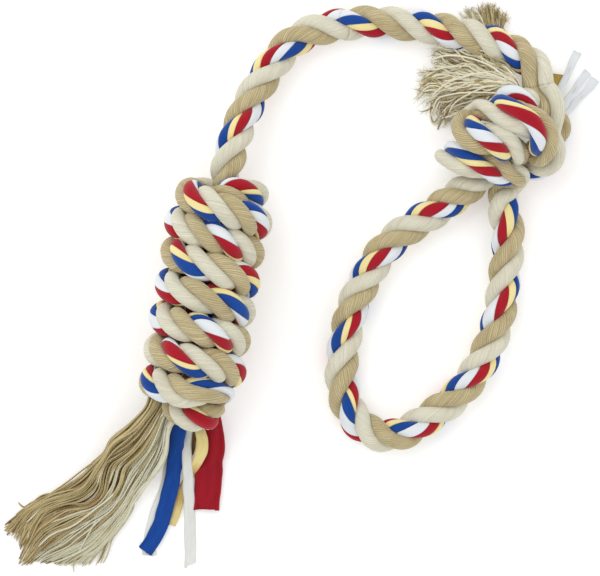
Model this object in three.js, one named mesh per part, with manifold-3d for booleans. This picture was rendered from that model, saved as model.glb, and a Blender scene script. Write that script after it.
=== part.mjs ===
// Rope dog toy: one three-strand rope with a barrel knot, an arc, a ball knot
// and a hand loop; both rope ends are left long and unlaid into yarn and strips.
// Units are millimetres, +Z is up, the toy lies on the plane z = 0.
import * as THREE from 'three';
import { mergeVertices, mergeGeometries } from 'three/addons/utils/BufferGeometryUtils.js';
import Module from 'manifold-3d';

// ---- driving dimensions ----
const ROPE_DIAMETER = 16;            // laid rope, across the strands
const STRAND_SHARE = 7.9 / 17;       // strand radius as a share of rope radius
const HELIX_SHARE = 9.1 / 17;        // strand centre's distance from the rope axis, same share
const STRAND_SIDES = 6;
const GAP = 0.3;                     // between neighbouring pieces
const JOINT_RADIUS = 9.5;            // hollow that a rope end turns in
const PX = 0.47;                     // layout grid of the flat lay, mm
const STRIP_THICKNESS = 1.0;         // jersey strip
const KNOT_PRESS = 0.88;             // barrel turns are pressed flat towards the knot axis

const COLORS = {
  cream: [0.74, 0.68, 0.57],
  tan: [0.54, 0.41, 0.23],
  lead: [0.51, 0.02, 0.03],
  white: [0.84, 0.85, 0.86],
  blue: [0.01, 0.08, 0.37],
  yellow: [0.88, 0.74, 0.27],
  gold: [0.60, 0.43, 0.08],
  red: [0.50, 0.01, 0.03],
};

// ---- rope centre line: x, y, z, direction to the cream strand (x, y, z), rope radius ----
const ROPE = [
  93.17,85.71,23.21,0.689,-0.650,-0.319,6.11, 96.46,87.42,25.76,0.615,-0.317,-0.722,7.07, 100.19,88.32,28.09,0.452,0.141,-0.881,7.54,
  104.26,87.99,29.94,0.431,0.576,-0.695,7.33, 107.45,85.65,29.29,0.671,0.629,-0.392,5.81, 107.23,83.75,25.18,0.916,0.374,-0.145,4.74,
  107.68,82.64,20.84,0.962,0.102,0.254,4.54, 109.79,82.16,16.90,0.730,-0.207,0.651,4.36, 113.32,81.93,14.13,0.425,-0.529,0.734,4.23,
  116.70,81.09,11.29,0.247,-0.798,0.550,4.28, 119.87,79.50,8.54,-0.279,-0.818,0.503,5.42, 121.85,75.83,7.13,-0.897,-0.183,0.401,6.37,
  121.25,71.41,6.89,-0.926,0.374,-0.044,6.20, 118.60,67.84,7.22,-0.575,0.587,-0.570,5.46, 114.70,66.28,8.67,-0.505,0.157,-0.849,4.71,
  111.35,66.02,11.65,-0.696,-0.447,-0.562,4.56, 109.46,65.14,15.63,-0.327,-0.874,-0.360,4.49, 109.36,63.50,19.82,0.279,-0.858,-0.431,4.69,
  110.99,61.87,23.69,0.700,-0.413,-0.583,4.98, 113.19,62.09,27.47,0.888,0.203,-0.413,5.87, 113.75,64.88,30.94,0.515,0.622,-0.590,6.94,
  113.48,67.94,34.23,-0.054,0.698,-0.714,7.57, 112.39,71.28,37.04,-0.567,0.278,-0.775,8.00, 110.27,74.71,39.00,-0.732,-0.302,-0.610,8.25,
  107.11,77.61,40.34,-0.595,-0.698,-0.399,8.31, 103.18,79.61,41.20,-0.391,-0.904,-0.172,8.31, 98.96,81.16,40.94,-0.330,-0.938,0.107,8.18,
  94.98,82.45,39.32,-0.471,-0.773,0.425,7.74, 91.39,83.29,36.75,-0.673,-0.148,0.725,7.08, 88.30,83.65,33.49,-0.708,0.378,0.596,6.18,
  85.66,83.59,29.85,-0.612,0.715,0.338,5.48, 82.92,82.56,26.47,-0.489,0.871,-0.053,5.06, 79.58,79.87,25.45,-0.624,0.516,-0.587,5.55,
  77.30,77.01,27.86,-0.669,-0.512,-0.538,6.87, 77.55,74.65,31.65,0.108,-0.837,-0.536,7.62, 79.62,72.56,35.03,0.544,-0.350,-0.762,7.99,
  83.10,70.87,37.29,0.448,0.352,-0.822,8.22, 87.32,69.61,38.19,0.263,0.862,-0.433,8.32, 91.63,68.37,37.95,0.326,0.925,0.193,8.28,
  95.63,66.80,36.63,0.586,0.472,0.659,7.94, 98.85,64.87,34.16,0.589,-0.282,0.758,6.93, 101.37,63.32,30.78,0.211,-0.903,0.374,5.97,
  102.38,62.48,26.51,-0.526,-0.838,0.147,5.17, 101.85,61.37,22.19,-0.971,-0.087,0.224,4.67, 100.45,59.32,18.46,-0.688,0.723,-0.065,4.28,
  97.45,57.02,16.07,-0.047,0.723,-0.689,4.23, 93.59,55.26,14.57,0.321,-0.084,-0.943,4.39, 89.59,53.47,13.53,0.496,-0.789,-0.363,5.00,
  85.85,51.09,12.74,0.395,-0.720,0.571,5.93, 82.11,48.64,12.21,-0.094,-0.053,0.994,6.93, 78.27,46.33,11.67,-0.493,0.658,0.570,7.64,
  74.55,43.90,11.00,-0.501,0.804,-0.320,7.99, 70.95,41.28,10.29,-0.078,0.347,-0.935,7.99, 67.36,38.63,9.64,0.393,-0.347,-0.852,7.99,
  63.70,36.06,9.10,0.565,-0.798,-0.209,7.99, 59.94,33.61,8.69,0.413,-0.731,0.543,7.99, 56.13,31.22,8.40,0.077,-0.223,0.972,7.99,
  52.34,28.81,8.19,-0.295,0.395,0.870,7.99, 48.62,26.26,8.07,-0.560,0.765,0.316,7.99, 45.06,23.50,8.01,-0.587,0.705,-0.397,7.99,
  41.75,20.45,7.99,-0.296,0.292,-0.909,7.99, 38.78,17.07,7.99,0.244,-0.191,-0.951,7.99, 36.19,13.39,7.99,0.742,-0.474,-0.475,7.99,
  33.87,9.52,7.99,0.834,-0.477,0.276,7.99, 31.66,5.60,7.99,0.425,-0.238,0.873,7.99, 29.48,1.66,7.99,-0.242,0.131,0.961,7.99,
  27.41,-2.35,7.99,-0.790,0.381,0.481,7.99, 25.61,-6.48,7.99,-0.894,0.346,-0.283,7.99, 24.17,-10.74,7.99,-0.458,0.134,-0.879,7.99,
  23.04,-15.10,7.99,0.272,-0.063,-0.960,7.99, 22.11,-19.51,7.99,0.854,-0.168,-0.493,7.99, 21.28,-23.94,7.99,0.954,-0.173,0.244,7.99,
  20.52,-28.38,7.99,0.534,-0.084,0.841,7.99, 19.90,-32.84,7.99,-0.174,0.020,0.984,7.99, 19.52,-37.33,7.99,-0.796,0.042,0.604,7.99,
  19.46,-41.83,7.99,-0.995,-0.033,-0.098,7.99, 19.84,-46.32,7.99,-0.655,-0.092,-0.750,7.99, 20.74,-50.73,7.99,0.033,0.009,-0.999,7.99,
  22.18,-55.00,7.99,0.663,0.276,-0.696,7.99, 24.20,-59.02,7.99,0.856,0.516,0.010,7.99, 26.85,-62.66,7.99,0.522,0.458,0.720,7.99,
  30.15,-65.72,7.99,-0.022,-0.029,0.999,7.99, 34.02,-68.01,7.99,-0.304,-0.683,0.664,7.99, 38.32,-69.33,7.99,-0.171,-0.982,-0.084,7.99,
  42.81,-69.52,7.99,0.054,-0.627,-0.777,7.99, 47.22,-68.62,7.99,-0.035,0.111,-0.993,7.99, 51.37,-66.88,7.99,-0.362,0.696,-0.621,7.99,
  55.23,-64.56,7.99,-0.553,0.827,0.100,7.99, 58.93,-61.99,7.99,-0.376,0.534,0.757,7.99, 62.63,-59.43,7.99,0.022,-0.033,0.999,7.99,
  66.36,-56.89,7.99,0.406,-0.578,0.708,7.99, 69.96,-54.18,7.99,0.633,-0.773,0.045,7.99, 73.31,-51.17,7.99,0.538,-0.548,-0.640,7.99,
  76.39,-47.89,7.99,0.102,-0.089,-0.991,7.99, 79.24,-44.40,7.99,-0.454,0.346,-0.821,7.99, 81.86,-40.74,7.99,-0.812,0.543,-0.215,7.99,
  84.25,-36.92,7.99,-0.744,0.435,0.507,7.99, 86.41,-32.97,7.99,-0.254,0.130,0.958,7.99, 88.37,-28.91,7.99,0.404,-0.183,0.896,7.99,
  90.14,-24.77,7.99,0.868,-0.348,0.355,7.99, 91.70,-20.54,7.99,0.879,-0.296,-0.375,7.99, 92.99,-16.23,7.99,0.413,-0.106,-0.905,7.99,
  93.94,-11.82,7.99,-0.294,0.054,-0.954,7.99, 94.65,-7.37,7.99,-0.857,0.119,-0.501,7.99, 95.23,-2.91,7.99,-0.969,0.121,0.214,7.99,
  95.78,1.56,7.99,-0.571,0.071,0.818,7.99, 96.34,6.03,7.99,0.126,-0.017,0.992,7.99, 96.93,10.50,8.00,0.756,-0.103,0.647,7.99,
  97.50,14.97,8.04,0.993,-0.116,-0.033,7.99, 97.94,19.45,8.14,0.721,-0.029,-0.692,7.99, 98.08,23.95,8.38,0.082,0.073,-0.994,7.99,
  97.70,28.41,8.80,-0.594,0.008,-0.805,7.99, 96.83,32.79,9.41,-0.953,-0.193,-0.235,7.94, 95.73,37.10,10.11,-0.839,-0.284,0.464,7.87,
  95.05,41.50,10.80,-0.298,-0.138,0.945,7.79, 96.67,45.54,11.58,0.289,-0.482,0.827,7.07, 99.58,48.53,13.23,0.556,-0.813,0.174,5.54,
  102.22,50.48,16.27,0.863,-0.409,-0.298,4.88, 103.12,51.79,20.44,0.904,0.427,-0.016,4.98, 101.18,52.56,24.33,0.271,0.956,0.112,5.65,
  97.23,53.46,26.22,0.174,0.825,-0.538,6.62, 93.26,55.44,26.97,-0.024,0.370,-0.929,7.41, 89.14,56.98,27.88,-0.198,-0.191,-0.961,7.79,
  84.77,58.01,28.25,-0.178,-0.692,-0.699,7.83, 80.42,59.14,28.02,-0.226,-0.934,-0.277,7.78, 76.26,60.42,26.91,-0.358,-0.926,0.116,7.59,
  72.65,61.62,24.53,-0.587,-0.715,0.379,7.23, 70.06,62.22,20.92,-0.858,-0.329,0.395,6.73, 69.10,61.92,16.58,-0.983,0.157,-0.099,5.72,
  70.90,61.18,12.59,-0.510,0.650,-0.564,4.74, 74.29,60.64,9.68,0.014,0.989,-0.150,4.17, 78.26,60.28,7.60,0.294,0.747,0.596,3.88,
  82.56,59.97,6.31,0.202,-0.064,0.977,3.76, 87.00,59.57,5.69,-0.047,-0.844,0.534,3.76, 91.47,58.99,5.56,-0.135,-0.908,-0.398,3.77,
  95.89,58.18,5.86,0.078,-0.213,-0.974,4.00, 100.21,57.26,6.72,0.335,0.615,-0.713,4.38, 104.31,56.58,8.43,0.105,0.994,-0.007,5.15,
  108.11,56.48,10.84,-0.379,0.729,0.570,5.82, 112.04,56.43,13.04,-0.434,-0.107,0.895,6.30, 115.84,57.85,14.93,0.077,-0.662,0.745,6.60,
  118.52,61.01,16.62,0.499,-0.520,0.694,6.84, 119.21,65.18,18.13,0.582,-0.213,0.785,6.96, 117.92,69.21,19.61,0.558,-0.047,0.829,7.05,
  116.51,73.15,21.18,0.650,-0.199,0.733,7.05, 116.75,77.35,22.77,0.695,-0.372,0.616,7.15, 117.64,81.64,23.69,0.744,-0.094,0.662,7.32,
  117.47,86.06,22.93,0.640,0.358,0.681,7.52, 115.59,89.87,21.49,0.444,0.634,0.634,7.73, 112.75,93.24,20.70,0.669,0.336,0.663,7.92,
  111.61,97.56,21.06,0.778,0.113,0.619,7.99, 110.49,101.90,20.77,0.834,0.410,0.369,7.99, 108.04,105.60,20.08,0.729,0.608,-0.314,7.99,
  104.62,108.44,19.39,0.335,0.270,-0.903,7.99, 100.75,110.65,18.78,-0.100,-0.457,-0.884,7.99, 96.73,112.60,18.16,-0.383,-0.896,-0.223,7.99,
  92.68,114.42,17.43,-0.419,-0.727,0.544,7.99, 88.57,116.01,16.48,-0.278,-0.092,0.956,7.99, 84.41,117.29,15.31,-0.065,0.615,0.786,7.99,
  80.24,118.38,14.00,0.184,0.967,0.176,7.99, 76.06,119.40,12.67,0.354,0.779,-0.518,7.99, 71.87,120.43,11.39,0.313,0.174,-0.934,7.99,
  67.63,121.43,10.25,0.094,-0.521,-0.848,7.99, 63.31,122.31,9.30,-0.119,-0.950,-0.289,7.99, 58.92,123.02,8.61,-0.181,-0.879,0.441,7.99,
  54.47,123.59,8.14,-0.123,-0.339,0.933,7.99, 50.00,124.07,7.93,0.021,0.377,0.926,7.99, 45.51,124.47,7.93,0.080,0.901,0.427,7.99,
  41.02,124.81,7.99,0.061,0.954,-0.293,7.99, 36.52,125.05,8.01,0.019,0.510,-0.860,7.99, 32.02,125.09,8.00,0.008,-0.199,-0.980,7.99,
  27.52,124.83,7.99,0.076,-0.801,-0.593,7.99, 23.05,124.28,7.99,0.139,-0.985,0.100,7.99, 18.59,123.61,7.99,0.100,-0.664,0.741,7.99,
  14.15,122.90,7.97,-0.005,-0.002,1.000,7.99, 9.73,122.00,7.96,-0.155,0.650,0.744,7.99, 5.42,120.71,8.03,-0.338,0.935,0.110,7.99,
  1.30,118.89,8.18,-0.403,0.713,-0.573,7.99, -2.51,116.50,8.40,-0.188,0.163,-0.968,7.99, -5.88,113.54,8.68,0.275,-0.354,-0.894,7.99,
  -8.85,110.16,9.02,0.694,-0.601,-0.395,7.99, -11.55,106.59,9.48,0.794,-0.539,0.281,7.99, -14.14,102.95,10.09,0.535,-0.219,0.816,7.99,
  -16.63,99.27,10.84,0.037,0.195,0.980,7.99, -19.02,95.57,11.74,-0.492,0.496,0.716,7.99, -21.30,91.82,12.76,-0.836,0.528,0.150,7.99,
  -23.40,87.99,13.85,-0.832,0.289,-0.474,7.99, -25.27,84.05,15.00,-0.442,-0.066,-0.894,7.99, -26.94,80.04,16.20,0.177,-0.355,-0.918,7.99,
  -28.47,76.02,17.51,0.734,-0.447,-0.511,7.99, -29.91,72.00,18.98,0.950,-0.272,0.150,7.99, -31.22,67.94,20.42,0.667,0.054,0.743,7.99,
  -32.37,63.79,21.74,-0.007,0.275,0.961,7.99, -33.42,59.53,22.76,-0.689,0.295,0.662,7.99, -34.50,55.19,23.22,-0.969,0.246,-0.012,7.64,
  -35.57,50.88,22.51,-0.676,0.332,-0.658,7.06, -36.08,46.54,21.48,-0.073,0.142,-0.987,6.45, -35.56,42.10,21.65,0.593,-0.078,-0.801,5.44,
  -34.74,37.88,23.02,0.958,0.046,-0.282,4.55, -34.60,33.52,24.10,0.932,0.019,0.363,4.33, -35.06,26.52,24.50,0.234,-0.024,0.972,4.14,
  -35.94,19.53,24.45,-0.628,0.093,0.772,4.14, -37.07,12.59,24.44,-0.986,0.164,-0.029,4.14, -38.23,5.64,24.44,-0.582,0.097,-0.807,4.14,
  -39.38,-1.30,24.44,0.282,-0.048,-0.958,4.14, -40.54,-8.25,24.45,0.932,-0.155,-0.329,4.14, -41.70,-15.19,24.43,0.786,-0.135,0.603,4.14,
  -42.86,-22.13,24.41,-0.107,0.021,0.994,4.14, -43.99,-29.08,24.49,-0.921,0.152,0.359,4.14, -45.15,-36.02,24.50,-0.679,0.149,-0.719,4.14,
  -46.19,-42.94,23.87,0.491,0.126,-0.862,4.19, -44.10,-49.54,23.05,0.869,0.351,0.350,4.99, -42.83,-53.84,23.36,0.223,0.244,0.944,5.77,
  -41.39,-57.68,25.04,-0.809,0.436,0.395,6.84, -44.45,-59.61,27.38,-0.319,0.013,-0.948,7.27, -48.84,-60.10,28.11,-0.027,-0.958,-0.287,7.27,
  -53.26,-59.46,27.62,-0.350,-0.671,0.654,7.12, -57.07,-57.64,26.12,-0.316,0.251,0.915,6.60, -59.06,-54.09,24.39,0.580,0.317,0.751,5.60,
  -58.60,-49.70,23.59,0.967,-0.250,0.046,4.73, -57.21,-45.42,23.65,0.622,-0.169,-0.764,4.48, -55.69,-41.20,24.04,-0.165,0.155,-0.974,4.31,
  -53.78,-34.45,24.51,-0.979,0.203,0.023,4.14, -52.71,-27.49,24.50,-0.175,0.041,0.984,4.14, -51.70,-20.53,24.41,0.906,-0.148,0.396,4.14,
  -50.50,-13.59,24.43,0.602,-0.102,-0.792,4.14, -49.31,-6.65,24.44,-0.594,0.098,-0.798,4.14, -48.17,0.29,24.44,-0.923,0.151,0.353,4.14,
  -47.01,7.24,24.47,0.059,-0.015,0.998,4.14, -45.85,14.18,24.46,0.956,-0.153,0.250,4.14, -44.74,21.13,24.29,0.534,-0.109,-0.838,4.14,
  -43.58,28.07,24.28,-0.598,0.153,-0.786,4.14, -42.36,34.78,25.83,-0.955,0.041,0.292,4.31, -40.49,39.68,29.21,-0.251,-0.514,0.820,4.74,
  -38.26,42.80,31.57,0.399,-0.760,0.513,5.44, -34.64,44.68,33.28,0.226,-0.892,-0.393,6.34, -30.24,44.64,32.74,-0.411,-0.341,-0.846,7.00,
  -26.63,43.95,30.16,-0.586,0.468,-0.662,7.29, -23.99,43.42,26.56,-0.184,0.963,-0.196,7.41, -22.17,43.15,22.46,0.503,0.857,0.111,7.52,
  -21.64,42.95,18.01,0.966,0.238,-0.102,7.61, -23.06,42.85,13.77,0.744,-0.507,-0.435,7.61, -25.93,42.98,10.32,0.154,-0.957,-0.247,7.61,
  -29.80,43.26,8.08,-0.195,-0.906,0.375,7.61, -34.25,43.61,7.61,-0.012,-0.410,0.912,7.61, -38.74,43.94,7.61,0.040,0.313,0.949,7.61,
  -43.12,44.29,8.45,0.272,0.852,0.448,7.61, -46.75,44.51,11.07,-0.103,0.985,-0.137,7.61, -49.43,44.56,14.68,-0.690,0.616,-0.381,7.61,
  -51.08,44.44,18.86,-0.966,-0.086,-0.245,7.61, -51.65,44.11,23.31,-0.658,-0.748,-0.086,7.61, -51.48,43.64,27.78,0.035,-0.992,-0.118,7.61,
  -50.95,43.04,32.22,0.695,-0.670,-0.261,7.61, -49.46,42.11,36.36,0.887,0.080,-0.455,7.61, -46.85,40.90,39.80,0.576,0.776,-0.258,7.61,
  -43.31,39.48,42.17,0.177,0.909,0.376,7.61, -39.24,37.97,43.34,-0.001,0.359,0.933,7.61, -35.01,36.43,43.37,-0.062,-0.470,0.881,7.61,
  -30.92,34.96,42.21,-0.239,-0.942,0.236,7.61, -27.23,33.61,40.03,-0.586,-0.678,-0.444,7.61, -24.07,32.42,37.06,-0.742,0.104,-0.662,7.61,
  -21.70,31.40,33.38,-0.416,0.822,-0.388,7.61, -20.31,30.56,29.18,0.324,0.941,-0.094,7.61, -19.86,29.91,24.75,0.918,0.393,-0.052,7.61,
  -20.33,29.43,20.30,0.891,-0.430,-0.149,7.61, -21.73,29.13,16.04,0.267,-0.961,-0.077,7.61, -24.14,29.05,12.24,-0.408,-0.849,0.337,7.61,
  -27.55,29.20,9.33,-0.514,-0.191,0.836,7.61, -31.75,29.50,7.78,-0.087,0.575,0.813,7.61, -36.24,29.81,7.62,0.068,0.989,0.133,7.61,
  -40.73,30.13,7.61,0.060,0.761,-0.646,7.61, -45.21,30.52,7.79,-0.162,0.047,-0.986,7.61, -49.35,30.91,9.46,-0.441,-0.683,-0.582,7.61,
  -52.64,31.14,12.51,-0.019,-0.999,0.032,7.61, -54.96,31.22,16.36,0.683,-0.666,0.300,7.61, -56.27,31.11,20.66,0.977,0.119,0.179,7.61,
  -56.52,30.76,25.14,0.559,0.827,0.057,7.61, -55.66,30.07,29.50,-0.222,0.937,0.268,7.61, -53.70,29.08,33.42,-0.725,0.342,0.598,7.61,
  -50.81,27.86,36.64,-0.666,-0.512,0.543,7.61, -47.20,26.46,38.92,-0.324,-0.943,-0.077,7.61, -43.15,24.93,40.14,-0.096,-0.594,-0.799,7.61,
  -38.95,23.34,40.27,0.004,0.243,-0.970,7.61, -34.83,21.76,39.38,0.193,0.878,-0.437,7.61, -31.02,20.24,37.55,0.526,0.783,0.333,7.61,
  -27.69,18.86,34.86,0.721,0.009,0.693,7.61, -25.13,17.66,31.36,0.407,-0.799,0.443,7.61, -23.66,16.72,27.23,-0.388,-0.917,0.093,7.61,
  -23.48,16.08,22.78,-0.965,-0.233,0.121,7.61, -24.51,15.74,18.42,-0.719,0.651,0.242,7.61, -26.61,15.60,14.45,0.053,0.997,-0.058,7.61,
  -29.52,15.57,11.02,0.583,0.532,-0.614,7.61, -33.22,15.67,8.48,0.364,-0.355,-0.861,7.61, -37.60,15.92,7.60,-0.051,-0.955,-0.292,7.61,
  -42.10,16.20,7.61,-0.060,-0.807,0.587,7.61, -46.58,16.56,7.78,0.158,-0.037,0.987,7.61, -50.76,16.91,9.38,0.390,0.748,0.537,7.61,
  -54.19,17.15,12.27,-0.098,0.986,-0.137,7.61, -56.73,17.23,15.98,-0.773,0.496,-0.395,7.61, -58.26,17.13,20.20,-0.907,-0.356,-0.224,7.61,
  -58.72,16.77,24.66,-0.322,-0.941,-0.100,7.61, -58.07,16.10,29.06,0.466,-0.834,-0.295,7.61, -56.35,15.13,33.10,0.840,-0.129,-0.527,7.61,
  -53.72,13.96,36.55,0.663,0.643,-0.385,7.61, -50.38,12.64,39.25,0.253,0.952,0.174,7.61, -46.51,11.22,41.07,-0.027,0.637,0.771,7.61,
  -42.35,9.76,41.91,-0.088,-0.037,0.995,7.61, -38.09,8.31,41.69,-0.094,-0.677,0.730,7.61, -34.05,6.91,40.30,-0.259,-0.954,0.153,7.61,
  -30.56,5.61,37.79,-0.616,-0.704,-0.354,7.61, -27.86,4.47,34.38,-0.864,-0.028,-0.502,7.61, -26.13,3.55,30.34,-0.640,0.699,-0.318,7.61,
  -25.36,2.86,25.96,0.063,0.990,-0.130,7.61, -25.55,2.34,21.49,0.771,0.611,-0.179,7.61, -26.75,1.99,17.18,0.908,-0.211,-0.363,7.61,
  -28.99,1.79,13.28,0.375,-0.890,-0.258,7.61, -32.19,1.74,10.13,-0.244,-0.913,0.327,7.61, -36.20,1.82,8.10,-0.283,-0.255,0.925,7.61,
  -40.65,2.00,7.61,0.028,0.593,0.804,7.61, -45.15,2.28,7.61,0.071,0.997,0.029,7.61, -49.63,2.57,7.91,-0.144,0.653,-0.743,7.61,
  -53.71,2.66,9.76,-0.555,-0.172,-0.814,7.61, -57.03,2.60,12.79,-0.362,-0.870,-0.335,7.61, -59.47,2.41,16.56,0.340,-0.935,0.101,7.61,
  -60.89,2.05,20.81,0.926,-0.345,0.152,7.61, -61.22,1.53,25.27,0.886,0.464,0.019,7.61, -60.43,0.84,29.64,0.298,0.951,0.079,7.61,
  -58.57,-0.01,33.64,-0.332,0.845,0.419,7.61, -55.78,-1.00,37.02,-0.607,0.276,0.745,7.61, -52.23,-2.10,39.56,-0.521,-0.396,0.756,7.61,
  -48.17,-3.29,41.08,-0.340,-0.859,0.383,7.61, -43.90,-4.61,41.51,-0.312,-0.928,-0.201,7.61, -39.69,-6.04,40.83,-0.408,-0.583,-0.703,7.61,
  -35.77,-7.43,39.12,-0.495,0.065,-0.866,7.61, -32.39,-8.71,36.44,-0.344,0.716,-0.608,7.61, -29.79,-9.79,32.94,0.138,0.976,-0.168,7.61,
  -28.22,-10.63,28.81,0.733,0.677,0.062,7.61, -27.72,-11.23,24.38,1.000,-0.016,-0.007,7.61, -28.30,-11.64,19.94,0.695,-0.708,-0.127,7.61,
  -29.97,-11.91,15.77,0.028,-0.999,0.044,7.61, -32.59,-12.12,12.12,-0.500,-0.709,0.498,7.61, -36.06,-12.23,9.27,-0.511,0.001,0.860,7.61,
  -40.27,-12.17,7.74,-0.088,0.707,0.701,7.61, -44.77,-12.14,7.62,-0.007,1.000,-0.014,7.61, -49.28,-12.19,7.62,-0.021,0.679,-0.734,7.61,
  -53.69,-12.27,8.41,-0.364,-0.072,-0.929,7.61, -57.52,-12.41,10.75,-0.379,-0.783,-0.494,7.61, -60.54,-12.62,14.07,0.168,-0.985,0.046,7.61,
  -62.63,-12.95,18.04,0.809,-0.530,0.255,7.61, -63.67,-13.39,22.39,0.948,0.287,0.139,7.61, -63.61,-13.97,26.85,0.417,0.906,0.074,7.61,
  -62.42,-14.69,31.12,-0.346,0.883,0.317,7.61, -60.19,-15.54,34.93,-0.743,0.227,0.630,7.61, -57.09,-16.50,38.05,-0.594,-0.590,0.547,7.61,
  -53.31,-17.55,40.24,-0.235,-0.970,-0.064,7.61, -49.10,-18.66,41.37,-0.062,-0.634,-0.771,7.61, -44.75,-19.79,41.38,-0.083,0.166,-0.983,7.61,
  -40.54,-20.91,40.26,0.009,0.842,-0.539,7.61, -36.76,-22.04,38.11,0.406,0.904,0.138,7.61, -33.65,-23.12,35.05,0.789,0.312,0.530,7.61,
  -31.41,-24.03,31.26,0.748,-0.516,0.417,7.61, -30.22,-24.70,26.97,0.134,-0.981,0.143,7.61, -30.12,-25.19,22.51,-0.636,-0.759,0.141,7.61,
  -31.13,-25.62,18.14,-0.938,-0.010,0.346,7.61, -33.18,-25.99,14.16,-0.578,0.747,0.330,7.61, -36.17,-26.25,10.81,0.050,0.991,-0.124,7.61,
  -39.98,-26.43,8.45,0.289,0.558,-0.778,7.61, -44.39,-26.58,7.62,0.029,-0.256,-0.966,7.61, -48.89,-26.69,7.62,0.022,-0.891,-0.453,7.61,
  -53.39,-26.81,7.72,0.075,-0.930,0.359,7.61, -57.64,-26.97,9.14,0.472,-0.335,0.816,7.61, -61.18,-27.20,11.89,0.604,0.490,0.628,7.61,
  -63.88,-27.50,15.47,0.136,0.977,0.165,7.61, -65.60,-27.90,19.61,-0.612,0.786,-0.086,7.61, -66.25,-28.41,24.03,-0.999,0.045,-0.015,7.61,
  -65.77,-29.06,28.45,-0.685,-0.727,0.046,7.61, -64.19,-29.83,32.59,0.030,-0.974,-0.224,7.61, -61.62,-30.72,36.17,0.546,-0.517,-0.659,7.61,
  -58.24,-31.71,38.96,0.566,0.314,-0.762,7.61, -54.27,-32.79,40.78,0.324,0.909,-0.264,7.61, -49.98,-33.92,41.51,0.190,0.838,0.511,7.61,
  -45.60,-34.89,41.14,0.233,0.176,0.956,7.61, -41.42,-35.61,39.68,0.253,-0.611,0.750,7.61, -37.77,-36.52,37.21,-0.138,-0.975,0.172,7.61,
  -34.88,-37.48,33.90,-0.692,-0.657,-0.299,7.61, -32.97,-38.23,29.91,-0.936,0.136,-0.323,7.61, -32.14,-38.76,25.52,-0.535,0.835,-0.130,7.61,
  -32.33,-39.25,21.05,0.259,0.954,-0.150,7.61, -33.64,-39.77,16.78,0.806,0.405,-0.432,7.61, -36.09,-40.19,13.04,0.709,-0.427,-0.561,7.61,
  -39.41,-40.75,10.06,0.247,-0.959,-0.137,7.61, -43.43,-41.05,8.09,-0.145,-0.821,0.552,7.61, -47.89,-41.10,7.60,0.014,-0.114,0.993,7.61,
  -52.40,-41.16,7.61,-0.014,0.667,0.745,7.61, -56.88,-41.30,7.89,-0.047,0.999,-0.007,7.61, -60.99,-41.56,9.67,-0.464,0.627,-0.626,7.61,
  -64.34,-41.89,12.65,-0.733,-0.194,-0.652,7.61, -66.81,-42.29,16.39,-0.389,-0.875,-0.286,7.61, -68.28,-42.76,20.61,0.392,-0.920,-0.020,7.61,
  -68.69,-43.31,25.06,0.956,-0.284,-0.070,7.61, -67.94,-43.96,29.44,0.807,0.568,-0.162,7.61, -66.03,-44.75,33.43,0.145,0.979,0.142,7.61,
  -63.13,-45.80,36.70,-0.391,0.578,0.717,7.61, -59.48,-47.10,38.97,-0.482,-0.427,0.765,7.61, -55.31,-48.13,40.32,-0.178,-0.980,0.092,7.61,
  -50.86,-48.52,40.75,-0.051,-0.884,-0.464,7.57, -46.46,-48.72,39.87,-0.282,-0.705,-0.651,7.34, -42.56,-48.83,37.65,-0.550,-0.512,-0.659,6.68,
  -39.51,-48.91,34.35,-0.800,-0.193,-0.568,5.84, -37.19,-48.88,30.49,-0.863,0.176,-0.473,4.95, -35.21,-49.16,26.46,-0.773,0.542,-0.331,4.57,
  -34.61,-49.79,22.05,-0.522,0.846,-0.110,4.46, -35.63,-50.59,17.75,-0.127,0.983,-0.133,4.46, -37.21,-51.29,13.59,0.247,0.916,-0.317,4.46,
  -39.79,-52.60,10.18,0.338,0.549,-0.764,4.46, -43.27,-54.69,8.27,0.292,-0.002,-0.956,4.48, -47.27,-56.67,7.77,0.218,-0.526,-0.822,4.73,
  -51.42,-58.36,8.19,0.258,-0.854,-0.452,5.05, -55.57,-59.96,8.93,0.365,-0.931,0.027,5.40,
];
const N = ROPE.length / 7;
const col = (i, k) => ROPE[i * 7 + k];
const centre = [], toCream = [], radius = [], along = [0];
for (let i = 0; i < N; i++) {
  centre.push(new THREE.Vector3(col(i, 0), col(i, 1), col(i, 2)));
  toCream.push(new THREE.Vector3(col(i, 3), col(i, 4), col(i, 5)));
  radius.push(col(i, 6));
  if (i) along.push(along[i - 1] + centre[i].distanceTo(centre[i - 1]));
}
// places where the rope bends between bodies
const BENDS = {
  loop_left: { at: 225.72, p: [76.57, 45.22, 11.37], t: [-0.829, -0.539, -0.150] },
  loop_right: { at: 513.83, p: [95.75, 43.26, 11.14], t: [0.347, 0.924, 0.162] },
  arc_ball: { at: 685.08, p: [105.91, 107.38, 19.65], t: [-0.782, 0.605, -0.151] },
  arc_knot: { at: 865.55, p: [-33.09, 60.85, 22.45], t: [-0.233, -0.949, 0.214] },
};

const wasm = await Module();
wasm.setup();
const { Manifold, Mesh } = wasm;

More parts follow.
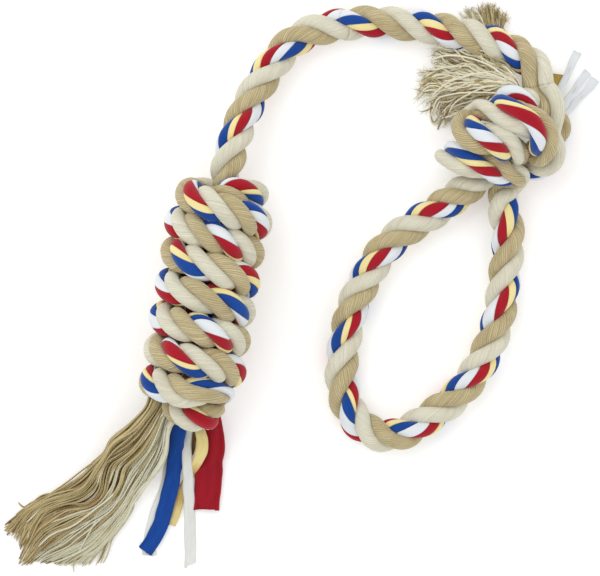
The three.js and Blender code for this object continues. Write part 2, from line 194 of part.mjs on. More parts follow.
function toManifold(geometry) {
  const g = geometry.clone();
  for (const name of Object.keys(g.attributes)) if (name !== 'position') g.deleteAttribute(name);
  const m = mergeVertices(g, 1e-4);
  // faces point outwards
  const a = m.index.array, at = (i) => new THREE.Vector3().fromBufferAttribute(m.attributes.position, i);
  let volume = 0;
  for (let i = 0; i < a.length; i += 3) volume += at(a[i]).dot(at(a[i + 1]).cross(at(a[i + 2])));
  if (volume < 0) for (let i = 0; i < a.length; i += 3) [a[i + 1], a[i + 2]] = [a[i + 2], a[i + 1]];
  const mesh = new Mesh({
    numProp: 3,
    vertProperties: new Float32Array(m.attributes.position.array),
    triVerts: new Uint32Array(m.index.array),
  });
  mesh.merge();
  return new Manifold(mesh);
}
function toGeometry(solid) {
  const mesh = solid.getMesh();
  const g = new THREE.BufferGeometry();
  const p = new Float32Array(mesh.numVert * 3);
  for (let i = 0; i < mesh.numVert; i++) for (let k = 0; k < 3; k++) p[i * 3 + k] = mesh.vertProperties[i * mesh.numProp + k];
  g.setAttribute('position', new THREE.BufferAttribute(p, 3));
  g.setIndex(new THREE.BufferAttribute(new Uint32Array(mesh.triVerts), 1));
  return g;
}

// ---- strand centre lines ----
const axisTop = new THREE.Vector3((224 - 300) * PX, (288 - 186) * PX, 51 * PX);
const axisDir = new THREE.Vector3(-0.164, -0.986, 0).normalize();
const tangent = centre.map((c, i) => centre[Math.min(i + 1, N - 1)].clone().sub(centre[Math.max(i - 1, 0)]).normalize());
const strandPoint = (i, k) => {
  const t = tangent[i];
  const u = toCream[i].clone().addScaledVector(t, -toCream[i].dot(t)).normalize();
  const v = new THREE.Vector3().crossVectors(t, u);
  const a = (2 * Math.PI * k) / 3;
  const off = u.multiplyScalar(Math.cos(a)).addScaledVector(v, Math.sin(a)).multiplyScalar(radius[i] * HELIX_SHARE);
  if (along[i] > KNOT_FROM) {
    const rho = centre[i].clone().sub(axisTop);
    rho.addScaledVector(axisDir, -rho.dot(axisDir));
    if (rho.length() > 11) { rho.normalize(); off.addScaledVector(rho, -off.dot(rho) * (1 - KNOT_PRESS)); }
  }
  return centre[i].clone().add(off);
};
const KNOT_FROM = BENDS.arc_knot.at;
const STRANDS = ['cream', 'colour', 'tan'];
const line = STRANDS.map((_, k) => centre.map((_, i) => strandPoint(i, k)));

// each strand is as thick as its neighbours leave room for
const thick = STRANDS.map(() => radius.map((r) => r * STRAND_SHARE));
function segmentGap(p1, q1, p2, q2) {
  const d1 = q1.clone().sub(p1), d2 = q2.clone().sub(p2), r = p1.clone().sub(p2);
  const a = d1.dot(d1), e = d2.dot(d2), f = d2.dot(r), c = d1.dot(r), b = d1.dot(d2), den = a * e - b * b;
  let s = den > 1e-9 ? THREE.MathUtils.clamp((b * f - c * e) / den, 0, 1) : 0;
  let t = (b * s + f) / e;
  if (t < 0) { t = 0; s = THREE.MathUtils.clamp(-c / a, 0, 1); } else if (t > 1) { t = 1; s = THREE.MathUtils.clamp((b - c) / a, 0, 1); }
  return p1.clone().addScaledVector(d1, s).distanceTo(p2.clone().addScaledVector(d2, t));
}
{
  const pairs = [];
  const reach = ROPE_DIAMETER * 1.1;
  for (let k = 0; k < 3; k++) for (let m = k; m < 3; m++) for (let i = 0; i < N - 1; i++) for (let j = m === k ? i + 2 : 0; j < N - 1; j++) {
    if (m === k && along[j] - along[i] < 14) continue;
    if (line[k][i].distanceTo(line[m][j]) > reach) continue;
    const d = segmentGap(line[k][i], line[k][i + 1], line[m][j], line[m][j + 1]);
    if (d < 9) pairs.push([k, i, m, j, d]);
  }
  const full = thick.map((t) => t.slice());
  for (const [k, i, m, j, d] of pairs) {
    const a = Math.max(full[k][i], full[k][i + 1]), b = Math.max(full[m][j], full[m][j + 1]);
    const share = Math.max(d - GAP, 1.2) / (a + b);
    if (share < 1) for (const [n, q] of [[k, i], [k, i + 1], [m, j], [m, j + 1]]) thick[n][q] = Math.min(thick[n][q], full[n][q] * share);
  }
}

// a closed round tube through points, with a radius at each
function sweep(points, radii, sides) {
  const n = points.length;
  const g = new THREE.CylinderGeometry(1, 1, 1, sides, n - 1, false);
  const dir = points.map((_, i) => points[Math.min(i + 1, n - 1)].clone().sub(points[Math.max(i - 1, 0)]).normalize());
  const e1 = [];
  let v = Math.abs(dir[0].z) < 0.9 ? new THREE.Vector3(0, 0, 1) : new THREE.Vector3(1, 0, 0);
  for (let i = 0; i < n; i++) {
    v = v.clone().addScaledVector(dir[i], -v.dot(dir[i])).normalize();
    e1.push(v);
  }
  const p = g.attributes.position;
  for (let i = 0; i < p.count; i++) {
    const row = Math.round((p.getY(i) + 0.5) * (n - 1));
    const e2 = new THREE.Vector3().crossVectors(e1[row], dir[row]);
    const q = points[row].clone().addScaledVector(e1[row], p.getX(i) * radii[row]).addScaledVector(e2, p.getZ(i) * radii[row]);
    p.setXYZ(i, q.x, q.y, q.z);
  }
  return g;
}

// the length of one strand between two places along the rope
function strandLength(k, from, to) {
  const pts = [], rad = [];
  const put = (s) => {
    let i = 0;
    while (i < N - 2 && along[i + 1] < s) i++;
    const f = THREE.MathUtils.clamp((s - along[i]) / (along[i + 1] - along[i]), 0, 1);
    pts.push(line[k][i].clone().lerp(line[k][i + 1], f));
    rad.push(Math.min(THREE.MathUtils.lerp(thick[k][i], thick[k][i + 1], f)));
  };
  put(from);
  for (let i = 0; i < N; i++) if (along[i] > from + 1.2 && along[i] < to - 1.2) { pts.push(line[k][i]); rad.push(thick[k][i]); }
  put(to);
  return toManifold(sweep(pts, rad, STRAND_SIDES));
}
function sphereAt(b, r) {
  const g = new THREE.SphereGeometry(r, 20, 14);
  g.translate(...b.p);
  return toManifold(g);
}
// everything on one side of a bend: side +1 is further along the rope
function halfAt(b, side) {
  const g = new THREE.BoxGeometry(19, 19, 14);
  g.translate(0, 0, 7 * side);
  g.applyQuaternion(new THREE.Quaternion().setFromUnitVectors(new THREE.Vector3(0, 0, 1), new THREE.Vector3(...b.t).normalize()));
  g.translate(...b.p);
  return toManifold(g);
}
// socket: the end stops outside the hollow; ball: the end fills the hollow
function socketEnd(solid, b) { return solid.subtract(sphereAt(b, JOINT_RADIUS)); }
function ballEnd(solid, b, side) { return solid.subtract(halfAt(b, side).subtract(sphereAt(b, JOINT_RADIUS - GAP))); }

const group = new THREE.Group();
function add(name, geometry, color, roughness = 0.95) {
  const m = new THREE.Mesh(geometry, new THREE.MeshStandardMaterial({ color: new THREE.Color(...color), roughness, metalness: 0 }));
  m.name = name;
  group.add(m);
}

// ---- rope lengths, one solid for each strand of each length ----
const BALL_REACH = JOINT_RADIUS + 1.5;
const lengths = [
  ['ball_end', 0, 'loop_left', null, 'socket'],
  ['loop', 'loop_left', 'loop_right', 'ball', 'ball'],
  ['ball_standing', 'loop_right', 'arc_ball', 'socket', 'ball'],
  ['arc', 'arc_ball', 'arc_knot', 'socket', 'ball'],
  ['barrel', 'arc_knot', along[N - 1], 'socket', null],
];
for (const [name, a, b, endA, endB] of lengths) {
  const A = BENDS[a], B = BENDS[b];
  const from = A ? A.at - (endA === 'ball' ? BALL_REACH : 0) : a;
  const to = B ? B.at + (endB === 'ball' ? BALL_REACH : 0) : b;
  STRANDS.forEach((s, k) => {
    let solid = strandLength(k, from, to);
    if (endA === 'socket') solid = socketEnd(solid, A);
    if (endB === 'socket') solid = socketEnd(solid, B);
    if (endA === 'ball') solid = ballEnd(solid, A, -1);
    if (endB === 'ball') solid = ballEnd(solid, B, 1);
    const parts = solid.decompose().sort((p, q) => q.volume() - p.volume());
    add(`${name}_${s}_strand`, toGeometry(parts[0]), s === 'cream' ? COLORS.cream : s === 'tan' ? COLORS.tan : COLORS.lead);
  });
}

// ---- flat strips and yarn tassels: stations of left edge, right edge, underside, top (grid units) ----
function ribbon(stations, across, crown = 0, steps = 1) {
  const st = [];
  for (let i = 0; i < stations.length - 1; i++) for (let j = 0; j < steps; j++) st.push(stations[i].map((v, q) => v + ((stations[i + 1][q] - v) * j) / steps));
  st.push(stations[stations.length - 1]);
  const n = st.length;
  const g = new THREE.BoxGeometry(1, 1, 1, across, n - 1, 1);
  const p = g.attributes.position;
  for (let i = 0; i < p.count; i++) {
    const row = Math.round((0.5 - p.getY(i)) * (n - 1));
    const f = p.getX(i) + 0.5;
    const [xl, yl, xr, yr, z0, z1] = st[row];
    const x = xl + (xr - xl) * f, y = yl + (yr - yl) * f;
    const round = 1 - crown * Math.pow(2 * Math.abs(f - 0.5), 2.5);
    const mid = (z0 + z1) / 2;
    const low = z0 + (mid - z0) * (1 - round) * (z0 > 1 ? 1 : 0);
    const z = p.getZ(i) > 0 ? low + (z1 - low) * Math.max(round, 0.35) : low;
    p.setXYZ(i, (x - 300) * PX, (288 - y) * PX, z * PX);
  }
  return toGeometry(toManifold(g));
}
const T = STRIP_THICKNESS / PX;
// strip along a centre line: [x, y, width, underside]
function strip(points, thickness = T) {
  const n = points.length;
  return ribbon(points.map(([x, y, w, z], i) => {
    const a = points[Math.max(i - 1, 0)], b = points[Math.min(i + 1, n - 1)];
    const dx = b[0] - a[0], dy = b[1] - a[1], l = Math.hypot(dx, dy);
    const nx = -dy / l, ny = dx / l;
    return [x + (nx * w) / 2, y + (ny * w) / 2, x - (nx * w) / 2, y - (ny * w) / 2, z, z + thickness];
  }), 1);
}

// barrel knot's tassel and strips
add('barrel_tassel_tan', ribbon([
  [146, 408, 156.6, 414.5, 8, 34], [119, 428, 138.7, 435.5, 1, 30], [95, 460, 113.6, 464.9, 0, 22],
  [62, 487, 85.5, 497.7, 0, 18], [32, 508, 57.8, 530, 0, 12], [3, 534, 32, 560, 0, 6],
], 4, 0.6), COLORS.tan);
add('barrel_tassel_cream', ribbon([
  [158.4, 414.5, 163, 421, 6, 30], [140.5, 435.5, 160, 440, 1, 28], [115.4, 464.9, 150, 464.5, 0, 22],
  [87.3, 497.7, 129, 501, 0, 18], [59.6, 530, 107, 537, 0, 12], [33.8, 560, 89, 567, 0, 6],
], 4, 0.6), COLORS.cream);
add('barrel_strip_blue', strip([[180, 436, 14, 15], [178, 448, 15, 9], [176, 462, 16, 5], [172, 482, 16, 3.2], [166, 503, 16, 3], [156, 534, 16, 3], [146, 554, 16, 3]]), COLORS.blue);
add('barrel_strip_white_a', strip([[166, 434, 8, 5], [166.5, 450, 8, 2], [165, 468, 8, 0], [158, 498, 9, 0], [149, 528, 9, 0], [139, 566, 10, 0]]), COLORS.white);
add('barrel_strip_white_b', strip([[194, 436, 9, 16], [192.5, 450, 10, 9], [190.5, 466, 10, 5], [190, 482, 11, 3.2], [190, 520, 11, 3], [190, 573, 11, 3]]), COLORS.white);
add('barrel_strip_yellow', strip([[203.5, 436, 7, 12], [201, 450, 7, 5], [196, 468, 8, 0], [188, 489, 8, 0], [182, 508, 8, 0], [179, 528, 8, 0]]), COLORS.yellow);
add('barrel_strip_red', strip([[220, 437, 17, 12], [217.8, 450, 21, 4], [213.8, 466, 22, 0], [212.2, 490, 22, 0], [210.2, 511, 23, 0]], 2 * T), COLORS.red);

// ball knot's tassel and strips
add('ball_tassel_fan', ribbon([
  [488.5, 84, 488.5, 102, 44, 65], [478, 76, 478, 102, 42, 62], [462, 66, 463, 106, 22, 52], [444, 60, 449, 113, 6, 34], [430, 62, 439, 122, 0, 18], [417, 72, 432, 130, 0, 7],
], 4, 0.6), COLORS.cream);
add('ball_tassel_tuft', ribbon([
  [498, 86, 510, 84, 8, 24], [486, 62, 507, 62, 1, 15], [474, 40, 507, 40, 0, 12], [463, 20, 508, 20, 0, 8], [459, 8, 508, 1, 0, 6],
], 3, 0.5), COLORS.tan);
add('ball_strip_white_a', strip([[563, 91, 7, 12], [568, 77, 8, 4], [573, 64, 8, 0], [579, 49, 8, 0]]), COLORS.white);
add('ball_strip_white_b', strip([[568, 96.5, 7, 12], [577, 88, 7, 4], [586, 79, 8, 0], [593, 72, 8, 0]], 2 * T), COLORS.white);
add('ball_strip_white_c', strip([[576, 105.5, 7, 12], [584, 97, 7, 4], [591, 89, 8, 0], [597.5, 82, 8, 0]]), COLORS.white);
add('ball_strip_gold', strip([[555, 89, 6, 10], [557, 82, 8, 4], [560, 72, 9, 0]]), COLORS.gold);


// ---- set the toy's box on the origin ----
const box = new THREE.Box3();
for (const m of group.children) { m.geometry.computeBoundingBox(); box.union(m.geometry.boundingBox); }
const shift = new THREE.Vector3(-(box.min.x + box.max.x) / 2, -(box.min.y + box.max.y) / 2, -box.min.z);
for (const m of group.children) { m.geometry.translate(shift.x, shift.y, shift.z); m.geometry.computeVertexNormals(); }

export default group;
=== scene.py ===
import math
import bpy
import numpy as np
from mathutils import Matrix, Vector


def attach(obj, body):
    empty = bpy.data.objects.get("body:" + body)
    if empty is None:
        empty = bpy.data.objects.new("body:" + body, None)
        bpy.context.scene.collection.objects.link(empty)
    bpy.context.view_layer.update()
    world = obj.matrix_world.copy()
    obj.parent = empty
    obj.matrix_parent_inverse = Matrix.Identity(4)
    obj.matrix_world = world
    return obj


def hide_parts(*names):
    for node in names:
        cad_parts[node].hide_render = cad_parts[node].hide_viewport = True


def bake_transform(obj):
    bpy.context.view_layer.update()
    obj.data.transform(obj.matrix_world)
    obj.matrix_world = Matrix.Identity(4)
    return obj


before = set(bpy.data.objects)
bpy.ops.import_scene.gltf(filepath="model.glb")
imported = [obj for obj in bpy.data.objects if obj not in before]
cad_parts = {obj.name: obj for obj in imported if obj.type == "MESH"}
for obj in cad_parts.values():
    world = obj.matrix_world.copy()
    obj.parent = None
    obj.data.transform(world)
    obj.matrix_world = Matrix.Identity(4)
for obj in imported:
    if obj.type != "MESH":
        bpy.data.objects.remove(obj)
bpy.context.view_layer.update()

# ------------------------------------------------------------------ layout
# The toy's layout grid: one step is 0.47 mm, x to the right, y down the lay-out sheet.
PX = 0.47e-3
SHIFT = np.array([-0.80632782e-3, -0.47000122e-3, 0.0])
ROPE_R = 0.008                 # rope radius
HELIX = 9.1 / 17               # strand centre's distance from the rope axis, share of the radius
STRAND = 7.95 / 17             # strand radius, same share
YARNS = 18                     # yarns that show round a cotton strand
STEP = 0.001                   # ring spacing along the rope


def W(x, y, z=0.0):
    return np.array([(x - 300) * PX, (288 - y) * PX, z * PX]) + SHIFT


# rope: x, y, z in mm; direction to the cream strand; radius in mm;
# angles round the colour strand where its blue, yellow, red and white strips start, degrees
ROPE = [
    (93.17,85.71,23.21,0.693,-0.648,-0.316,6.11,782,707,638,571), (94.75,86.63,24.53,0.680,-0.499,-0.538,6.63,750,675,606,539), (96.24,87.33,25.62,0.624,-0.341,-0.703,7.02,723,648,579,511),
    (98.29,88.00,26.96,0.550,-0.093,-0.830,7.37,688,613,544,476), (100.21,88.32,28.10,0.451,0.143,-0.881,7.54,657,582,513,446), (102.25,88.38,29.07,0.404,0.377,-0.833,7.72,613,539,470,402),
    (104.28,87.98,29.95,0.432,0.578,-0.693,7.32,566,492,422,356), (106.07,87.24,30.35,0.431,0.724,-0.539,6.80,529,454,385,318), (107.27,86.17,29.87,0.585,0.707,-0.398,6.11,500,425,357,289),
    (107.43,85.01,28.27,0.751,0.554,-0.358,5.41,474,399,331,261), (107.24,83.83,25.41,0.907,0.389,-0.161,4.75,437,360,294,221), (107.55,82.74,21.34,0.971,0.134,0.199,4.56,390,312,247,171),
    (109.12,82.23,17.75,0.809,-0.129,0.573,4.41,347,269,205,127), (111.26,82.07,15.51,0.559,-0.354,0.750,4.27,315,235,172,93), (113.37,81.92,14.10,0.423,-0.533,0.733,4.23,288,208,146,64),
    (114.94,81.64,12.94,0.378,-0.665,0.644,4.23,266,186,124,42), (116.35,81.21,11.63,0.282,-0.776,0.564,4.23,245,164,103,19), (117.72,80.69,10.31,0.122,-0.848,0.515,4.42,222,141,80,-4),
    (119.13,80.01,9.10,-0.113,-0.860,0.497,5.05,199,118,57,-28), (120.64,78.76,7.99,-0.495,-0.698,0.518,5.85,171,90,30,-57), (121.63,76.84,7.31,-0.813,-0.347,0.468,6.22,142,61,1,-87),
    (121.92,74.63,7.00,-0.953,-0.010,0.302,6.53,112,30,-29,-118), (121.59,72.40,6.89,-0.961,0.267,0.073,6.33,80,-2,-61,-151), (120.72,70.32,6.92,-0.858,0.479,-0.186,6.04,47,-36,-94,-185),
    (119.37,68.52,7.08,-0.669,0.589,-0.453,5.67,13,-70,-127,-220), (117.60,67.18,7.46,-0.486,0.530,-0.695,5.21,-22,-105,-162,-256), (115.60,66.43,8.21,-0.458,0.293,-0.839,4.77,-58,-142,-198,-293),
    (113.22,66.16,9.68,-0.625,-0.089,-0.775,4.62,-104,-188,-245,-340), (110.96,65.95,12.20,-0.675,-0.529,-0.514,4.54,-161,-246,-301,-399), (109.37,65.02,16.01,-0.276,-0.892,-0.357,4.48,-234,-319,-374,-474),
    (109.38,63.45,19.94,0.294,-0.850,-0.436,4.70,-308,-394,-447,-550), (110.77,62.00,23.34,0.670,-0.465,-0.579,4.95,-378,-465,-517,-622), (112.13,61.52,25.42,0.829,-0.150,-0.539,5.20,-422,-510,-562,-668),
    (112.96,61.80,26.87,0.894,0.094,-0.437,5.67,-451,-539,-590,-698), (113.41,62.61,28.28,0.842,0.331,-0.426,6.15,-481,-569,-620,-729), (113.64,63.65,29.60,0.705,0.489,-0.514,6.59,-511,-600,-649,-760),
    (113.75,64.98,31.05,0.498,0.632,-0.594,6.96,-545,-635,-684,-796), (113.70,66.50,32.72,0.223,0.728,-0.649,7.28,-584,-675,-723,-837), (113.50,67.85,34.14,-0.037,0.703,-0.710,7.56,-620,-711,-758,-874),
    (113.02,69.69,35.83,-0.360,0.522,-0.773,7.84,-669,-761,-806,-926), (112.33,71.40,37.12,-0.580,0.257,-0.773,8.01,-712,-805,-850,-972), (111.39,73.15,38.20,-0.704,-0.044,-0.709,8.18,-758,-852,-895,-1019),
    (110.00,75.04,39.16,-0.729,-0.352,-0.587,8.26,-809,-903,-945,-1070), (108.48,76.56,39.85,-0.673,-0.564,-0.478,8.30,-845,-940,-982,-1107), (106.73,77.85,40.46,-0.572,-0.728,-0.379,8.32,-876,-971,-1012,-1138),
    (104.55,79.02,41.01,-0.446,-0.856,-0.260,8.32,-906,-1001,-1043,-1168), (102.48,79.90,41.25,-0.370,-0.921,-0.124,8.30,-934,-1028,-1070,-1195), (100.11,80.78,41.13,-0.327,-0.944,0.033,8.22,-961,-1055,-1097,-1221),
    (98.00,81.47,40.70,-0.356,-0.919,0.169,8.14,-984,-1078,-1121,-1244), (96.01,82.13,39.88,-0.430,-0.845,0.318,7.89,-1010,-1103,-1148,-1269), (94.11,82.69,38.79,-0.515,-0.672,0.532,7.60,-1051,-1142,-1189,-1308),
    (92.30,83.12,37.52,-0.625,-0.342,0.702,7.32,-1104,-1194,-1243,-1360), (90.62,83.42,36.04,-0.698,-0.002,0.716,6.87,-1149,-1238,-1289,-1404), (89.08,83.60,34.40,-0.716,0.260,0.648,6.41,-1184,-1271,-1324,-1438),
    (87.47,83.69,32.44,-0.689,0.496,0.529,5.92,-1217,-1304,-1357,-1470), (86.00,83.64,30.37,-0.631,0.678,0.378,5.54,-1247,-1333,-1387,-1500), (84.59,83.35,28.28,-0.543,0.814,0.208,5.30,-1275,-1361,-1416,-1528),
    (83.15,82.71,26.67,-0.490,0.872,-0.012,5.05,-1302,-1388,-1444,-1554), (81.72,81.74,25.71,-0.510,0.818,-0.265,5.08,-1328,-1413,-1470,-1580), (80.02,80.29,25.38,-0.593,0.605,-0.532,5.37,-1361,-1446,-1503,-1612),
    (78.65,78.95,25.84,-0.707,0.253,-0.660,5.96,-1395,-1479,-1537,-1646), (77.63,77.69,26.97,-0.753,-0.241,-0.612,6.61,-1438,-1521,-1581,-1688), (77.17,76.56,28.52,-0.561,-0.660,-0.499,7.04,-1488,-1570,-1631,-1737),
    (77.24,75.37,30.44,-0.150,-0.859,-0.489,7.41,-1546,-1627,-1690,-1794), (77.80,74.25,32.32,0.231,-0.787,-0.572,7.74,-1600,-1679,-1745,-1846), (78.94,73.06,34.25,0.490,-0.514,-0.704,7.92,-1652,-1730,-1798,-1897),
    (80.36,72.09,35.71,0.560,-0.179,-0.809,8.06,-1696,-1773,-1843,-1940), (82.11,71.25,36.85,0.504,0.179,-0.845,8.17,-1741,-1815,-1888,-1983), (84.36,70.45,37.71,0.374,0.545,-0.751,8.26,-1802,-1875,-1949,-2043),
    (86.49,69.83,38.11,0.282,0.795,-0.538,8.32,-1867,-1940,-2014,-2108), (88.67,69.24,38.23,0.255,0.936,-0.244,8.32,-1934,-2008,-2082,-2176), (91.10,68.54,38.04,0.304,0.946,0.115,8.31,-2007,-2082,-2154,-2249),
    (93.20,67.84,37.59,0.414,0.815,0.406,8.17,-2064,-2139,-2211,-2306), (95.17,67.03,36.86,0.555,0.554,0.620,8.04,-2109,-2184,-2256,-2352), (96.94,66.09,35.82,0.645,0.198,0.738,7.61,-2152,-2227,-2299,-2395),
    (98.49,65.10,34.51,0.615,-0.189,0.766,7.06,-2197,-2272,-2344,-2440), (99.89,64.19,32.99,0.480,-0.558,0.677,6.53,-2243,-2318,-2390,-2487), (101.12,63.46,31.25,0.276,-0.853,0.442,6.07,-2291,-2366,-2438,-2535),
    (102.00,62.94,29.24,-0.039,-0.982,0.185,5.65,-2339,-2415,-2487,-2585), (102.38,62.52,26.76,-0.485,-0.864,0.135,5.21,-2395,-2471,-2543,-2642), (102.15,61.96,24.01,-0.855,-0.458,0.244,4.84,-2459,-2534,-2607,-2708),
    (101.73,61.16,21.64,-0.979,0.033,0.202,4.62,-2517,-2593,-2665,-2768), (101.05,60.03,19.47,-0.849,0.524,0.066,4.38,-2577,-2652,-2725,-2829), (99.98,58.84,17.88,-0.569,0.802,-0.181,4.23,-2630,-2705,-2778,-2884),
    (98.70,57.79,16.80,-0.278,0.840,-0.466,4.23,-2677,-2752,-2826,-2933), (97.18,56.87,15.94,-0.007,0.683,-0.730,4.23,-2724,-2800,-2873,-2982), (95.28,55.96,15.13,0.207,0.309,-0.928,4.30,-2779,-2855,-2928,-3039),
    (93.28,55.14,14.48,0.338,-0.153,-0.928,4.40,-2834,-2910,-2984,-3097), (91.27,54.27,13.93,0.432,-0.567,-0.702,4.63,-2889,-2965,-3039,-3154), (89.05,53.17,13.41,0.518,-0.823,-0.231,5.13,-2952,-3028,-3103,-3219),
    (87.17,51.99,12.99,0.504,-0.824,0.257,5.57,-3008,-3084,-3159,-3277), (85.33,50.73,12.66,0.337,-0.655,0.676,6.07,-3064,-3140,-3215,-3335), (83.23,49.34,12.36,0.059,-0.288,0.956,6.65,-3128,-3204,-3279,-3401),
    (81.32,48.16,12.11,-0.196,0.115,0.974,7.13,-3184,-3260,-3336,-3459), (79.40,47.01,11.85,-0.406,0.489,0.772,7.46,-3241,-3317,-3392,-3517), (77.25,45.70,11.50,-0.543,0.765,0.345,7.80,-3304,-3380,-3456,-3581),
    (75.39,44.48,11.16,-0.544,0.831,-0.115,7.99,-3360,-3437,-3512,-3638), (73.56,43.20,10.81,-0.418,0.729,-0.542,7.99,-3416,-3493,-3568,-3695), (71.76,41.88,10.45,-0.195,0.489,-0.850,7.99,-3472,-3548,-3624,-3750),
    (69.75,40.38,10.06,0.098,0.116,-0.988,7.99,-3540,-3617,-3692,-3819), (67.95,39.06,9.74,0.331,-0.239,-0.913,7.99,-3606,-3682,-3758,-3884), (66.14,37.75,9.45,0.492,-0.547,-0.677,7.99,-3674,-3750,-3826,-3952),
    (64.07,36.31,9.15,0.564,-0.775,-0.286,7.99,-3749,-3825,-3901,-4027), (62.20,35.07,8.92,0.536,-0.837,0.107,7.99,-3812,-3889,-3965,-4091), (60.31,33.85,8.73,0.439,-0.761,0.478,7.99,-3872,-3949,-4024,-4151),
    (58.17,32.50,8.54,0.270,-0.532,0.802,7.99,-3932,-4009,-4084,-4211), (56.26,31.30,8.40,0.089,-0.244,0.966,7.99,-3979,-4055,-4131,-4257), (54.36,30.10,8.29,-0.102,0.076,0.992,7.99,-4021,-4097,-4172,-4297),
    (52.22,28.73,8.19,-0.305,0.411,0.859,7.99,-4064,-4139,-4215,-4337), (50.35,27.48,8.12,-0.458,0.640,0.617,7.99,-4100,-4175,-4250,-4369), (48.50,26.18,8.07,-0.566,0.771,0.294,7.99,-4135,-4209,-4284,-4400),
    (46.48,24.65,8.02,-0.613,0.782,-0.113,7.99,-4174,-4248,-4323,-4435), (44.73,23.22,8.00,-0.573,0.677,-0.461,7.99,-4210,-4283,-4358,-4467), (43.05,21.72,7.99,-0.452,0.485,-0.749,7.99,-4248,-4321,-4395,-4502),
    (41.24,19.93,7.99,-0.221,0.210,-0.952,7.99,-4295,-4367,-4442,-4547), (39.74,18.25,7.99,0.047,-0.040,-0.998,7.99,-4341,-4413,-4488,-4593), (38.33,16.49,7.99,0.338,-0.255,-0.906,7.99,-4392,-4465,-4539,-4644),
    (36.86,14.42,7.99,0.633,-0.424,-0.648,7.99,-4456,-4528,-4603,-4708), (35.64,12.52,7.99,0.808,-0.498,-0.314,7.99,-4515,-4588,-4662,-4767), (34.49,10.58,7.99,0.862,-0.503,0.068,7.99,-4575,-4647,-4722,-4827),
    (33.22,8.38,7.99,0.761,-0.430,0.485,7.99,-4640,-4713,-4787,-4892), (32.12,6.41,7.99,0.543,-0.304,0.783,7.99,-4695,-4768,-4842,-4947), (31.02,4.45,7.99,0.240,-0.134,0.961,7.99,-4744,-4817,-4891,-4996),
    (29.79,2.23,7.99,-0.144,0.079,0.986,7.99,-4795,-4869,-4943,-5046), (28.72,0.24,7.99,-0.471,0.248,0.847,7.99,-4836,-4914,-4986,-5087), (27.69,-1.77,7.99,-0.733,0.361,0.577,7.99,-4876,-4958,-5028,-5126),
    (26.61,-4.07,7.99,-0.901,0.401,0.169,7.99,-4920,-5006,-5074,-5169), (25.74,-6.15,7.99,-0.906,0.358,-0.224,7.99,-4960,-5050,-5116,-5208), (24.96,-8.26,7.99,-0.769,0.265,-0.581,7.99,-5001,-5095,-5159,-5249),
    (24.19,-10.68,7.99,-0.467,0.137,-0.874,7.99,-5052,-5147,-5211,-5299), (23.59,-12.86,7.99,-0.112,0.029,-0.993,7.99,-5101,-5196,-5260,-5348), (23.05,-15.05,7.99,0.264,-0.061,-0.963,7.99,-5154,-5249,-5313,-5401),
    (22.51,-17.53,7.99,0.638,-0.133,-0.758,7.99,-5215,-5310,-5374,-5462), (22.06,-19.74,7.99,0.873,-0.170,-0.458,7.99,-5270,-5365,-5429,-5517), (21.64,-21.96,7.99,0.979,-0.183,-0.093,7.99,-5325,-5421,-5485,-5572),
    (21.18,-24.45,7.99,0.930,-0.166,0.328,7.99,-5386,-5481,-5545,-5633), (20.80,-26.68,7.99,0.747,-0.126,0.653,7.99,-5438,-5533,-5597,-5685), (20.43,-28.90,7.99,0.459,-0.071,0.886,7.99,-5486,-5581,-5645,-5733),
    (20.07,-31.42,7.99,0.061,-0.008,0.998,7.99,-5536,-5632,-5695,-5783), (19.81,-33.66,7.99,-0.306,0.032,0.952,7.99,-5578,-5675,-5737,-5824), (19.61,-35.90,7.99,-0.632,0.047,0.774,7.99,-5617,-5717,-5776,-5862),
    (19.47,-38.44,7.99,-0.893,0.030,0.448,7.99,-5660,-5763,-5819,-5903), (19.44,-40.69,7.99,-0.996,-0.009,0.091,7.99,-5698,-5805,-5856,-5939), (19.51,-42.95,7.99,-0.959,-0.055,-0.280,7.99,-5737,-5846,-5895,-5977),
    (19.73,-45.48,7.99,-0.756,-0.090,-0.649,7.99,-5783,-5895,-5941,-6022), (20.06,-47.71,7.99,-0.461,-0.082,-0.884,7.99,-5827,-5940,-5986,-6066), (20.53,-49.92,7.99,-0.105,-0.025,-0.994,7.99,-5877,-5990,-6035,-6116),
    (21.21,-52.36,7.99,0.301,0.096,-0.949,7.99,-5941,-6054,-6099,-6180), (21.97,-54.49,7.99,0.603,0.239,-0.761,7.99,-6002,-6115,-6161,-6241), (22.88,-56.55,7.99,0.801,0.385,-0.459,7.99,-6066,-6179,-6225,-6305),
    (24.07,-58.79,7.99,0.861,0.508,-0.036,7.99,-6139,-6251,-6297,-6377), (25.30,-60.69,7.99,0.763,0.542,0.352,7.99,-6200,-6313,-6359,-6439), (26.68,-62.47,7.99,0.551,0.473,0.688,7.99,-6257,-6370,-6416,-6496),
    (28.44,-64.30,7.99,0.240,0.259,0.936,7.99,-6314,-6426,-6472,-6553), (30.17,-65.75,7.99,-0.025,-0.034,0.999,7.99,-6360,-6471,-6518,-6600), (32.05,-66.99,7.99,-0.219,-0.373,0.902,7.99,-6405,-6513,-6562,-6645),
    (34.32,-68.14,7.99,-0.307,-0.723,0.619,7.99,-6453,-6557,-6610,-6695), (36.44,-68.89,7.99,-0.268,-0.928,0.259,7.99,-6496,-6596,-6652,-6740), (38.65,-69.38,7.99,-0.151,-0.978,-0.143,7.99,-6539,-6636,-6694,-6784),
    (41.18,-69.58,7.99,-0.005,-0.827,-0.563,7.99,-6589,-6682,-6743,-6835), (43.43,-69.45,7.99,0.064,-0.536,-0.842,7.99,-6635,-6727,-6789,-6882), (45.65,-69.06,7.99,0.039,-0.165,-0.985,7.99,-6684,-6775,-6838,-6931),
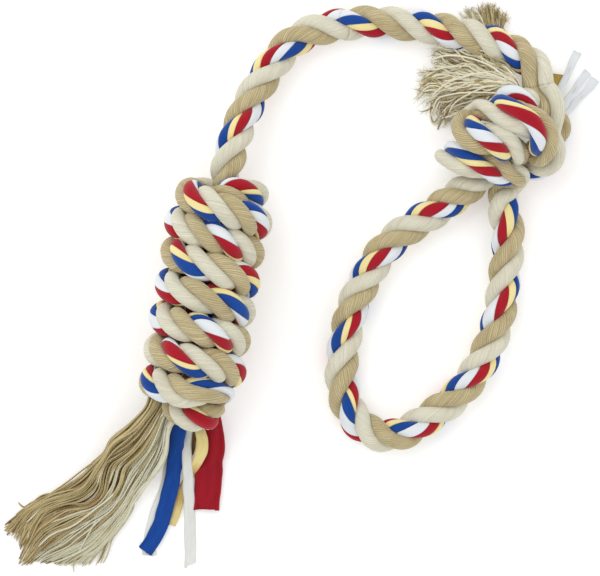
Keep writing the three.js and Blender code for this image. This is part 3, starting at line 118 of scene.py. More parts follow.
    (47.82,-68.43,7.99,-0.073,0.212,-0.974,7.99,-6739,-6830,-6893,-6986), (50.17,-67.48,7.99,-0.261,0.563,-0.784,7.99,-6806,-6897,-6960,-7053), (52.18,-66.45,7.99,-0.425,0.761,-0.490,7.99,-6869,-6960,-7023,-7116),
    (54.11,-65.29,7.99,-0.532,0.837,-0.126,7.99,-6931,-7023,-7086,-7178), (56.23,-63.88,7.99,-0.542,0.785,0.300,7.99,-6999,-7090,-7153,-7246), (58.07,-62.59,7.99,-0.447,0.633,0.632,7.99,-7054,-7145,-7208,-7301),
    (59.92,-61.29,7.99,-0.279,0.399,0.873,7.99,-7103,-7194,-7257,-7350), (62.01,-59.85,7.99,-0.048,0.071,0.996,7.99,-7151,-7242,-7305,-7398), (63.88,-58.59,7.99,0.159,-0.236,0.959,7.99,-7190,-7280,-7344,-7438),
    (65.74,-57.32,7.99,0.350,-0.505,0.789,7.99,-7226,-7316,-7381,-7476), (67.81,-55.85,7.99,0.524,-0.709,0.471,7.99,-7266,-7355,-7421,-7517), (69.60,-54.47,7.99,0.622,-0.774,0.120,7.99,-7301,-7390,-7457,-7553),
    (71.33,-53.02,7.99,0.641,-0.727,-0.248,7.99,-7338,-7426,-7494,-7591), (73.19,-51.29,7.99,0.548,-0.562,-0.619,7.99,-7382,-7471,-7538,-7636), (74.77,-49.68,7.99,0.369,-0.349,-0.861,7.99,-7425,-7514,-7582,-7680),
    (76.29,-48.01,7.99,0.121,-0.106,-0.987,7.99,-7474,-7562,-7630,-7729), (77.92,-46.07,7.99,-0.197,0.160,-0.967,7.99,-7533,-7622,-7690,-7788), (79.32,-44.30,7.99,-0.468,0.356,-0.809,7.99,-7589,-7678,-7746,-7844),
    (80.65,-42.48,7.99,-0.687,0.489,-0.538,7.99,-7647,-7735,-7803,-7902), (82.09,-40.39,7.99,-0.825,0.546,-0.146,7.99,-7712,-7800,-7868,-7967), (83.31,-38.49,7.99,-0.828,0.512,0.226,7.99,-7768,-7856,-7924,-8023),
    (84.46,-36.55,7.99,-0.713,0.412,0.567,7.99,-7821,-7910,-7978,-8076), (85.70,-34.33,7.99,-0.458,0.245,0.855,7.99,-7876,-7964,-8032,-8131), (86.74,-32.33,7.99,-0.152,0.076,0.985,7.99,-7921,-8009,-8077,-8175),
    (87.72,-30.30,7.99,0.184,-0.087,0.979,7.99,-7965,-8050,-8119,-8217), (88.78,-27.99,7.99,0.536,-0.237,0.810,7.99,-8014,-8094,-8163,-8263), (89.67,-25.92,7.99,0.778,-0.323,0.539,7.99,-8056,-8133,-8202,-8302),
    (90.51,-23.83,7.99,0.915,-0.355,0.194,7.99,-8098,-8171,-8241,-8341), (91.39,-21.44,7.99,0.919,-0.323,-0.224,7.99,-8146,-8214,-8284,-8385), (92.11,-19.30,7.99,0.787,-0.248,-0.565,7.99,-8189,-8253,-8324,-8425),
    (92.74,-17.14,7.99,0.542,-0.149,-0.827,7.99,-8233,-8295,-8366,-8468), (93.36,-14.68,7.99,0.172,-0.039,-0.984,7.99,-8284,-8345,-8417,-8518), (93.82,-12.47,7.99,-0.191,0.037,-0.981,7.99,-8333,-8393,-8465,-8566),
    (94.22,-10.25,7.99,-0.530,0.087,-0.843,7.99,-8383,-8444,-8516,-8617), (94.60,-7.74,7.99,-0.825,0.117,-0.553,7.99,-8442,-8503,-8575,-8676), (94.90,-5.50,7.99,-0.969,0.126,-0.213,7.99,-8495,-8556,-8628,-8729),
    (95.18,-3.26,7.99,-0.980,0.122,0.156,7.99,-8548,-8609,-8680,-8781), (95.49,-0.75,7.99,-0.833,0.102,0.543,7.99,-8605,-8666,-8737,-8839), (95.77,1.49,7.99,-0.581,0.072,0.811,7.99,-8653,-8714,-8786,-8887),
    (96.05,3.73,7.99,-0.249,0.031,0.968,7.99,-8698,-8760,-8831,-8932), (96.37,6.25,7.99,0.162,-0.022,0.987,7.99,-8744,-8807,-8880,-8981), (96.67,8.49,7.99,0.505,-0.069,0.861,7.99,-8782,-8848,-8923,-9023),
    (96.96,10.72,8.00,0.779,-0.105,0.618,7.99,-8818,-8888,-8965,-9063), (97.29,13.24,8.02,0.961,-0.123,0.248,7.99,-8858,-8932,-9011,-9109), (97.56,15.48,8.05,0.987,-0.112,-0.117,7.99,-8894,-8971,-9053,-9149),
    (97.80,17.72,8.09,0.882,-0.073,-0.465,7.99,-8931,-9012,-9095,-9191), (98.00,20.25,8.17,0.626,-0.007,-0.779,7.99,-8976,-9059,-9143,-9239), (98.09,22.50,8.28,0.309,0.051,-0.950,7.99,-9020,-9103,-9188,-9283),
    (98.05,24.76,8.44,-0.049,0.077,-0.996,7.99,-9067,-9150,-9234,-9330), (97.85,27.27,8.67,-0.439,0.045,-0.897,7.99,-9121,-9204,-9289,-9384), (97.53,29.49,8.93,-0.721,-0.037,-0.692,7.99,-9170,-9252,-9338,-9433),
    (97.09,31.68,9.24,-0.904,-0.142,-0.404,7.96,-9219,-9302,-9387,-9482), (96.50,34.12,9.62,-0.969,-0.245,-0.018,7.92,-9274,-9357,-9443,-9538), (95.94,36.28,9.97,-0.897,-0.287,0.336,7.89,-9323,-9406,-9492,-9587),
    (95.42,38.45,10.33,-0.711,-0.258,0.654,7.85,-9372,-9455,-9539,-9634), (95.05,40.93,10.71,-0.386,-0.157,0.909,7.81,-9426,-9509,-9592,-9688), (95.21,42.88,11.01,-0.070,-0.144,0.987,7.76,-9468,-9551,-9633,-9729),
    (96.17,44.88,11.40,0.218,-0.371,0.903,7.32,-9515,-9599,-9680,-9777), (97.56,46.57,11.96,0.386,-0.647,0.658,6.64,-9563,-9647,-9727,-9824), (99.22,48.21,12.95,0.528,-0.806,0.266,5.68,-9616,-9700,-9780,-9876),
    (100.67,49.39,14.21,0.646,-0.758,-0.091,5.11,-9663,-9747,-9826,-9923), (102.10,50.39,16.05,0.841,-0.454,-0.296,4.90,-9715,-9800,-9878,-9975), (102.92,51.12,18.02,0.970,-0.045,-0.239,4.72,-9762,-9846,-9924,-10021),
    (103.15,51.73,20.19,0.924,0.381,-0.043,4.94,-9808,-9893,-9969,-10067), (102.64,52.19,22.33,0.661,0.735,0.152,5.22,-9854,-9939,-10014,-10112), (101.16,52.56,24.36,0.266,0.958,0.111,5.65,-9905,-9990,-10064,-10162),
    (99.27,52.89,25.56,0.114,0.975,-0.192,6.14,-9949,-10035,-10108,-10206), (97.20,53.47,26.23,0.177,0.821,-0.543,6.63,-9993,-10079,-10150,-10249), (95.17,54.39,26.59,0.174,0.577,-0.798,7.04,-10036,-10122,-10192,-10291),
    (93.22,55.46,26.97,-0.029,0.365,-0.930,7.42,-10078,-10165,-10233,-10332), (91.22,56.36,27.48,-0.190,0.108,-0.976,7.76,-10119,-10207,-10273,-10373), (89.09,57.00,27.89,-0.197,-0.199,-0.960,7.80,-10168,-10256,-10321,-10422),
    (86.91,57.52,28.14,-0.179,-0.476,-0.861,7.83,-10224,-10311,-10376,-10477), (84.71,58.03,28.25,-0.178,-0.698,-0.694,7.84,-10281,-10368,-10433,-10534), (82.25,58.64,28.20,-0.198,-0.866,-0.459,7.81,-10341,-10429,-10494,-10595),
    (80.09,59.23,27.97,-0.232,-0.942,-0.244,7.78,-10388,-10475,-10541,-10642), (77.71,59.95,27.44,-0.299,-0.954,-0.015,7.70,-10432,-10519,-10586,-10686), (75.70,60.61,26.66,-0.385,-0.908,0.164,7.54,-10464,-10551,-10618,-10718),
    (73.84,61.24,25.54,-0.495,-0.813,0.307,7.38,-10491,-10578,-10644,-10745), (72.20,61.76,24.08,-0.626,-0.670,0.400,7.17,-10516,-10603,-10669,-10770), (70.69,62.14,22.08,-0.781,-0.458,0.426,6.88,-10545,-10632,-10699,-10799),
    (69.69,62.24,20.06,-0.908,-0.231,0.350,6.61,-10574,-10661,-10727,-10828), (69.17,62.13,18.16,-0.988,-0.015,0.156,6.16,-10601,-10688,-10755,-10855), (69.18,61.82,15.93,-0.949,0.227,-0.218,5.54,-10636,-10723,-10790,-10889),
    (69.84,61.48,14.10,-0.751,0.439,-0.493,5.05,-10669,-10756,-10823,-10922), (70.97,61.16,12.51,-0.496,0.661,-0.563,4.73,-10704,-10792,-10858,-10958), (72.58,60.87,10.95,-0.219,0.878,-0.425,4.40,-10747,-10835,-10901,-11001),
    (74.38,60.63,9.62,0.025,0.991,-0.133,4.16,-10793,-10880,-10947,-11046), (76.07,60.46,8.61,0.190,0.963,0.192,4.04,-10834,-10922,-10988,-11087), (78.11,60.29,7.66,0.291,0.768,0.571,3.89,-10882,-10970,-11037,-11136),
    (80.23,60.14,6.91,0.291,0.416,0.862,3.76,-10932,-11020,-11087,-11185), (82.41,59.98,6.34,0.209,-0.032,0.977,3.76,-10983,-11071,-11138,-11235), (84.62,59.80,5.95,0.084,-0.481,0.873,3.76,-11033,-11122,-11189,-11286),
    (86.86,59.59,5.70,-0.039,-0.828,0.560,3.76,-11084,-11173,-11240,-11336), (89.09,59.33,5.57,-0.122,-0.986,0.109,3.76,-11135,-11224,-11291,-11387), (91.61,58.97,5.56,-0.133,-0.895,-0.426,3.77,-11191,-11280,-11348,-11443),
    (93.83,58.59,5.66,-0.055,-0.600,-0.798,3.88,-11240,-11330,-11398,-11492), (96.03,58.15,5.88,0.088,-0.183,-0.979,4.01,-11289,-11378,-11446,-11539), (98.21,57.69,6.23,0.246,0.259,-0.934,4.15,-11335,-11425,-11493,-11586),
    (100.35,57.23,6.76,0.338,0.638,-0.692,4.40,-11380,-11470,-11538,-11631), (102.45,56.83,7.51,0.293,0.895,-0.337,4.79,-11424,-11514,-11582,-11674), (104.45,56.56,8.51,0.086,0.996,0.017,5.18,-11465,-11555,-11623,-11715),
    (106.37,56.46,9.69,-0.193,0.932,0.308,5.57,-11504,-11594,-11662,-11753), (108.02,56.48,10.78,-0.373,0.744,0.555,5.81,-11538,-11629,-11697,-11787), (109.94,56.46,11.96,-0.443,0.371,0.816,6.05,-11576,-11666,-11735,-11825),
    (111.95,56.42,12.99,-0.437,-0.087,0.895,6.30,-11606,-11696,-11765,-11855), (114.17,56.94,14.09,-0.208,-0.505,0.838,6.48,-11657,-11748,-11817,-11907), (116.59,58.44,15.33,0.212,-0.680,0.702,6.66,-11726,-11818,-11885,-11976),
    (118.37,60.70,16.49,0.482,-0.547,0.685,6.83,-11758,-11851,-11917,-12007), (119.21,63.76,17.65,0.575,-0.304,0.760,6.92,-11764,-11857,-11923,-12013), (118.96,66.69,18.64,0.576,-0.134,0.807,7.00,-11767,-11860,-11926,-12016),
    (118.08,68.92,19.49,0.558,-0.052,0.828,7.05,-11770,-11863,-11929,-12019), (116.98,71.02,20.38,0.597,-0.089,0.798,7.05,-11774,-11867,-11933,-12023), (116.51,73.09,21.16,0.649,-0.197,0.735,7.05,-11781,-11874,-11939,-12030),
    (116.48,75.21,21.92,0.680,-0.294,0.671,7.10,-11788,-11881,-11947,-12037), (116.74,77.30,22.75,0.694,-0.372,0.616,7.15,-11795,-11888,-11953,-12043), (117.27,79.66,23.50,0.723,-0.292,0.626,7.22,-11797,-11891,-11956,-12046),
    (117.70,82.16,23.68,0.743,-0.038,0.669,7.34,-11791,-11884,-11949,-12040), (117.64,85.21,23.17,0.675,0.281,0.683,7.48,-11774,-11867,-11933,-12023), (116.76,88.05,22.25,0.538,0.518,0.665,7.62,-11758,-11851,-11917,-12007),
    (115.27,90.25,21.33,0.426,0.654,0.625,7.76,-11754,-11846,-11912,-12003), (113.56,92.04,20.75,0.536,0.536,0.653,7.87,-11754,-11846,-11912,-12003), (112.52,93.72,20.73,0.706,0.259,0.659,7.93,-11753,-11846,-11912,-12003),
    (111.89,95.87,20.96,0.761,0.086,0.643,7.99,-11753,-11846,-11912,-12002), (111.53,98.10,21.06,0.787,0.135,0.602,7.99,-11763,-11855,-11922,-12012), (111.05,100.30,20.95,0.826,0.278,0.490,7.99,-11786,-11879,-11945,-12035),
    (110.26,102.40,20.69,0.835,0.452,0.312,7.99,-11820,-11913,-11978,-12068), (109.11,104.31,20.36,0.810,0.586,-0.015,7.99,-11881,-11976,-12039,-12130), (107.46,106.20,19.95,0.669,0.587,-0.457,7.99,-11969,-12067,-12127,-12217),
    (105.76,107.64,19.60,0.473,0.436,-0.766,7.99,-12044,-12144,-12202,-12292), (103.92,108.89,19.27,0.250,0.147,-0.957,7.99,-12118,-12218,-12275,-12366), (101.73,110.14,18.93,0.001,-0.274,-0.962,7.99,-12196,-12297,-12353,-12444),
    (99.74,111.16,18.63,-0.192,-0.621,-0.760,7.99,-12266,-12368,-12423,-12514), (97.73,112.13,18.32,-0.335,-0.845,-0.417,7.99,-12333,-12435,-12489,-12580), (95.45,113.19,17.95,-0.421,-0.907,0.031,7.99,-12402,-12504,-12558,-12649),
    (93.42,114.10,17.57,-0.430,-0.800,0.418,7.99,-12460,-12562,-12616,-12707), (91.38,114.95,17.15,-0.387,-0.561,0.732,7.99,-12516,-12616,-12673,-12764), (89.06,115.83,16.60,-0.300,-0.181,0.937,7.99,-12576,-12674,-12734,-12825),
    (86.99,116.53,16.05,-0.204,0.196,0.959,7.99,-12628,-12725,-12787,-12877), (84.90,117.16,15.46,-0.093,0.544,0.834,7.99,-12679,-12774,-12838,-12929), (82.55,117.79,14.74,0.046,0.834,0.549,7.99,-12735,-12829,-12896,-12986),
    (80.46,118.33,14.08,0.171,0.962,0.214,7.99,-12784,-12877,-12946,-13037), (78.37,118.84,13.40,0.279,0.949,-0.148,7.99,-12834,-12925,-12996,-13086), (76.01,119.42,12.66,0.355,0.774,-0.525,7.99,-12889,-12979,-13052,-13142),
    (73.92,119.93,12.00,0.363,0.503,-0.784,7.99,-12938,-13027,-13102,-13192), (71.81,120.45,11.38,0.311,0.165,-0.936,7.99,-12988,-13075,-13152,-13243), (69.43,121.02,10.71,0.198,-0.240,-0.950,7.99,-13044,-13130,-13210,-13300),
    (67.29,121.50,10.17,0.074,-0.568,-0.819,7.99,-13096,-13180,-13262,-13352), (65.14,121.96,9.67,-0.043,-0.821,-0.569,7.99,-13151,-13235,-13318,-13408), (62.69,122.42,9.19,-0.138,-0.973,-0.186,7.99,-13215,-13299,-13382,-13472),
    (60.49,122.78,8.83,-0.178,-0.966,0.187,7.99,-13272,-13357,-13439,-13529), (58.28,123.11,8.53,-0.177,-0.826,0.535,7.99,-13327,-13412,-13493,-13583), (55.78,123.43,8.26,-0.150,-0.533,0.833,7.99,-13384,-13469,-13550,-13640),
    (53.55,123.70,8.06,-0.089,-0.193,0.977,7.99,-13430,-13515,-13596,-13686), (51.31,123.94,7.96,-0.011,0.171,0.985,7.99,-13472,-13559,-13639,-13729), (48.78,124.18,7.91,0.047,0.554,0.831,7.99,-13517,-13606,-13685,-13775),
    (46.53,124.39,7.92,0.076,0.816,0.573,7.99,-13556,-13647,-13725,-13815), (44.28,124.57,7.95,0.079,0.968,0.237,7.99,-13594,-13688,-13765,-13855), (41.75,124.76,7.99,0.066,0.982,-0.176,7.99,-13638,-13734,-13810,-13899),
    (39.50,124.90,8.00,0.048,0.853,-0.520,7.99,-13678,-13776,-13851,-13940), (37.25,125.02,8.01,0.026,0.608,-0.793,7.99,-13719,-13819,-13894,-13982), (34.71,125.10,8.01,0.007,0.237,-0.971,7.99,-13770,-13870,-13944,-14033),
    (32.46,125.10,8.00,0.006,-0.128,-0.992,7.99,-13820,-13920,-13994,-14083), (30.20,125.03,7.99,0.026,-0.476,-0.879,7.99,-13874,-13974,-14048,-14137), (27.67,124.84,7.99,0.073,-0.787,-0.613,7.99,-13939,-14038,-14111,-14200),
    (25.43,124.60,7.99,0.115,-0.951,-0.287,7.99,-13996,-14096,-14169,-14258), (23.19,124.30,7.99,0.139,-0.987,0.077,7.99,-14053,-14152,-14225,-14314), (20.68,123.93,7.99,0.132,-0.872,0.472,7.99,-14112,-14212,-14285,-14374),
    (18.45,123.59,7.99,0.097,-0.646,0.757,7.99,-14159,-14259,-14334,-14423), (16.22,123.25,7.98,0.047,-0.333,0.942,7.99,-14205,-14305,-14381,-14469), (13.71,122.83,7.96,-0.017,0.069,0.998,7.99,-14256,-14356,-14433,-14521),
    (11.50,122.40,7.96,-0.087,0.415,0.906,7.99,-14301,-14402,-14479,-14568), (9.30,121.89,7.96,-0.173,0.699,0.694,7.99,-14346,-14447,-14525,-14613), (6.86,121.20,7.99,-0.279,0.895,0.348,7.99,-14397,-14498,-14577,-14665),
    (4.73,120.45,8.05,-0.362,0.932,-0.008,7.99,-14441,-14544,-14622,-14710), (2.66,119.56,8.12,-0.407,0.839,-0.361,7.99,-14486,-14589,-14668,-14756), (0.40,118.40,8.23,-0.382,0.606,-0.698,7.99,-14537,-14639,-14719,-14807),
    (-1.51,117.21,8.34,-0.278,0.326,-0.904,7.99,-14581,-14684,-14765,-14853), (-3.32,115.87,8.46,-0.097,0.029,-0.995,7.99,-14626,-14730,-14812,-14900), (-5.02,114.39,8.60,0.139,-0.236,-0.962,7.99,-14675,-14779,-14862,-14950),
    (-6.79,112.58,8.77,0.418,-0.459,-0.784,7.99,-14733,-14838,-14922,-15009), (-8.26,110.88,8.94,0.628,-0.576,-0.523,7.99,-14787,-14892,-14977,-15064), (-9.66,109.12,9.14,0.764,-0.613,-0.200,7.99,-14842,-14947,-15032,-15119),
    (-11.18,107.11,9.41,0.804,-0.565,0.186,7.99,-14902,-15008,-15092,-15180), (-12.49,105.29,9.68,0.739,-0.447,0.504,7.99,-14954,-15059,-15143,-15231), (-13.78,103.47,9.99,0.590,-0.274,0.760,7.99,-15004,-15108,-15191,-15279),
    (-15.20,101.40,10.39,0.343,-0.043,0.938,7.99,-15056,-15159,-15241,-15328), (-16.44,99.55,10.78,0.079,0.165,0.983,7.99,-15101,-15202,-15282,-15370), (-17.65,97.70,11.20,-0.197,0.348,0.917,7.99,-15144,-15245,-15323,-15412),
    (-18.99,95.61,11.73,-0.486,0.493,0.721,7.99,-15193,-15293,-15369,-15458), (-20.15,93.74,12.22,-0.695,0.550,0.463,7.99,-15236,-15335,-15409,-15500), (-21.28,91.85,12.75,-0.834,0.529,0.156,7.99,-15279,-15378,-15450,-15541),
    (-22.49,89.71,13.36,-0.883,0.423,-0.206,7.99,-15328,-15425,-15496,-15588), (-23.51,87.77,13.92,-0.820,0.271,-0.504,7.99,-15371,-15468,-15537,-15630), (-24.47,85.81,14.48,-0.658,0.093,-0.747,7.99,-15416,-15511,-15578,-15672),
    (-25.48,83.58,15.14,-0.376,-0.107,-0.920,7.99,-15466,-15561,-15626,-15720), (-26.33,81.57,15.73,-0.069,-0.262,-0.963,7.99,-15513,-15607,-15670,-15765), (-27.13,79.56,16.35,0.253,-0.378,-0.890,7.99,-15563,-15656,-15719,-15813),
    (-28.00,77.29,17.08,0.583,-0.444,-0.680,7.99,-15622,-15714,-15778,-15871), (-28.75,75.27,17.77,0.806,-0.436,-0.399,7.99,-15675,-15768,-15832,-15925), (-29.46,73.27,18.51,0.933,-0.353,-0.068,7.99,-15728,-15822,-15886,-15979),
    (-30.25,71.00,19.34,0.928,-0.196,0.317,7.99,-15787,-15881,-15945,-16039), (-30.90,68.97,20.07,0.785,-0.027,0.619,7.99,-15836,-15930,-15995,-16089), (-31.52,66.91,20.77,0.523,0.128,0.842,7.99,-15883,-15977,-16042,-16137),
    (-32.16,64.57,21.51,0.133,0.251,0.959,7.99,-15936,-16030,-16095,-16191), (-32.70,62.46,22.10,-0.243,0.301,0.922,7.99,-15983,-16077,-16142,-16240), (-33.23,60.33,22.61,-0.583,0.303,0.754,7.99,-16030,-16124,-16189,-16288),
    (-33.82,57.90,23.03,-0.860,0.270,0.434,7.98,-16082,-16176,-16241,-16342), (-34.37,55.72,23.21,-0.966,0.246,0.077,7.70,-16128,-16222,-16287,-16389), (-34.93,53.53,23.10,-0.918,0.273,-0.287,7.42,-16174,-16268,-16333,-16436),
    (-35.46,51.39,22.66,-0.733,0.329,-0.595,7.13,-16219,-16313,-16378,-16481), (-35.91,48.98,21.97,-0.432,0.282,-0.857,6.81,-16268,-16362,-16427,-16532), (-36.08,46.78,21.51,-0.110,0.156,-0.982,6.49,-16311,-16405,-16470,-16576),
    (-35.97,44.53,21.32,0.236,0.018,-0.972,6.12,-16353,-16447,-16512,-16619), (-35.55,42.05,21.66,0.599,-0.079,-0.797,5.43,-16400,-16493,-16558,-16666), (-35.06,39.68,22.42,0.849,-0.014,-0.528,4.71,-16445,-16538,-16604,-16712),
    (-34.66,37.30,23.20,0.980,0.049,-0.194,4.50,-16490,-16583,-16648,-16758), (-34.56,34.85,23.85,0.984,0.028,0.178,4.39,-16534,-16626,-16692,-16803), (-34.64,32.63,24.23,0.878,0.014,0.478,4.29,-16572,-16665,-16730,-16842),
    (-34.77,30.38,24.43,0.690,-0.004,0.724,4.20,-16610,-16703,-16768,-16880), (-34.94,27.85,24.49,0.404,-0.025,0.914,4.14,-16652,-16745,-16810,-16923), (-35.15,25.60,24.49,0.115,-0.018,0.993,4.14,-16690,-16781,-16847,-16961),
    (-35.40,23.36,24.48,-0.181,0.015,0.983,4.14,-16726,-16818,-16883,-16998), (-35.75,20.85,24.46,-0.488,0.066,0.870,4.14,-16767,-16859,-16924,-17040), (-36.09,18.62,24.45,-0.715,0.110,0.690,4.14,-16804,-16895,-16960,-17077),
    (-36.44,16.39,24.44,-0.880,0.143,0.452,4.14,-16840,-16931,-16996,-17114), (-36.86,13.89,24.44,-0.977,0.162,0.140,4.14,-16880,-16971,-17036,-17155), (-37.23,11.66,24.44,-0.975,0.163,-0.150,4.14,-16916,-17006,-17072,-17191),
    (-37.60,9.43,24.44,-0.892,0.149,-0.428,4.14,-16952,-17042,-17108,-17228), (-38.02,6.93,24.44,-0.708,0.118,-0.696,4.14,-16992,-17082,-17148,-17269), (-38.39,4.71,24.44,-0.480,0.079,-0.874,4.14,-17029,-17118,-17184,-17305),
    (-38.76,2.48,24.44,-0.209,0.034,-0.977,4.14,-17065,-17154,-17220,-17342), (-39.17,-0.02,24.44,0.117,-0.021,-0.993,4.14,-17106,-17194,-17260,-17383), (-39.54,-2.25,24.44,0.400,-0.067,-0.914,4.14,-17143,-17230,-17297,-17421),
    (-39.91,-4.48,24.45,0.650,-0.108,-0.753,4.14,-17180,-17267,-17334,-17458), (-40.33,-6.98,24.45,0.861,-0.143,-0.488,4.14,-17222,-17309,-17375,-17501), (-40.70,-9.21,24.45,0.966,-0.161,-0.200,4.14,-17260,-17346,-17413,-17539),
    (-41.07,-11.43,24.44,0.980,-0.164,0.110,4.14,-17298,-17384,-17451,-17578), (-41.49,-13.93,24.43,0.880,-0.150,0.450,4.14,-17342,-17427,-17494,-17622), (-41.86,-16.16,24.42,0.694,-0.120,0.709,4.14,-17382,-17466,-17533,-17662),
    (-42.24,-18.38,24.41,0.433,-0.075,0.898,4.14,-17422,-17506,-17573,-17703), (-42.66,-20.89,24.41,0.079,-0.012,0.997,4.14,-17468,-17552,-17619,-17750), (-43.03,-23.11,24.42,-0.253,0.047,0.966,4.14,-17510,-17593,-17660,-17792),
    (-43.39,-25.34,24.44,-0.561,0.100,0.822,4.14,-17552,-17635,-17702,-17835), (-43.79,-27.85,24.47,-0.832,0.141,0.536,4.14,-17601,-17683,-17750,-17885), (-44.14,-30.07,24.51,-0.967,0.157,0.203,4.14,-17646,-17726,-17794,-17929),
    (-44.50,-32.30,24.54,-0.974,0.158,-0.165,4.14,-17691,-17771,-17839,-17975), (-44.93,-34.80,24.53,-0.816,0.154,-0.558,4.14,-17744,-17822,-17891,-18028), (-45.34,-37.02,24.46,-0.540,0.143,-0.829,4.14,-17791,-17869,-17938,-18076),
    (-45.76,-39.23,24.32,-0.174,0.117,-0.978,4.15,-17840,-17917,-17986,-18126), (-46.13,-41.73,24.04,0.282,0.098,-0.954,4.18,-17896,-17972,-18041,-18182), (-46.14,-43.96,23.72,0.644,0.182,-0.743,4.21,-17948,-18022,-18091,-18234),
    (-45.64,-46.14,23.39,0.852,0.363,-0.376,4.35,-18000,-18073,-18143,-18287), (-44.72,-48.18,23.13,0.901,0.430,0.062,4.75,-18054,-18126,-18196,-18341), (-43.82,-50.25,23.04,0.823,0.289,0.489,5.11,-18110,-18180,-18250,-18397),
    (-43.16,-52.70,23.19,0.469,0.224,0.854,5.53,-18174,-18242,-18313,-18462), (-42.37,-55.07,23.62,-0.064,0.216,0.974,6.04,-18239,-18306,-18377,-18528), (-41.51,-56.99,24.42,-0.632,0.313,0.709,6.64,-18300,-18365,-18437,-18590),
    (-41.53,-58.19,25.60,-0.822,0.569,0.031,7.00,-18346,-18410,-18481,-18636), (-42.67,-58.98,26.59,-0.594,0.528,-0.607,7.19,-18402,-18464,-18536,-18693), (-44.65,-59.66,27.44,-0.286,-0.053,-0.957,7.28,-18471,-18531,-18604,-18762),
    (-47.10,-60.05,27.98,-0.032,-0.732,-0.681,7.28,-18525,-18585,-18657,-18815), (-49.35,-60.08,28.12,-0.047,-0.985,-0.164,7.27,-18570,-18631,-18704,-18860), (-51.59,-59.83,27.95,-0.208,-0.912,0.352,7.18,-18626,-18689,-18760,-18917),
    (-53.99,-59.23,27.42,-0.400,-0.522,0.754,7.09,-18688,-18752,-18823,-18978), (-55.96,-58.39,26.69,-0.429,-0.039,0.902,6.85,-18740,-18805,-18876,-19031), (-57.61,-57.14,25.79,-0.200,0.376,0.905,6.46,-18793,-18859,-18928,-19084),
    (-58.73,-55.41,24.88,0.275,0.468,0.840,5.99,-18845,-18912,-18981,-19136), (-59.12,-53.30,24.16,0.716,0.195,0.670,5.38,-18897,-18965,-19034,-19188), (-58.92,-51.10,23.73,0.936,-0.128,0.327,4.88,-18948,-19017,-19086,-19240),
    (-58.30,-48.64,23.55,0.941,-0.289,-0.177,4.63,-19006,-19076,-19144,-19298), (-57.59,-46.50,23.58,0.766,-0.239,-0.596,4.53,-19057,-19128,-19195,-19349), (-56.83,-44.38,23.73,0.453,-0.087,-0.887,4.44,-19107,-19180,-19247,-19400),
    (-55.98,-42.00,23.96,-0.003,0.102,-0.995,4.34,-19164,-19238,-19304,-19457), (-55.25,-39.88,24.17,-0.419,0.219,-0.881,4.25,-19215,-19289,-19355,-19508), (-54.59,-37.73,24.35,-0.760,0.259,-0.596,4.16,-19265,-19340,-19406,-19558),
    (-53.96,-35.27,24.49,-0.964,0.224,-0.142,4.14,-19321,-19397,-19462,-19615), (-53.51,-33.06,24.54,-0.941,0.165,0.294,4.14,-19371,-19448,-19513,-19665), (-53.15,-30.84,24.55,-0.731,0.111,0.673,4.14,-19421,-19499,-19563,-19715),
    (-52.81,-28.32,24.51,-0.330,0.059,0.942,4.14,-19477,-19555,-19619,-19771), (-52.52,-26.08,24.47,0.094,0.005,0.996,4.14,-19526,-19605,-19669,-19820), (-52.21,-23.85,24.44,0.497,-0.061,0.865,4.14,-19575,-19655,-19719,-19870),
    (-51.83,-21.34,24.41,0.835,-0.131,0.534,4.14,-19630,-19711,-19774,-19925), (-51.46,-19.11,24.41,0.977,-0.166,0.136,4.14,-19679,-19761,-19824,-19974), (-51.08,-16.89,24.41,0.945,-0.164,-0.284,4.14,-19728,-19811,-19873,-20023),
    (-50.64,-14.39,24.42,0.712,-0.122,-0.691,4.14,-19783,-19866,-19928,-20078), (-50.25,-12.17,24.43,0.373,-0.062,-0.926,4.14,-19832,-19916,-19977,-20127), (-49.86,-9.94,24.44,-0.030,0.007,-1.000,4.14,-19880,-19965,-20026,-20176),
    (-49.44,-7.44,24.44,-0.472,0.079,-0.878,4.14,-19934,-20020,-20081,-20230), (-49.07,-5.22,24.44,-0.781,0.129,-0.611,4.14,-19983,-20069,-20129,-20279), (-48.71,-2.99,24.44,-0.957,0.157,-0.242,4.14,-20031,-20117,-20178,-20327),
    (-48.29,-0.49,24.44,-0.964,0.158,0.216,4.14,-20085,-20172,-20232,-20381), (-47.93,1.74,24.44,-0.799,0.130,0.587,4.14,-20133,-20221,-20280,-20429), (-47.56,3.97,24.46,-0.505,0.079,0.860,4.14,-20181,-20269,-20329,-20478),
    (-47.14,6.47,24.47,-0.079,0.007,0.997,4.14,-20235,-20324,-20383,-20532), (-46.76,8.69,24.48,0.315,-0.056,0.947,4.14,-20283,-20372,-20431,-20580), (-46.39,10.92,24.48,0.658,-0.108,0.746,4.14,-20331,-20420,-20479,-20628),
    (-45.98,13.42,24.47,0.914,-0.146,0.379,4.14,-20385,-20475,-20533,-20681), (-45.61,15.65,24.43,0.987,-0.160,-0.012,4.14,-20432,-20523,-20581,-20729), (-45.26,17.88,24.38,0.903,-0.154,-0.401,4.14,-20480,-20571,-20629,-20777),
    (-44.86,20.38,24.31,0.639,-0.124,-0.759,4.14,-20534,-20625,-20683,-20831), (-44.50,22.61,24.25,0.298,-0.071,-0.952,4.14,-20582,-20673,-20731,-20879), (-44.14,24.84,24.21,-0.086,0.008,-0.996,4.14,-20630,-20721,-20779,-20927),
    (-43.71,27.34,24.24,-0.495,0.120,-0.861,4.14,-20683,-20776,-20833,-20981), (-43.31,29.55,24.40,-0.776,0.209,-0.594,4.14,-20731,-20824,-20881,-21029), (-42.91,31.74,24.77,-0.944,0.228,-0.237,4.19,-20779,-20872,-20929,-21076),
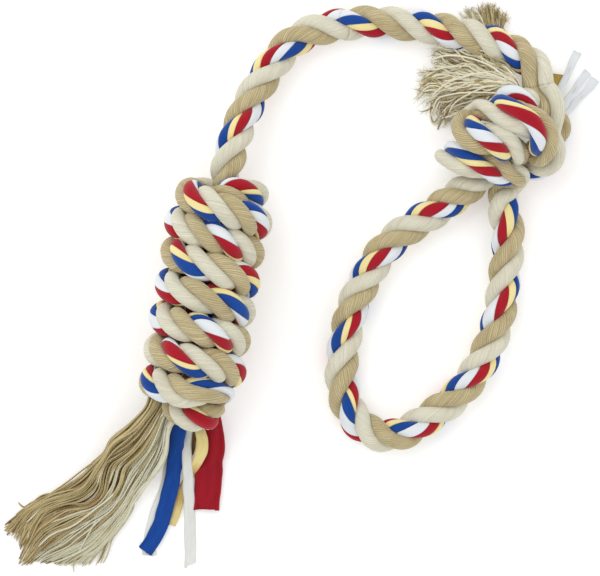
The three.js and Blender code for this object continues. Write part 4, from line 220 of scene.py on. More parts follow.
    (-42.48,34.13,25.53,-0.978,0.099,0.181,4.28,-20833,-20926,-20983,-21130), (-42.08,36.10,26.54,-0.858,-0.086,0.506,4.36,-20881,-20974,-21031,-21178), (-41.37,38.11,27.92,-0.575,-0.317,0.754,4.46,-20935,-21028,-21085,-21233),
    (-40.34,39.91,29.39,-0.198,-0.537,0.820,4.79,-20989,-21083,-21140,-21287), (-39.14,41.68,30.75,0.209,-0.669,0.713,5.17,-21043,-21137,-21194,-21341), (-38.06,43.01,31.73,0.423,-0.782,0.458,5.50,-21086,-21179,-21236,-21383),
    (-36.64,44.05,32.62,0.429,-0.901,0.057,5.89,-21128,-21222,-21279,-21426), (-34.86,44.64,33.24,0.253,-0.901,-0.352,6.30,-21170,-21264,-21321,-21468), (-32.61,44.83,33.37,-0.076,-0.717,-0.693,6.75,-21219,-21312,-21369,-21516),
    (-30.70,44.70,32.92,-0.356,-0.426,-0.832,6.96,-21263,-21357,-21414,-21561), (-28.71,44.39,31.91,-0.553,-0.020,-0.833,7.13,-21326,-21420,-21477,-21624), (-26.97,44.02,30.51,-0.597,0.386,-0.703,7.28,-21397,-21491,-21548,-21695),
    (-25.50,43.70,28.83,-0.488,0.723,-0.488,7.34,-21468,-21562,-21619,-21766), (-24.38,43.49,27.21,-0.284,0.918,-0.276,7.39,-21526,-21620,-21676,-21823), (-23.42,43.34,25.50,-0.009,0.997,-0.080,7.44,-21573,-21667,-21724,-21871),
    (-22.51,43.20,23.44,0.344,0.936,0.077,7.50,-21622,-21715,-21772,-21919), (-21.92,43.11,21.56,0.638,0.761,0.118,7.55,-21663,-21757,-21814,-21961), (-21.62,43.02,19.61,0.867,0.496,0.036,7.60,-21703,-21797,-21854,-22001),
    (-21.68,42.94,17.64,0.975,0.174,-0.139,7.61,-21742,-21836,-21894,-22041), (-22.15,42.87,15.72,0.932,-0.165,-0.322,7.61,-21781,-21875,-21933,-22080), (-23.11,42.85,13.68,0.732,-0.522,-0.438,7.61,-21825,-21919,-21977,-22123),
    (-24.42,42.89,11.84,0.444,-0.798,-0.407,7.61,-21868,-21961,-22020,-22167), (-26.01,42.98,10.25,0.140,-0.962,-0.236,7.61,-21910,-22004,-22063,-22209), (-27.85,43.11,8.94,-0.101,-0.994,0.047,7.61,-21951,-22045,-22105,-22251),
    (-29.91,43.27,8.04,-0.196,-0.898,0.393,7.61,-21992,-22086,-22146,-22292), (-32.12,43.45,7.62,-0.107,-0.693,0.713,7.61,-22032,-22126,-22187,-22333), (-34.37,43.62,7.61,-0.010,-0.391,0.920,7.61,-22072,-22166,-22228,-22373),
    (-36.90,43.80,7.61,-0.011,0.018,1.000,7.61,-22117,-22211,-22273,-22418), (-39.15,43.97,7.62,0.057,0.376,0.925,7.61,-22156,-22250,-22313,-22458), (-41.39,44.14,7.86,0.213,0.673,0.708,7.61,-22195,-22289,-22353,-22498),
    (-43.50,44.32,8.63,0.265,0.884,0.385,7.61,-22234,-22328,-22393,-22537), (-45.40,44.45,9.85,0.110,0.991,0.071,7.61,-22273,-22367,-22432,-22576), (-47.05,44.52,11.38,-0.159,0.971,-0.179,7.61,-22311,-22406,-22472,-22616),
    (-48.47,44.56,13.14,-0.463,0.820,-0.336,7.61,-22350,-22445,-22511,-22655), (-49.77,44.56,15.32,-0.767,0.518,-0.379,7.61,-22394,-22489,-22556,-22699), (-50.65,44.51,17.39,-0.934,0.169,-0.316,7.61,-22433,-22528,-22596,-22739),
    (-51.24,44.40,19.57,-0.956,-0.207,-0.209,7.61,-22473,-22568,-22636,-22779), (-51.57,44.24,21.80,-0.823,-0.555,-0.118,7.61,-22512,-22607,-22676,-22819), (-51.66,44.04,24.04,-0.562,-0.824,-0.080,7.61,-22553,-22648,-22717,-22859),
    (-51.58,43.80,26.28,-0.217,-0.972,-0.095,7.61,-22593,-22688,-22758,-22900), (-51.39,43.52,28.80,0.205,-0.969,-0.134,7.61,-22639,-22735,-22804,-22947), (-51.11,43.18,31.30,0.585,-0.783,-0.211,7.61,-22686,-22782,-22852,-22994),
    (-50.56,42.75,33.74,0.831,-0.434,-0.347,7.61,-22734,-22830,-22900,-23042), (-49.63,42.20,36.04,0.894,0.012,-0.449,7.61,-22783,-22878,-22949,-23091), (-48.33,41.56,38.12,0.782,0.456,-0.425,7.61,-22833,-22929,-22999,-23142),
    (-46.71,40.84,39.93,0.556,0.797,-0.238,7.61,-22885,-22980,-23051,-23193), (-44.78,40.05,41.39,0.313,0.945,0.099,7.61,-22936,-23031,-23102,-23245), (-42.88,39.32,42.36,0.145,0.880,0.453,7.61,-22982,-23077,-23148,-23290),
    (-40.60,38.47,43.09,0.033,0.599,0.800,7.61,-23033,-23128,-23199,-23341), (-38.51,37.70,43.43,-0.010,0.217,0.976,7.61,-23074,-23170,-23240,-23381), (-36.13,36.83,43.47,-0.042,-0.261,0.964,7.61,-23114,-23213,-23279,-23414),
    (-34.02,36.07,43.21,-0.077,-0.639,0.765,7.61,-23144,-23248,-23310,-23437), (-31.71,35.25,42.53,-0.178,-0.905,0.387,7.61,-23177,-23286,-23343,-23459), (-29.52,34.45,41.53,-0.362,-0.931,-0.040,7.61,-23211,-23324,-23377,-23484),
    (-27.71,33.78,40.37,-0.543,-0.754,-0.371,7.61,-23245,-23362,-23410,-23512), (-25.80,33.08,38.85,-0.694,-0.378,-0.612,7.61,-23290,-23408,-23456,-23555), (-24.09,32.43,37.09,-0.743,0.097,-0.663,7.61,-23340,-23459,-23506,-23604),
    (-22.64,31.82,35.10,-0.631,0.553,-0.544,7.61,-23391,-23510,-23557,-23655), (-21.48,31.29,32.90,-0.342,0.874,-0.345,7.61,-23443,-23562,-23609,-23707), (-20.64,30.81,30.55,0.073,0.984,-0.165,7.61,-23496,-23615,-23662,-23761),
    (-20.07,30.34,27.83,0.551,0.833,-0.051,7.61,-23558,-23675,-23722,-23822), (-19.86,29.91,24.77,0.917,0.396,-0.052,7.61,-23626,-23741,-23789,-23890), (-20.05,29.59,21.97,0.985,-0.124,-0.118,7.61,-23688,-23801,-23849,-23951),
    (-20.59,29.34,19.22,0.777,-0.609,-0.157,7.61,-23750,-23861,-23910,-24013), (-21.51,29.15,16.55,0.363,-0.926,-0.104,7.61,-23812,-23921,-23970,-24075), (-22.51,29.07,14.54,-0.020,-0.999,0.039,7.61,-23862,-23969,-24019,-24124),
    (-23.96,29.05,12.45,-0.379,-0.874,0.304,7.61,-23918,-24023,-24074,-24180), (-25.52,29.09,10.82,-0.544,-0.605,0.581,7.61,-23968,-24071,-24122,-24230), (-27.32,29.19,9.47,-0.527,-0.238,0.816,7.61,-24018,-24120,-24171,-24280),
    (-29.33,29.32,8.44,-0.353,0.164,0.921,7.61,-24068,-24168,-24220,-24329), (-31.49,29.48,7.83,-0.112,0.537,0.836,7.61,-24118,-24217,-24269,-24379), (-33.73,29.64,7.61,0.044,0.825,0.563,7.61,-24168,-24265,-24318,-24429),
    (-35.98,29.80,7.61,0.068,0.982,0.179,7.61,-24219,-24314,-24367,-24479), (-38.23,29.95,7.61,0.066,0.969,-0.236,7.61,-24269,-24363,-24416,-24530), (-40.48,30.11,7.61,0.060,0.789,-0.611,7.61,-24320,-24412,-24466,-24580),
    (-42.73,30.29,7.61,0.030,0.474,-0.880,7.61,-24370,-24461,-24515,-24630), (-45.25,30.52,7.80,-0.167,0.040,-0.985,7.61,-24427,-24516,-24571,-24687), (-47.15,30.71,8.32,-0.366,-0.302,-0.880,7.61,-24472,-24559,-24614,-24731),
    (-49.39,30.91,9.49,-0.441,-0.689,-0.575,7.61,-24529,-24614,-24670,-24788), (-51.15,31.04,10.90,-0.300,-0.921,-0.250,7.61,-24580,-24664,-24720,-24839), (-52.68,31.14,12.56,-0.010,-0.999,0.038,7.61,-24631,-24714,-24770,-24890),
    (-54.10,31.21,14.66,0.398,-0.884,0.245,7.61,-24689,-24770,-24827,-24947), (-55.10,31.22,16.68,0.728,-0.616,0.301,7.61,-24740,-24820,-24877,-24998), (-55.92,31.18,19.08,0.951,-0.186,0.247,7.61,-24798,-24876,-24934,-25056),
    (-56.37,31.08,21.29,0.960,0.238,0.150,7.61,-24849,-24926,-24985,-25107), (-56.56,30.89,23.81,0.747,0.662,0.066,7.61,-24907,-24983,-25042,-25165), (-56.43,30.65,26.05,0.406,0.911,0.071,7.61,-24959,-25034,-25093,-25217),
    (-56.03,30.31,28.25,0.005,0.985,0.173,7.61,-25011,-25085,-25144,-25269), (-55.23,29.83,30.61,-0.408,0.837,0.366,7.61,-25070,-25142,-25202,-25327), (-54.24,29.33,32.57,-0.659,0.525,0.539,7.61,-25122,-25194,-25254,-25379),
    (-53.00,28.77,34.37,-0.761,0.107,0.639,7.61,-25174,-25245,-25305,-25431), (-51.54,28.16,35.98,-0.721,-0.331,0.609,7.61,-25226,-25297,-25357,-25484), (-49.89,27.50,37.37,-0.580,-0.697,0.422,7.61,-25279,-25349,-25410,-25536),
    (-48.07,26.79,38.50,-0.401,-0.911,0.098,7.61,-25332,-25401,-25462,-25589), (-46.12,26.05,39.37,-0.242,-0.924,-0.296,7.61,-25385,-25454,-25515,-25642), (-44.09,25.28,39.96,-0.130,-0.735,-0.666,7.61,-25437,-25507,-25567,-25695),
    (-41.73,24.40,40.30,-0.058,-0.333,-0.941,7.61,-25497,-25566,-25627,-25754), (-39.62,23.60,40.32,-0.013,0.104,-0.995,7.61,-25551,-25620,-25681,-25808), (-37.52,22.80,40.08,0.048,0.518,-0.854,7.61,-25606,-25675,-25736,-25863),
    (-35.47,22.01,39.59,0.150,0.818,-0.555,7.61,-25663,-25731,-25792,-25920), (-33.49,21.23,38.86,0.300,0.940,-0.166,7.61,-25720,-25788,-25849,-25976), (-31.59,20.47,37.89,0.473,0.852,0.225,7.61,-25777,-25846,-25906,-26034),
    (-29.81,19.75,36.72,0.629,0.570,0.529,7.61,-25834,-25903,-25964,-26091), (-28.16,19.06,35.33,0.716,0.152,0.681,7.61,-25890,-25961,-26022,-26148), (-26.70,18.42,33.74,0.683,-0.309,0.662,7.61,-25947,-26019,-26080,-26206),
    (-25.45,17.83,31.95,0.496,-0.706,0.506,7.61,-26005,-26077,-26139,-26264), (-24.58,17.36,30.24,0.209,-0.923,0.322,7.61,-26055,-26129,-26190,-26315), (-23.86,16.90,28.15,-0.205,-0.969,0.140,7.61,-26113,-26188,-26250,-26374),
    (-23.47,16.50,25.97,-0.615,-0.786,0.064,7.61,-26171,-26248,-26310,-26433), (-23.40,16.22,24.02,-0.876,-0.475,0.082,7.61,-26222,-26300,-26363,-26485), (-23.65,15.95,21.50,-0.984,0.037,0.173,7.61,-26287,-26368,-26431,-26552),
    (-24.20,15.79,19.32,-0.839,0.488,0.240,7.61,-26346,-26428,-26491,-26611), (-25.02,15.68,17.22,-0.516,0.831,0.207,7.61,-26405,-26489,-26552,-26671), (-26.10,15.62,15.24,-0.113,0.993,0.043,7.61,-26463,-26550,-26614,-26731),
    (-27.38,15.58,13.39,0.264,0.940,-0.218,7.61,-26522,-26611,-26675,-26791), (-29.05,15.56,11.48,0.546,0.642,-0.539,7.61,-26588,-26679,-26744,-26858), (-30.74,15.58,9.98,0.598,0.229,-0.768,7.61,-26647,-26740,-26805,-26918),
    (-32.63,15.65,8.75,0.440,-0.230,-0.868,7.61,-26705,-26801,-26866,-26978), (-34.74,15.75,7.94,0.160,-0.635,-0.755,7.61,-26764,-26862,-26927,-27038), (-36.97,15.88,7.61,-0.032,-0.909,-0.415,7.61,-26823,-26922,-26989,-27098),
    (-39.22,16.01,7.61,-0.060,-0.998,0.036,7.61,-26881,-26983,-27049,-27158), (-41.75,16.18,7.61,-0.063,-0.847,0.528,7.61,-26946,-27050,-27118,-27224), (-44.00,16.35,7.61,-0.035,-0.525,0.850,7.61,-27004,-27110,-27178,-27283),
    (-46.25,16.53,7.73,0.119,-0.104,0.987,7.61,-27062,-27170,-27238,-27342), (-48.43,16.71,8.25,0.338,0.332,0.881,7.61,-27119,-27229,-27298,-27401), (-50.47,16.88,9.20,0.399,0.703,0.589,7.61,-27176,-27289,-27357,-27459),
    (-52.32,17.03,10.49,0.253,0.940,0.229,7.61,-27233,-27347,-27416,-27517), (-53.97,17.13,12.03,-0.046,0.994,-0.098,7.61,-27290,-27405,-27475,-27574), (-55.55,17.21,14.01,-0.456,0.825,-0.335,7.61,-27353,-27470,-27540,-27638),
    (-56.71,17.23,15.94,-0.769,0.503,-0.396,7.61,-27408,-27527,-27597,-27695), (-57.62,17.21,18.01,-0.937,0.084,-0.339,7.61,-27464,-27584,-27654,-27751), (-58.32,17.12,20.45,-0.891,-0.401,-0.211,7.61,-27525,-27647,-27717,-27813),
    (-58.65,16.97,22.67,-0.649,-0.752,-0.119,7.61,-27579,-27702,-27773,-27868), (-58.71,16.74,24.92,-0.275,-0.956,-0.103,7.61,-27633,-27756,-27827,-27922), (-58.49,16.44,27.14,0.140,-0.974,-0.177,7.61,-27686,-27810,-27881,-27975),
    (-57.92,15.99,29.57,0.542,-0.772,-0.331,7.61,-27745,-27870,-27941,-28035), (-57.12,15.52,31.63,0.769,-0.437,-0.466,7.61,-27797,-27922,-27993,-28087), (-56.07,15.00,33.56,0.844,-0.025,-0.536,7.61,-27848,-27973,-28045,-28138),
    (-54.81,14.42,35.34,0.779,0.383,-0.496,7.61,-27898,-28024,-28095,-28189), (-53.14,13.73,37.12,0.591,0.747,-0.305,7.61,-27954,-28080,-28151,-28245), (-51.49,13.07,38.50,0.380,0.925,-0.028,7.61,-28003,-28129,-28200,-28294),
    (-49.45,12.29,39.80,0.160,0.926,0.340,7.61,-28057,-28183,-28254,-28348), (-47.51,11.58,40.71,0.020,0.763,0.646,7.61,-28104,-28229,-28301,-28394), (-45.48,10.85,41.38,-0.059,0.484,0.873,7.61,-28148,-28273,-28345,-28438),
    (-43.12,10.02,41.83,-0.088,0.095,0.992,7.61,-28194,-28318,-28389,-28483), (-40.99,9.29,41.96,-0.085,-0.262,0.961,7.61,-28234,-28354,-28425,-28519), (-38.60,8.48,41.77,-0.088,-0.615,0.784,7.61,-28276,-28392,-28462,-28558),
    (-36.51,7.77,41.30,-0.129,-0.839,0.528,7.61,-28313,-28424,-28494,-28591), (-34.51,7.07,40.53,-0.227,-0.948,0.225,7.61,-28350,-28457,-28526,-28624), (-32.63,6.40,39.46,-0.384,-0.921,-0.070,7.61,-28388,-28490,-28559,-28657),
    (-30.72,5.68,37.95,-0.596,-0.730,-0.334,7.61,-28431,-28530,-28598,-28698), (-29.24,5.08,36.36,-0.765,-0.438,-0.472,7.61,-28472,-28569,-28637,-28737), (-27.84,4.46,34.34,-0.865,-0.020,-0.502,7.61,-28521,-28618,-28686,-28786),
    (-26.85,3.97,32.37,-0.822,0.371,-0.432,7.61,-28567,-28664,-28731,-28831), (-26.03,3.50,30.02,-0.601,0.741,-0.299,7.61,-28619,-28716,-28784,-28884), (-25.52,3.09,27.56,-0.224,0.958,-0.176,7.61,-28674,-28770,-28838,-28938),
    (-25.31,2.74,25.06,0.226,0.967,-0.118,7.61,-28730,-28826,-28894,-28994), (-25.38,2.48,22.82,0.598,0.789,-0.138,7.61,-28781,-28878,-28946,-29046), (-25.76,2.23,20.32,0.880,0.415,-0.229,7.61,-28841,-28938,-29006,-29106),
    (-26.47,2.04,17.89,0.939,-0.062,-0.340,7.61,-28905,-29001,-29069,-29169), (-27.51,1.89,15.58,0.758,-0.530,-0.380,7.61,-28970,-29066,-29134,-29235), (-28.70,1.80,13.67,0.450,-0.843,-0.294,7.61,-29030,-29126,-29194,-29295),
    (-30.15,1.75,11.93,0.098,-0.993,-0.072,7.61,-29091,-29187,-29255,-29357), (-32.04,1.74,10.24,-0.226,-0.928,0.297,7.61,-29162,-29257,-29325,-29428), (-33.94,1.76,9.03,-0.356,-0.675,0.647,7.61,-29226,-29321,-29388,-29493),
    (-36.02,1.81,8.16,-0.295,-0.289,0.911,7.61,-29291,-29385,-29452,-29558), (-38.23,1.89,7.70,-0.097,0.151,0.984,7.61,-29356,-29450,-29517,-29624), (-40.48,1.99,7.61,0.026,0.565,0.825,7.61,-29422,-29516,-29583,-29691),
    (-42.73,2.12,7.61,0.057,0.868,0.493,7.61,-29488,-29581,-29648,-29757), (-44.98,2.27,7.62,0.070,0.996,0.063,7.61,-29555,-29647,-29713,-29824), (-47.52,2.45,7.62,0.038,0.902,-0.431,7.61,-29629,-29721,-29787,-29898),
    (-49.75,2.58,7.94,-0.158,0.635,-0.756,7.61,-29694,-29785,-29851,-29964), (-51.87,2.64,8.70,-0.409,0.244,-0.879,7.61,-29758,-29849,-29915,-30029), (-53.82,2.66,9.83,-0.560,-0.197,-0.805,7.61,-29822,-29913,-29978,-30093),
    (-55.57,2.64,11.25,-0.540,-0.599,-0.592,7.61,-29884,-29975,-30040,-30156), (-57.12,2.60,12.89,-0.346,-0.883,-0.318,7.61,-29945,-30035,-30101,-30217), (-58.60,2.50,14.96,0.028,-0.999,-0.036,7.61,-30012,-30102,-30167,-30285),
    (-59.65,2.38,16.95,0.412,-0.903,0.123,7.61,-30070,-30159,-30225,-30343), (-60.44,2.22,19.05,0.747,-0.641,0.175,7.61,-30126,-30215,-30280,-30398), (-61.01,1.98,21.52,0.967,-0.216,0.133,7.61,-30186,-30275,-30340,-30459),
    (-61.23,1.73,23.75,0.978,0.200,0.060,7.61,-30237,-30326,-30391,-30510), (-61.17,1.44,25.98,0.818,0.576,0.008,7.61,-30284,-30373,-30438,-30557), (-60.77,1.05,28.46,0.489,0.872,0.029,7.61,-30331,-30419,-30485,-30604),
    (-60.10,0.67,30.58,0.141,0.980,0.138,7.61,-30368,-30456,-30522,-30642), (-59.18,0.24,32.60,-0.184,0.932,0.311,7.61,-30403,-30491,-30557,-30677), (-58.01,-0.22,34.47,-0.433,0.745,0.507,7.61,-30438,-30526,-30591,-30711),
    (-56.43,-0.78,36.38,-0.585,0.417,0.695,7.61,-30476,-30566,-30631,-30749), (-54.82,-1.31,37.86,-0.610,0.075,0.789,7.61,-30510,-30601,-30665,-30781), (-53.02,-1.86,39.11,-0.557,-0.265,0.787,7.61,-30542,-30636,-30699,-30812),
    (-50.84,-2.51,40.22,-0.451,-0.597,0.663,7.61,-30576,-30673,-30735,-30845), (-48.78,-3.11,40.93,-0.360,-0.814,0.456,7.61,-30607,-30706,-30767,-30873), (-46.65,-3.74,41.36,-0.308,-0.934,0.184,7.61,-30636,-30739,-30798,-30901),
    (-44.24,-4.50,41.51,-0.308,-0.939,-0.154,7.61,-30670,-30776,-30834,-30933), (-42.10,-5.21,41.36,-0.343,-0.830,-0.439,7.61,-30700,-30808,-30865,-30961), (-40.01,-5.93,40.93,-0.398,-0.624,-0.673,7.61,-30730,-30841,-30897,-30991),
    (-37.98,-6.63,40.23,-0.459,-0.333,-0.823,7.61,-30762,-30874,-30929,-31021), (-35.82,-7.41,39.15,-0.495,0.055,-0.867,7.61,-30797,-30911,-30966,-31056), (-34.04,-8.07,37.93,-0.462,0.408,-0.787,7.61,-30829,-30943,-30997,-31088),
    (-32.42,-8.70,36.48,-0.348,0.709,-0.613,7.61,-30862,-30975,-31030,-31121), (-31.00,-9.26,34.83,-0.145,0.910,-0.389,7.61,-30900,-31013,-31068,-31159), (-29.81,-9.78,32.98,0.132,0.976,-0.172,7.61,-30944,-31057,-31112,-31203),
    (-28.79,-10.28,30.71,0.481,0.877,0.001,7.61,-30995,-31108,-31162,-31254), (-28.16,-10.67,28.58,0.760,0.647,0.065,7.61,-31040,-31153,-31208,-31299), (-27.81,-10.99,26.37,0.946,0.319,0.050,7.61,-31086,-31198,-31253,-31345),
    (-27.74,-11.29,23.85,0.994,-0.106,-0.025,7.61,-31138,-31250,-31305,-31397), (-27.95,-11.50,21.62,0.876,-0.472,-0.099,7.61,-31185,-31297,-31352,-31443), (-28.53,-11.70,19.15,0.587,-0.800,-0.125,7.61,-31239,-31350,-31404,-31496),
    (-29.33,-11.83,17.05,0.249,-0.967,-0.053,7.61,-31287,-31397,-31452,-31544), (-30.53,-11.97,14.82,-0.133,-0.981,0.142,7.61,-31341,-31451,-31506,-31598), (-31.84,-12.08,12.99,-0.403,-0.834,0.376,7.61,-31390,-31499,-31554,-31647),
    (-33.37,-12.16,11.33,-0.560,-0.559,0.612,7.61,-31439,-31547,-31602,-31695), (-35.34,-12.22,9.73,-0.556,-0.148,0.818,7.61,-31495,-31602,-31657,-31751), (-37.30,-12.23,8.62,-0.397,0.244,0.885,7.61,-31545,-31651,-31706,-31800),
    (-39.44,-12.19,7.90,-0.163,0.596,0.786,7.61,-31596,-31700,-31756,-31850), (-41.68,-12.14,7.61,-0.010,0.859,0.511,7.61,-31647,-31750,-31806,-31900), (-43.94,-12.14,7.61,-0.002,0.991,0.135,7.61,-31698,-31800,-31856,-31950),
    (-46.19,-12.15,7.61,-0.009,0.964,-0.266,7.61,-31750,-31850,-31906,-32001), (-48.73,-12.18,7.61,-0.013,0.748,-0.664,7.61,-31808,-31907,-31963,-32059), (-50.98,-12.21,7.72,-0.117,0.423,-0.899,7.61,-31860,-31957,-32014,-32110),
    (-53.18,-12.26,8.22,-0.323,0.026,-0.946,7.61,-31912,-32008,-32065,-32161), (-55.24,-12.31,9.15,-0.446,-0.377,-0.812,7.61,-31965,-32059,-32116,-32213), (-57.11,-12.39,10.41,-0.411,-0.718,-0.562,7.61,-32018,-32110,-32167,-32265),
    (-58.78,-12.48,11.93,-0.219,-0.938,-0.270,7.61,-32071,-32162,-32219,-32317), (-60.40,-12.61,13.87,0.130,-0.991,0.023,7.61,-32131,-32220,-32277,-32376), (-61.60,-12.75,15.78,0.481,-0.855,0.193,7.61,-32185,-32272,-32329,-32429),
    (-62.55,-12.93,17.82,0.783,-0.567,0.255,7.61,-32238,-32323,-32381,-32481), (-63.30,-13.16,20.23,0.968,-0.125,0.216,7.61,-32299,-32382,-32440,-32541), (-63.68,-13.40,22.44,0.945,0.297,0.137,7.61,-32353,-32434,-32492,-32594),
    (-63.78,-13.67,24.68,0.743,0.665,0.074,7.61,-32407,-32486,-32544,-32647), (-63.56,-14.02,27.18,0.359,0.930,0.081,7.61,-32468,-32545,-32603,-32706), (-63.06,-14.37,29.36,-0.038,0.983,0.180,7.61,-32522,-32597,-32656,-32760),
    (-62.28,-14.75,31.44,-0.396,0.851,0.345,7.61,-32576,-32649,-32708,-32813), (-61.25,-15.16,33.40,-0.645,0.558,0.522,7.61,-32631,-32702,-32761,-32866), (-59.80,-15.67,35.43,-0.751,0.106,0.651,7.61,-32692,-32760,-32820,-32926),
    (-58.29,-16.14,37.03,-0.696,-0.320,0.642,7.61,-32746,-32813,-32873,-32979), (-56.59,-16.64,38.42,-0.543,-0.684,0.487,7.61,-32801,-32865,-32925,-33033), (-54.48,-17.23,39.70,-0.333,-0.930,0.153,7.61,-32862,-32924,-32984,-33093),
    (-52.46,-17.78,40.56,-0.177,-0.958,-0.225,7.61,-32916,-32976,-33037,-33146), (-50.36,-18.33,41.15,-0.084,-0.800,-0.594,7.61,-32970,-33028,-33089,-33199), (-47.92,-18.97,41.49,-0.058,-0.440,-0.896,7.61,-33031,-33087,-33148,-33259),
    (-45.74,-19.54,41.48,-0.075,-0.027,-0.997,7.61,-33086,-33141,-33203,-33313), (-43.57,-20.10,41.19,-0.084,0.390,-0.917,7.61,-33143,-33197,-33259,-33369), (-41.21,-20.73,40.52,-0.027,0.765,-0.643,7.61,-33208,-33261,-33323,-33433),
    (-39.20,-21.28,39.64,0.113,0.945,-0.306,7.61,-33264,-33318,-33380,-33490), (-37.33,-21.85,38.52,0.329,0.943,0.038,7.61,-33319,-33374,-33436,-33545), (-35.62,-22.43,37.16,0.559,0.763,0.325,7.61,-33370,-33427,-33489,-33600),
    (-33.92,-23.03,35.38,0.764,0.389,0.515,7.61,-33428,-33487,-33548,-33660), (-32.63,-23.51,33.59,0.844,-0.029,0.535,7.61,-33479,-33540,-33601,-33713), (-31.58,-23.95,31.64,0.779,-0.444,0.443,7.61,-33530,-33593,-33653,-33767),
    (-30.80,-24.33,29.56,0.556,-0.777,0.296,7.61,-33581,-33646,-33706,-33821), (-30.29,-24.65,27.39,0.208,-0.965,0.161,7.61,-33632,-33700,-33759,-33875), (-30.04,-24.94,24.88,-0.250,-0.963,0.097,7.61,-33690,-33760,-33819,-33935),
    (-30.11,-25.18,22.64,-0.618,-0.775,0.136,7.61,-33741,-33813,-33872,-33989), (-30.52,-25.42,20.14,-0.883,-0.396,0.250,7.61,-33799,-33873,-33931,-34050), (-31.18,-25.63,18.00,-0.936,0.020,0.352,7.61,-33851,-33926,-33984,-34104),
    (-32.24,-25.85,15.70,-0.788,0.480,0.386,7.61,-33909,-33986,-34044,-34165), (-33.44,-26.03,13.80,-0.517,0.800,0.304,7.61,-33961,-34040,-34097,-34219), (-35.06,-26.18,11.85,-0.149,0.986,0.075,7.61,-34019,-34100,-34156,-34280),
    (-36.74,-26.28,10.34,0.130,0.964,-0.232,7.61,-34071,-34153,-34209,-34334), (-38.62,-26.37,9.10,0.280,0.769,-0.575,7.61,-34122,-34207,-34262,-34388), (-40.68,-26.46,8.20,0.266,0.435,-0.860,7.61,-34174,-34260,-34315,-34442),
    (-42.89,-26.53,7.71,0.113,0.024,-0.993,7.61,-34226,-34313,-34368,-34496), (-45.14,-26.60,7.61,0.015,-0.389,-0.921,7.61,-34278,-34367,-34421,-34549), (-47.39,-26.65,7.61,0.015,-0.732,-0.681,7.61,-34330,-34420,-34474,-34603),
    (-49.93,-26.71,7.61,0.027,-0.962,-0.272,7.61,-34389,-34480,-34534,-34664), (-52.19,-26.77,7.62,0.034,-0.989,0.145,7.61,-34441,-34533,-34587,-34717), (-54.43,-26.84,7.89,0.144,-0.840,0.523,7.61,-34493,-34586,-34639,-34771),
    (-56.57,-26.92,8.60,0.359,-0.539,0.762,7.61,-34545,-34639,-34692,-34824), (-58.54,-27.02,9.68,0.552,-0.141,0.822,7.61,-34597,-34692,-34745,-34878), (-60.32,-27.13,11.06,0.628,0.282,0.725,7.61,-34649,-34745,-34797,-34931),
    (-61.90,-27.26,12.67,0.545,0.654,0.524,7.61,-34701,-34798,-34850,-34984), (-63.42,-27.43,14.70,0.270,0.929,0.254,7.61,-34759,-34857,-34909,-35044), (-64.51,-27.61,16.67,-0.088,0.995,0.051,7.61,-34811,-34909,-34961,-35097),
    (-65.34,-27.81,18.75,-0.472,0.879,-0.066,7.61,-34863,-34962,-35014,-35150), (-65.96,-28.07,21.20,-0.825,0.558,-0.086,7.61,-34921,-35021,-35072,-35209), (-66.23,-28.34,23.43,-0.986,0.160,-0.034,7.61,-34973,-35073,-35124,-35262),
    (-66.21,-28.63,25.66,-0.963,-0.267,0.032,7.61,-35024,-35125,-35176,-35314), (-65.85,-29.01,28.15,-0.727,-0.684,0.051,7.61,-35082,-35184,-35235,-35373), (-65.22,-29.37,30.28,-0.391,-0.920,-0.026,7.61,-35134,-35236,-35286,-35425),
    (-64.33,-29.77,32.32,-0.019,-0.981,-0.196,7.61,-35185,-35287,-35338,-35477), (-63.03,-30.25,34.44,0.341,-0.826,-0.448,7.61,-35243,-35345,-35396,-35535), (-61.63,-30.71,36.15,0.545,-0.520,-0.658,7.61,-35294,-35397,-35447,-35586),
    (-60.03,-31.20,37.67,0.614,-0.115,-0.781,7.61,-35346,-35448,-35499,-35637), (-58.25,-31.71,38.96,0.566,0.312,-0.763,7.61,-35396,-35498,-35549,-35688), (-56.07,-32.31,40.11,0.434,0.714,-0.550,7.61,-35453,-35555,-35605,-35744),
    (-54.01,-32.86,40.85,0.310,0.925,-0.219,7.61,-35502,-35604,-35655,-35794), (-51.88,-33.43,41.32,0.224,0.958,0.178,7.61,-35551,-35653,-35704,-35842), (-49.43,-34.06,41.53,0.188,0.780,0.597,7.61,-35605,-35707,-35758,-35897),
    (-47.24,-34.57,41.41,0.199,0.469,0.861,7.61,-35653,-35755,-35806,-35944), (-45.05,-34.98,41.02,0.248,0.071,0.966,7.61,-35699,-35801,-35853,-35990), (-42.67,-35.37,40.25,0.286,-0.390,0.875,7.61,-35750,-35851,-35904,-36038),
    (-40.67,-35.77,39.28,0.210,-0.728,0.653,7.61,-35794,-35894,-35950,-36078), (-38.82,-36.23,38.07,0.020,-0.933,0.360,7.61,-35837,-35936,-35994,-36117), (-36.95,-36.77,36.44,-0.281,-0.960,0.022,7.61,-35884,-35983,-36044,-36159),
    (-35.50,-37.25,34.78,-0.565,-0.795,-0.220,7.61,-35926,-36024,-36087,-36197), (-34.29,-37.70,32.93,-0.805,-0.479,-0.350,7.61,-35969,-36065,-36131,-36235), (-33.23,-38.12,30.66,-0.936,-0.017,-0.351,7.61,-36016,-36112,-36180,-36279),
    (-32.58,-38.41,28.52,-0.880,0.400,-0.255,7.61,-36059,-36154,-36223,-36319), (-32.15,-38.73,25.75,-0.571,0.810,-0.137,7.61,-36108,-36203,-36273,-36368), (-32.11,-39.01,23.23,-0.141,0.985,-0.102,7.61,-36151,-36246,-36316,-36412),
    (-32.39,-39.29,20.72,0.317,0.934,-0.164,7.61,-36201,-36296,-36365,-36461), (-33.02,-39.58,18.28,0.675,0.666,-0.318,7.61,-36258,-36354,-36423,-36519), (-33.91,-39.84,16.23,0.832,0.292,-0.471,7.61,-36312,-36407,-36476,-36572),
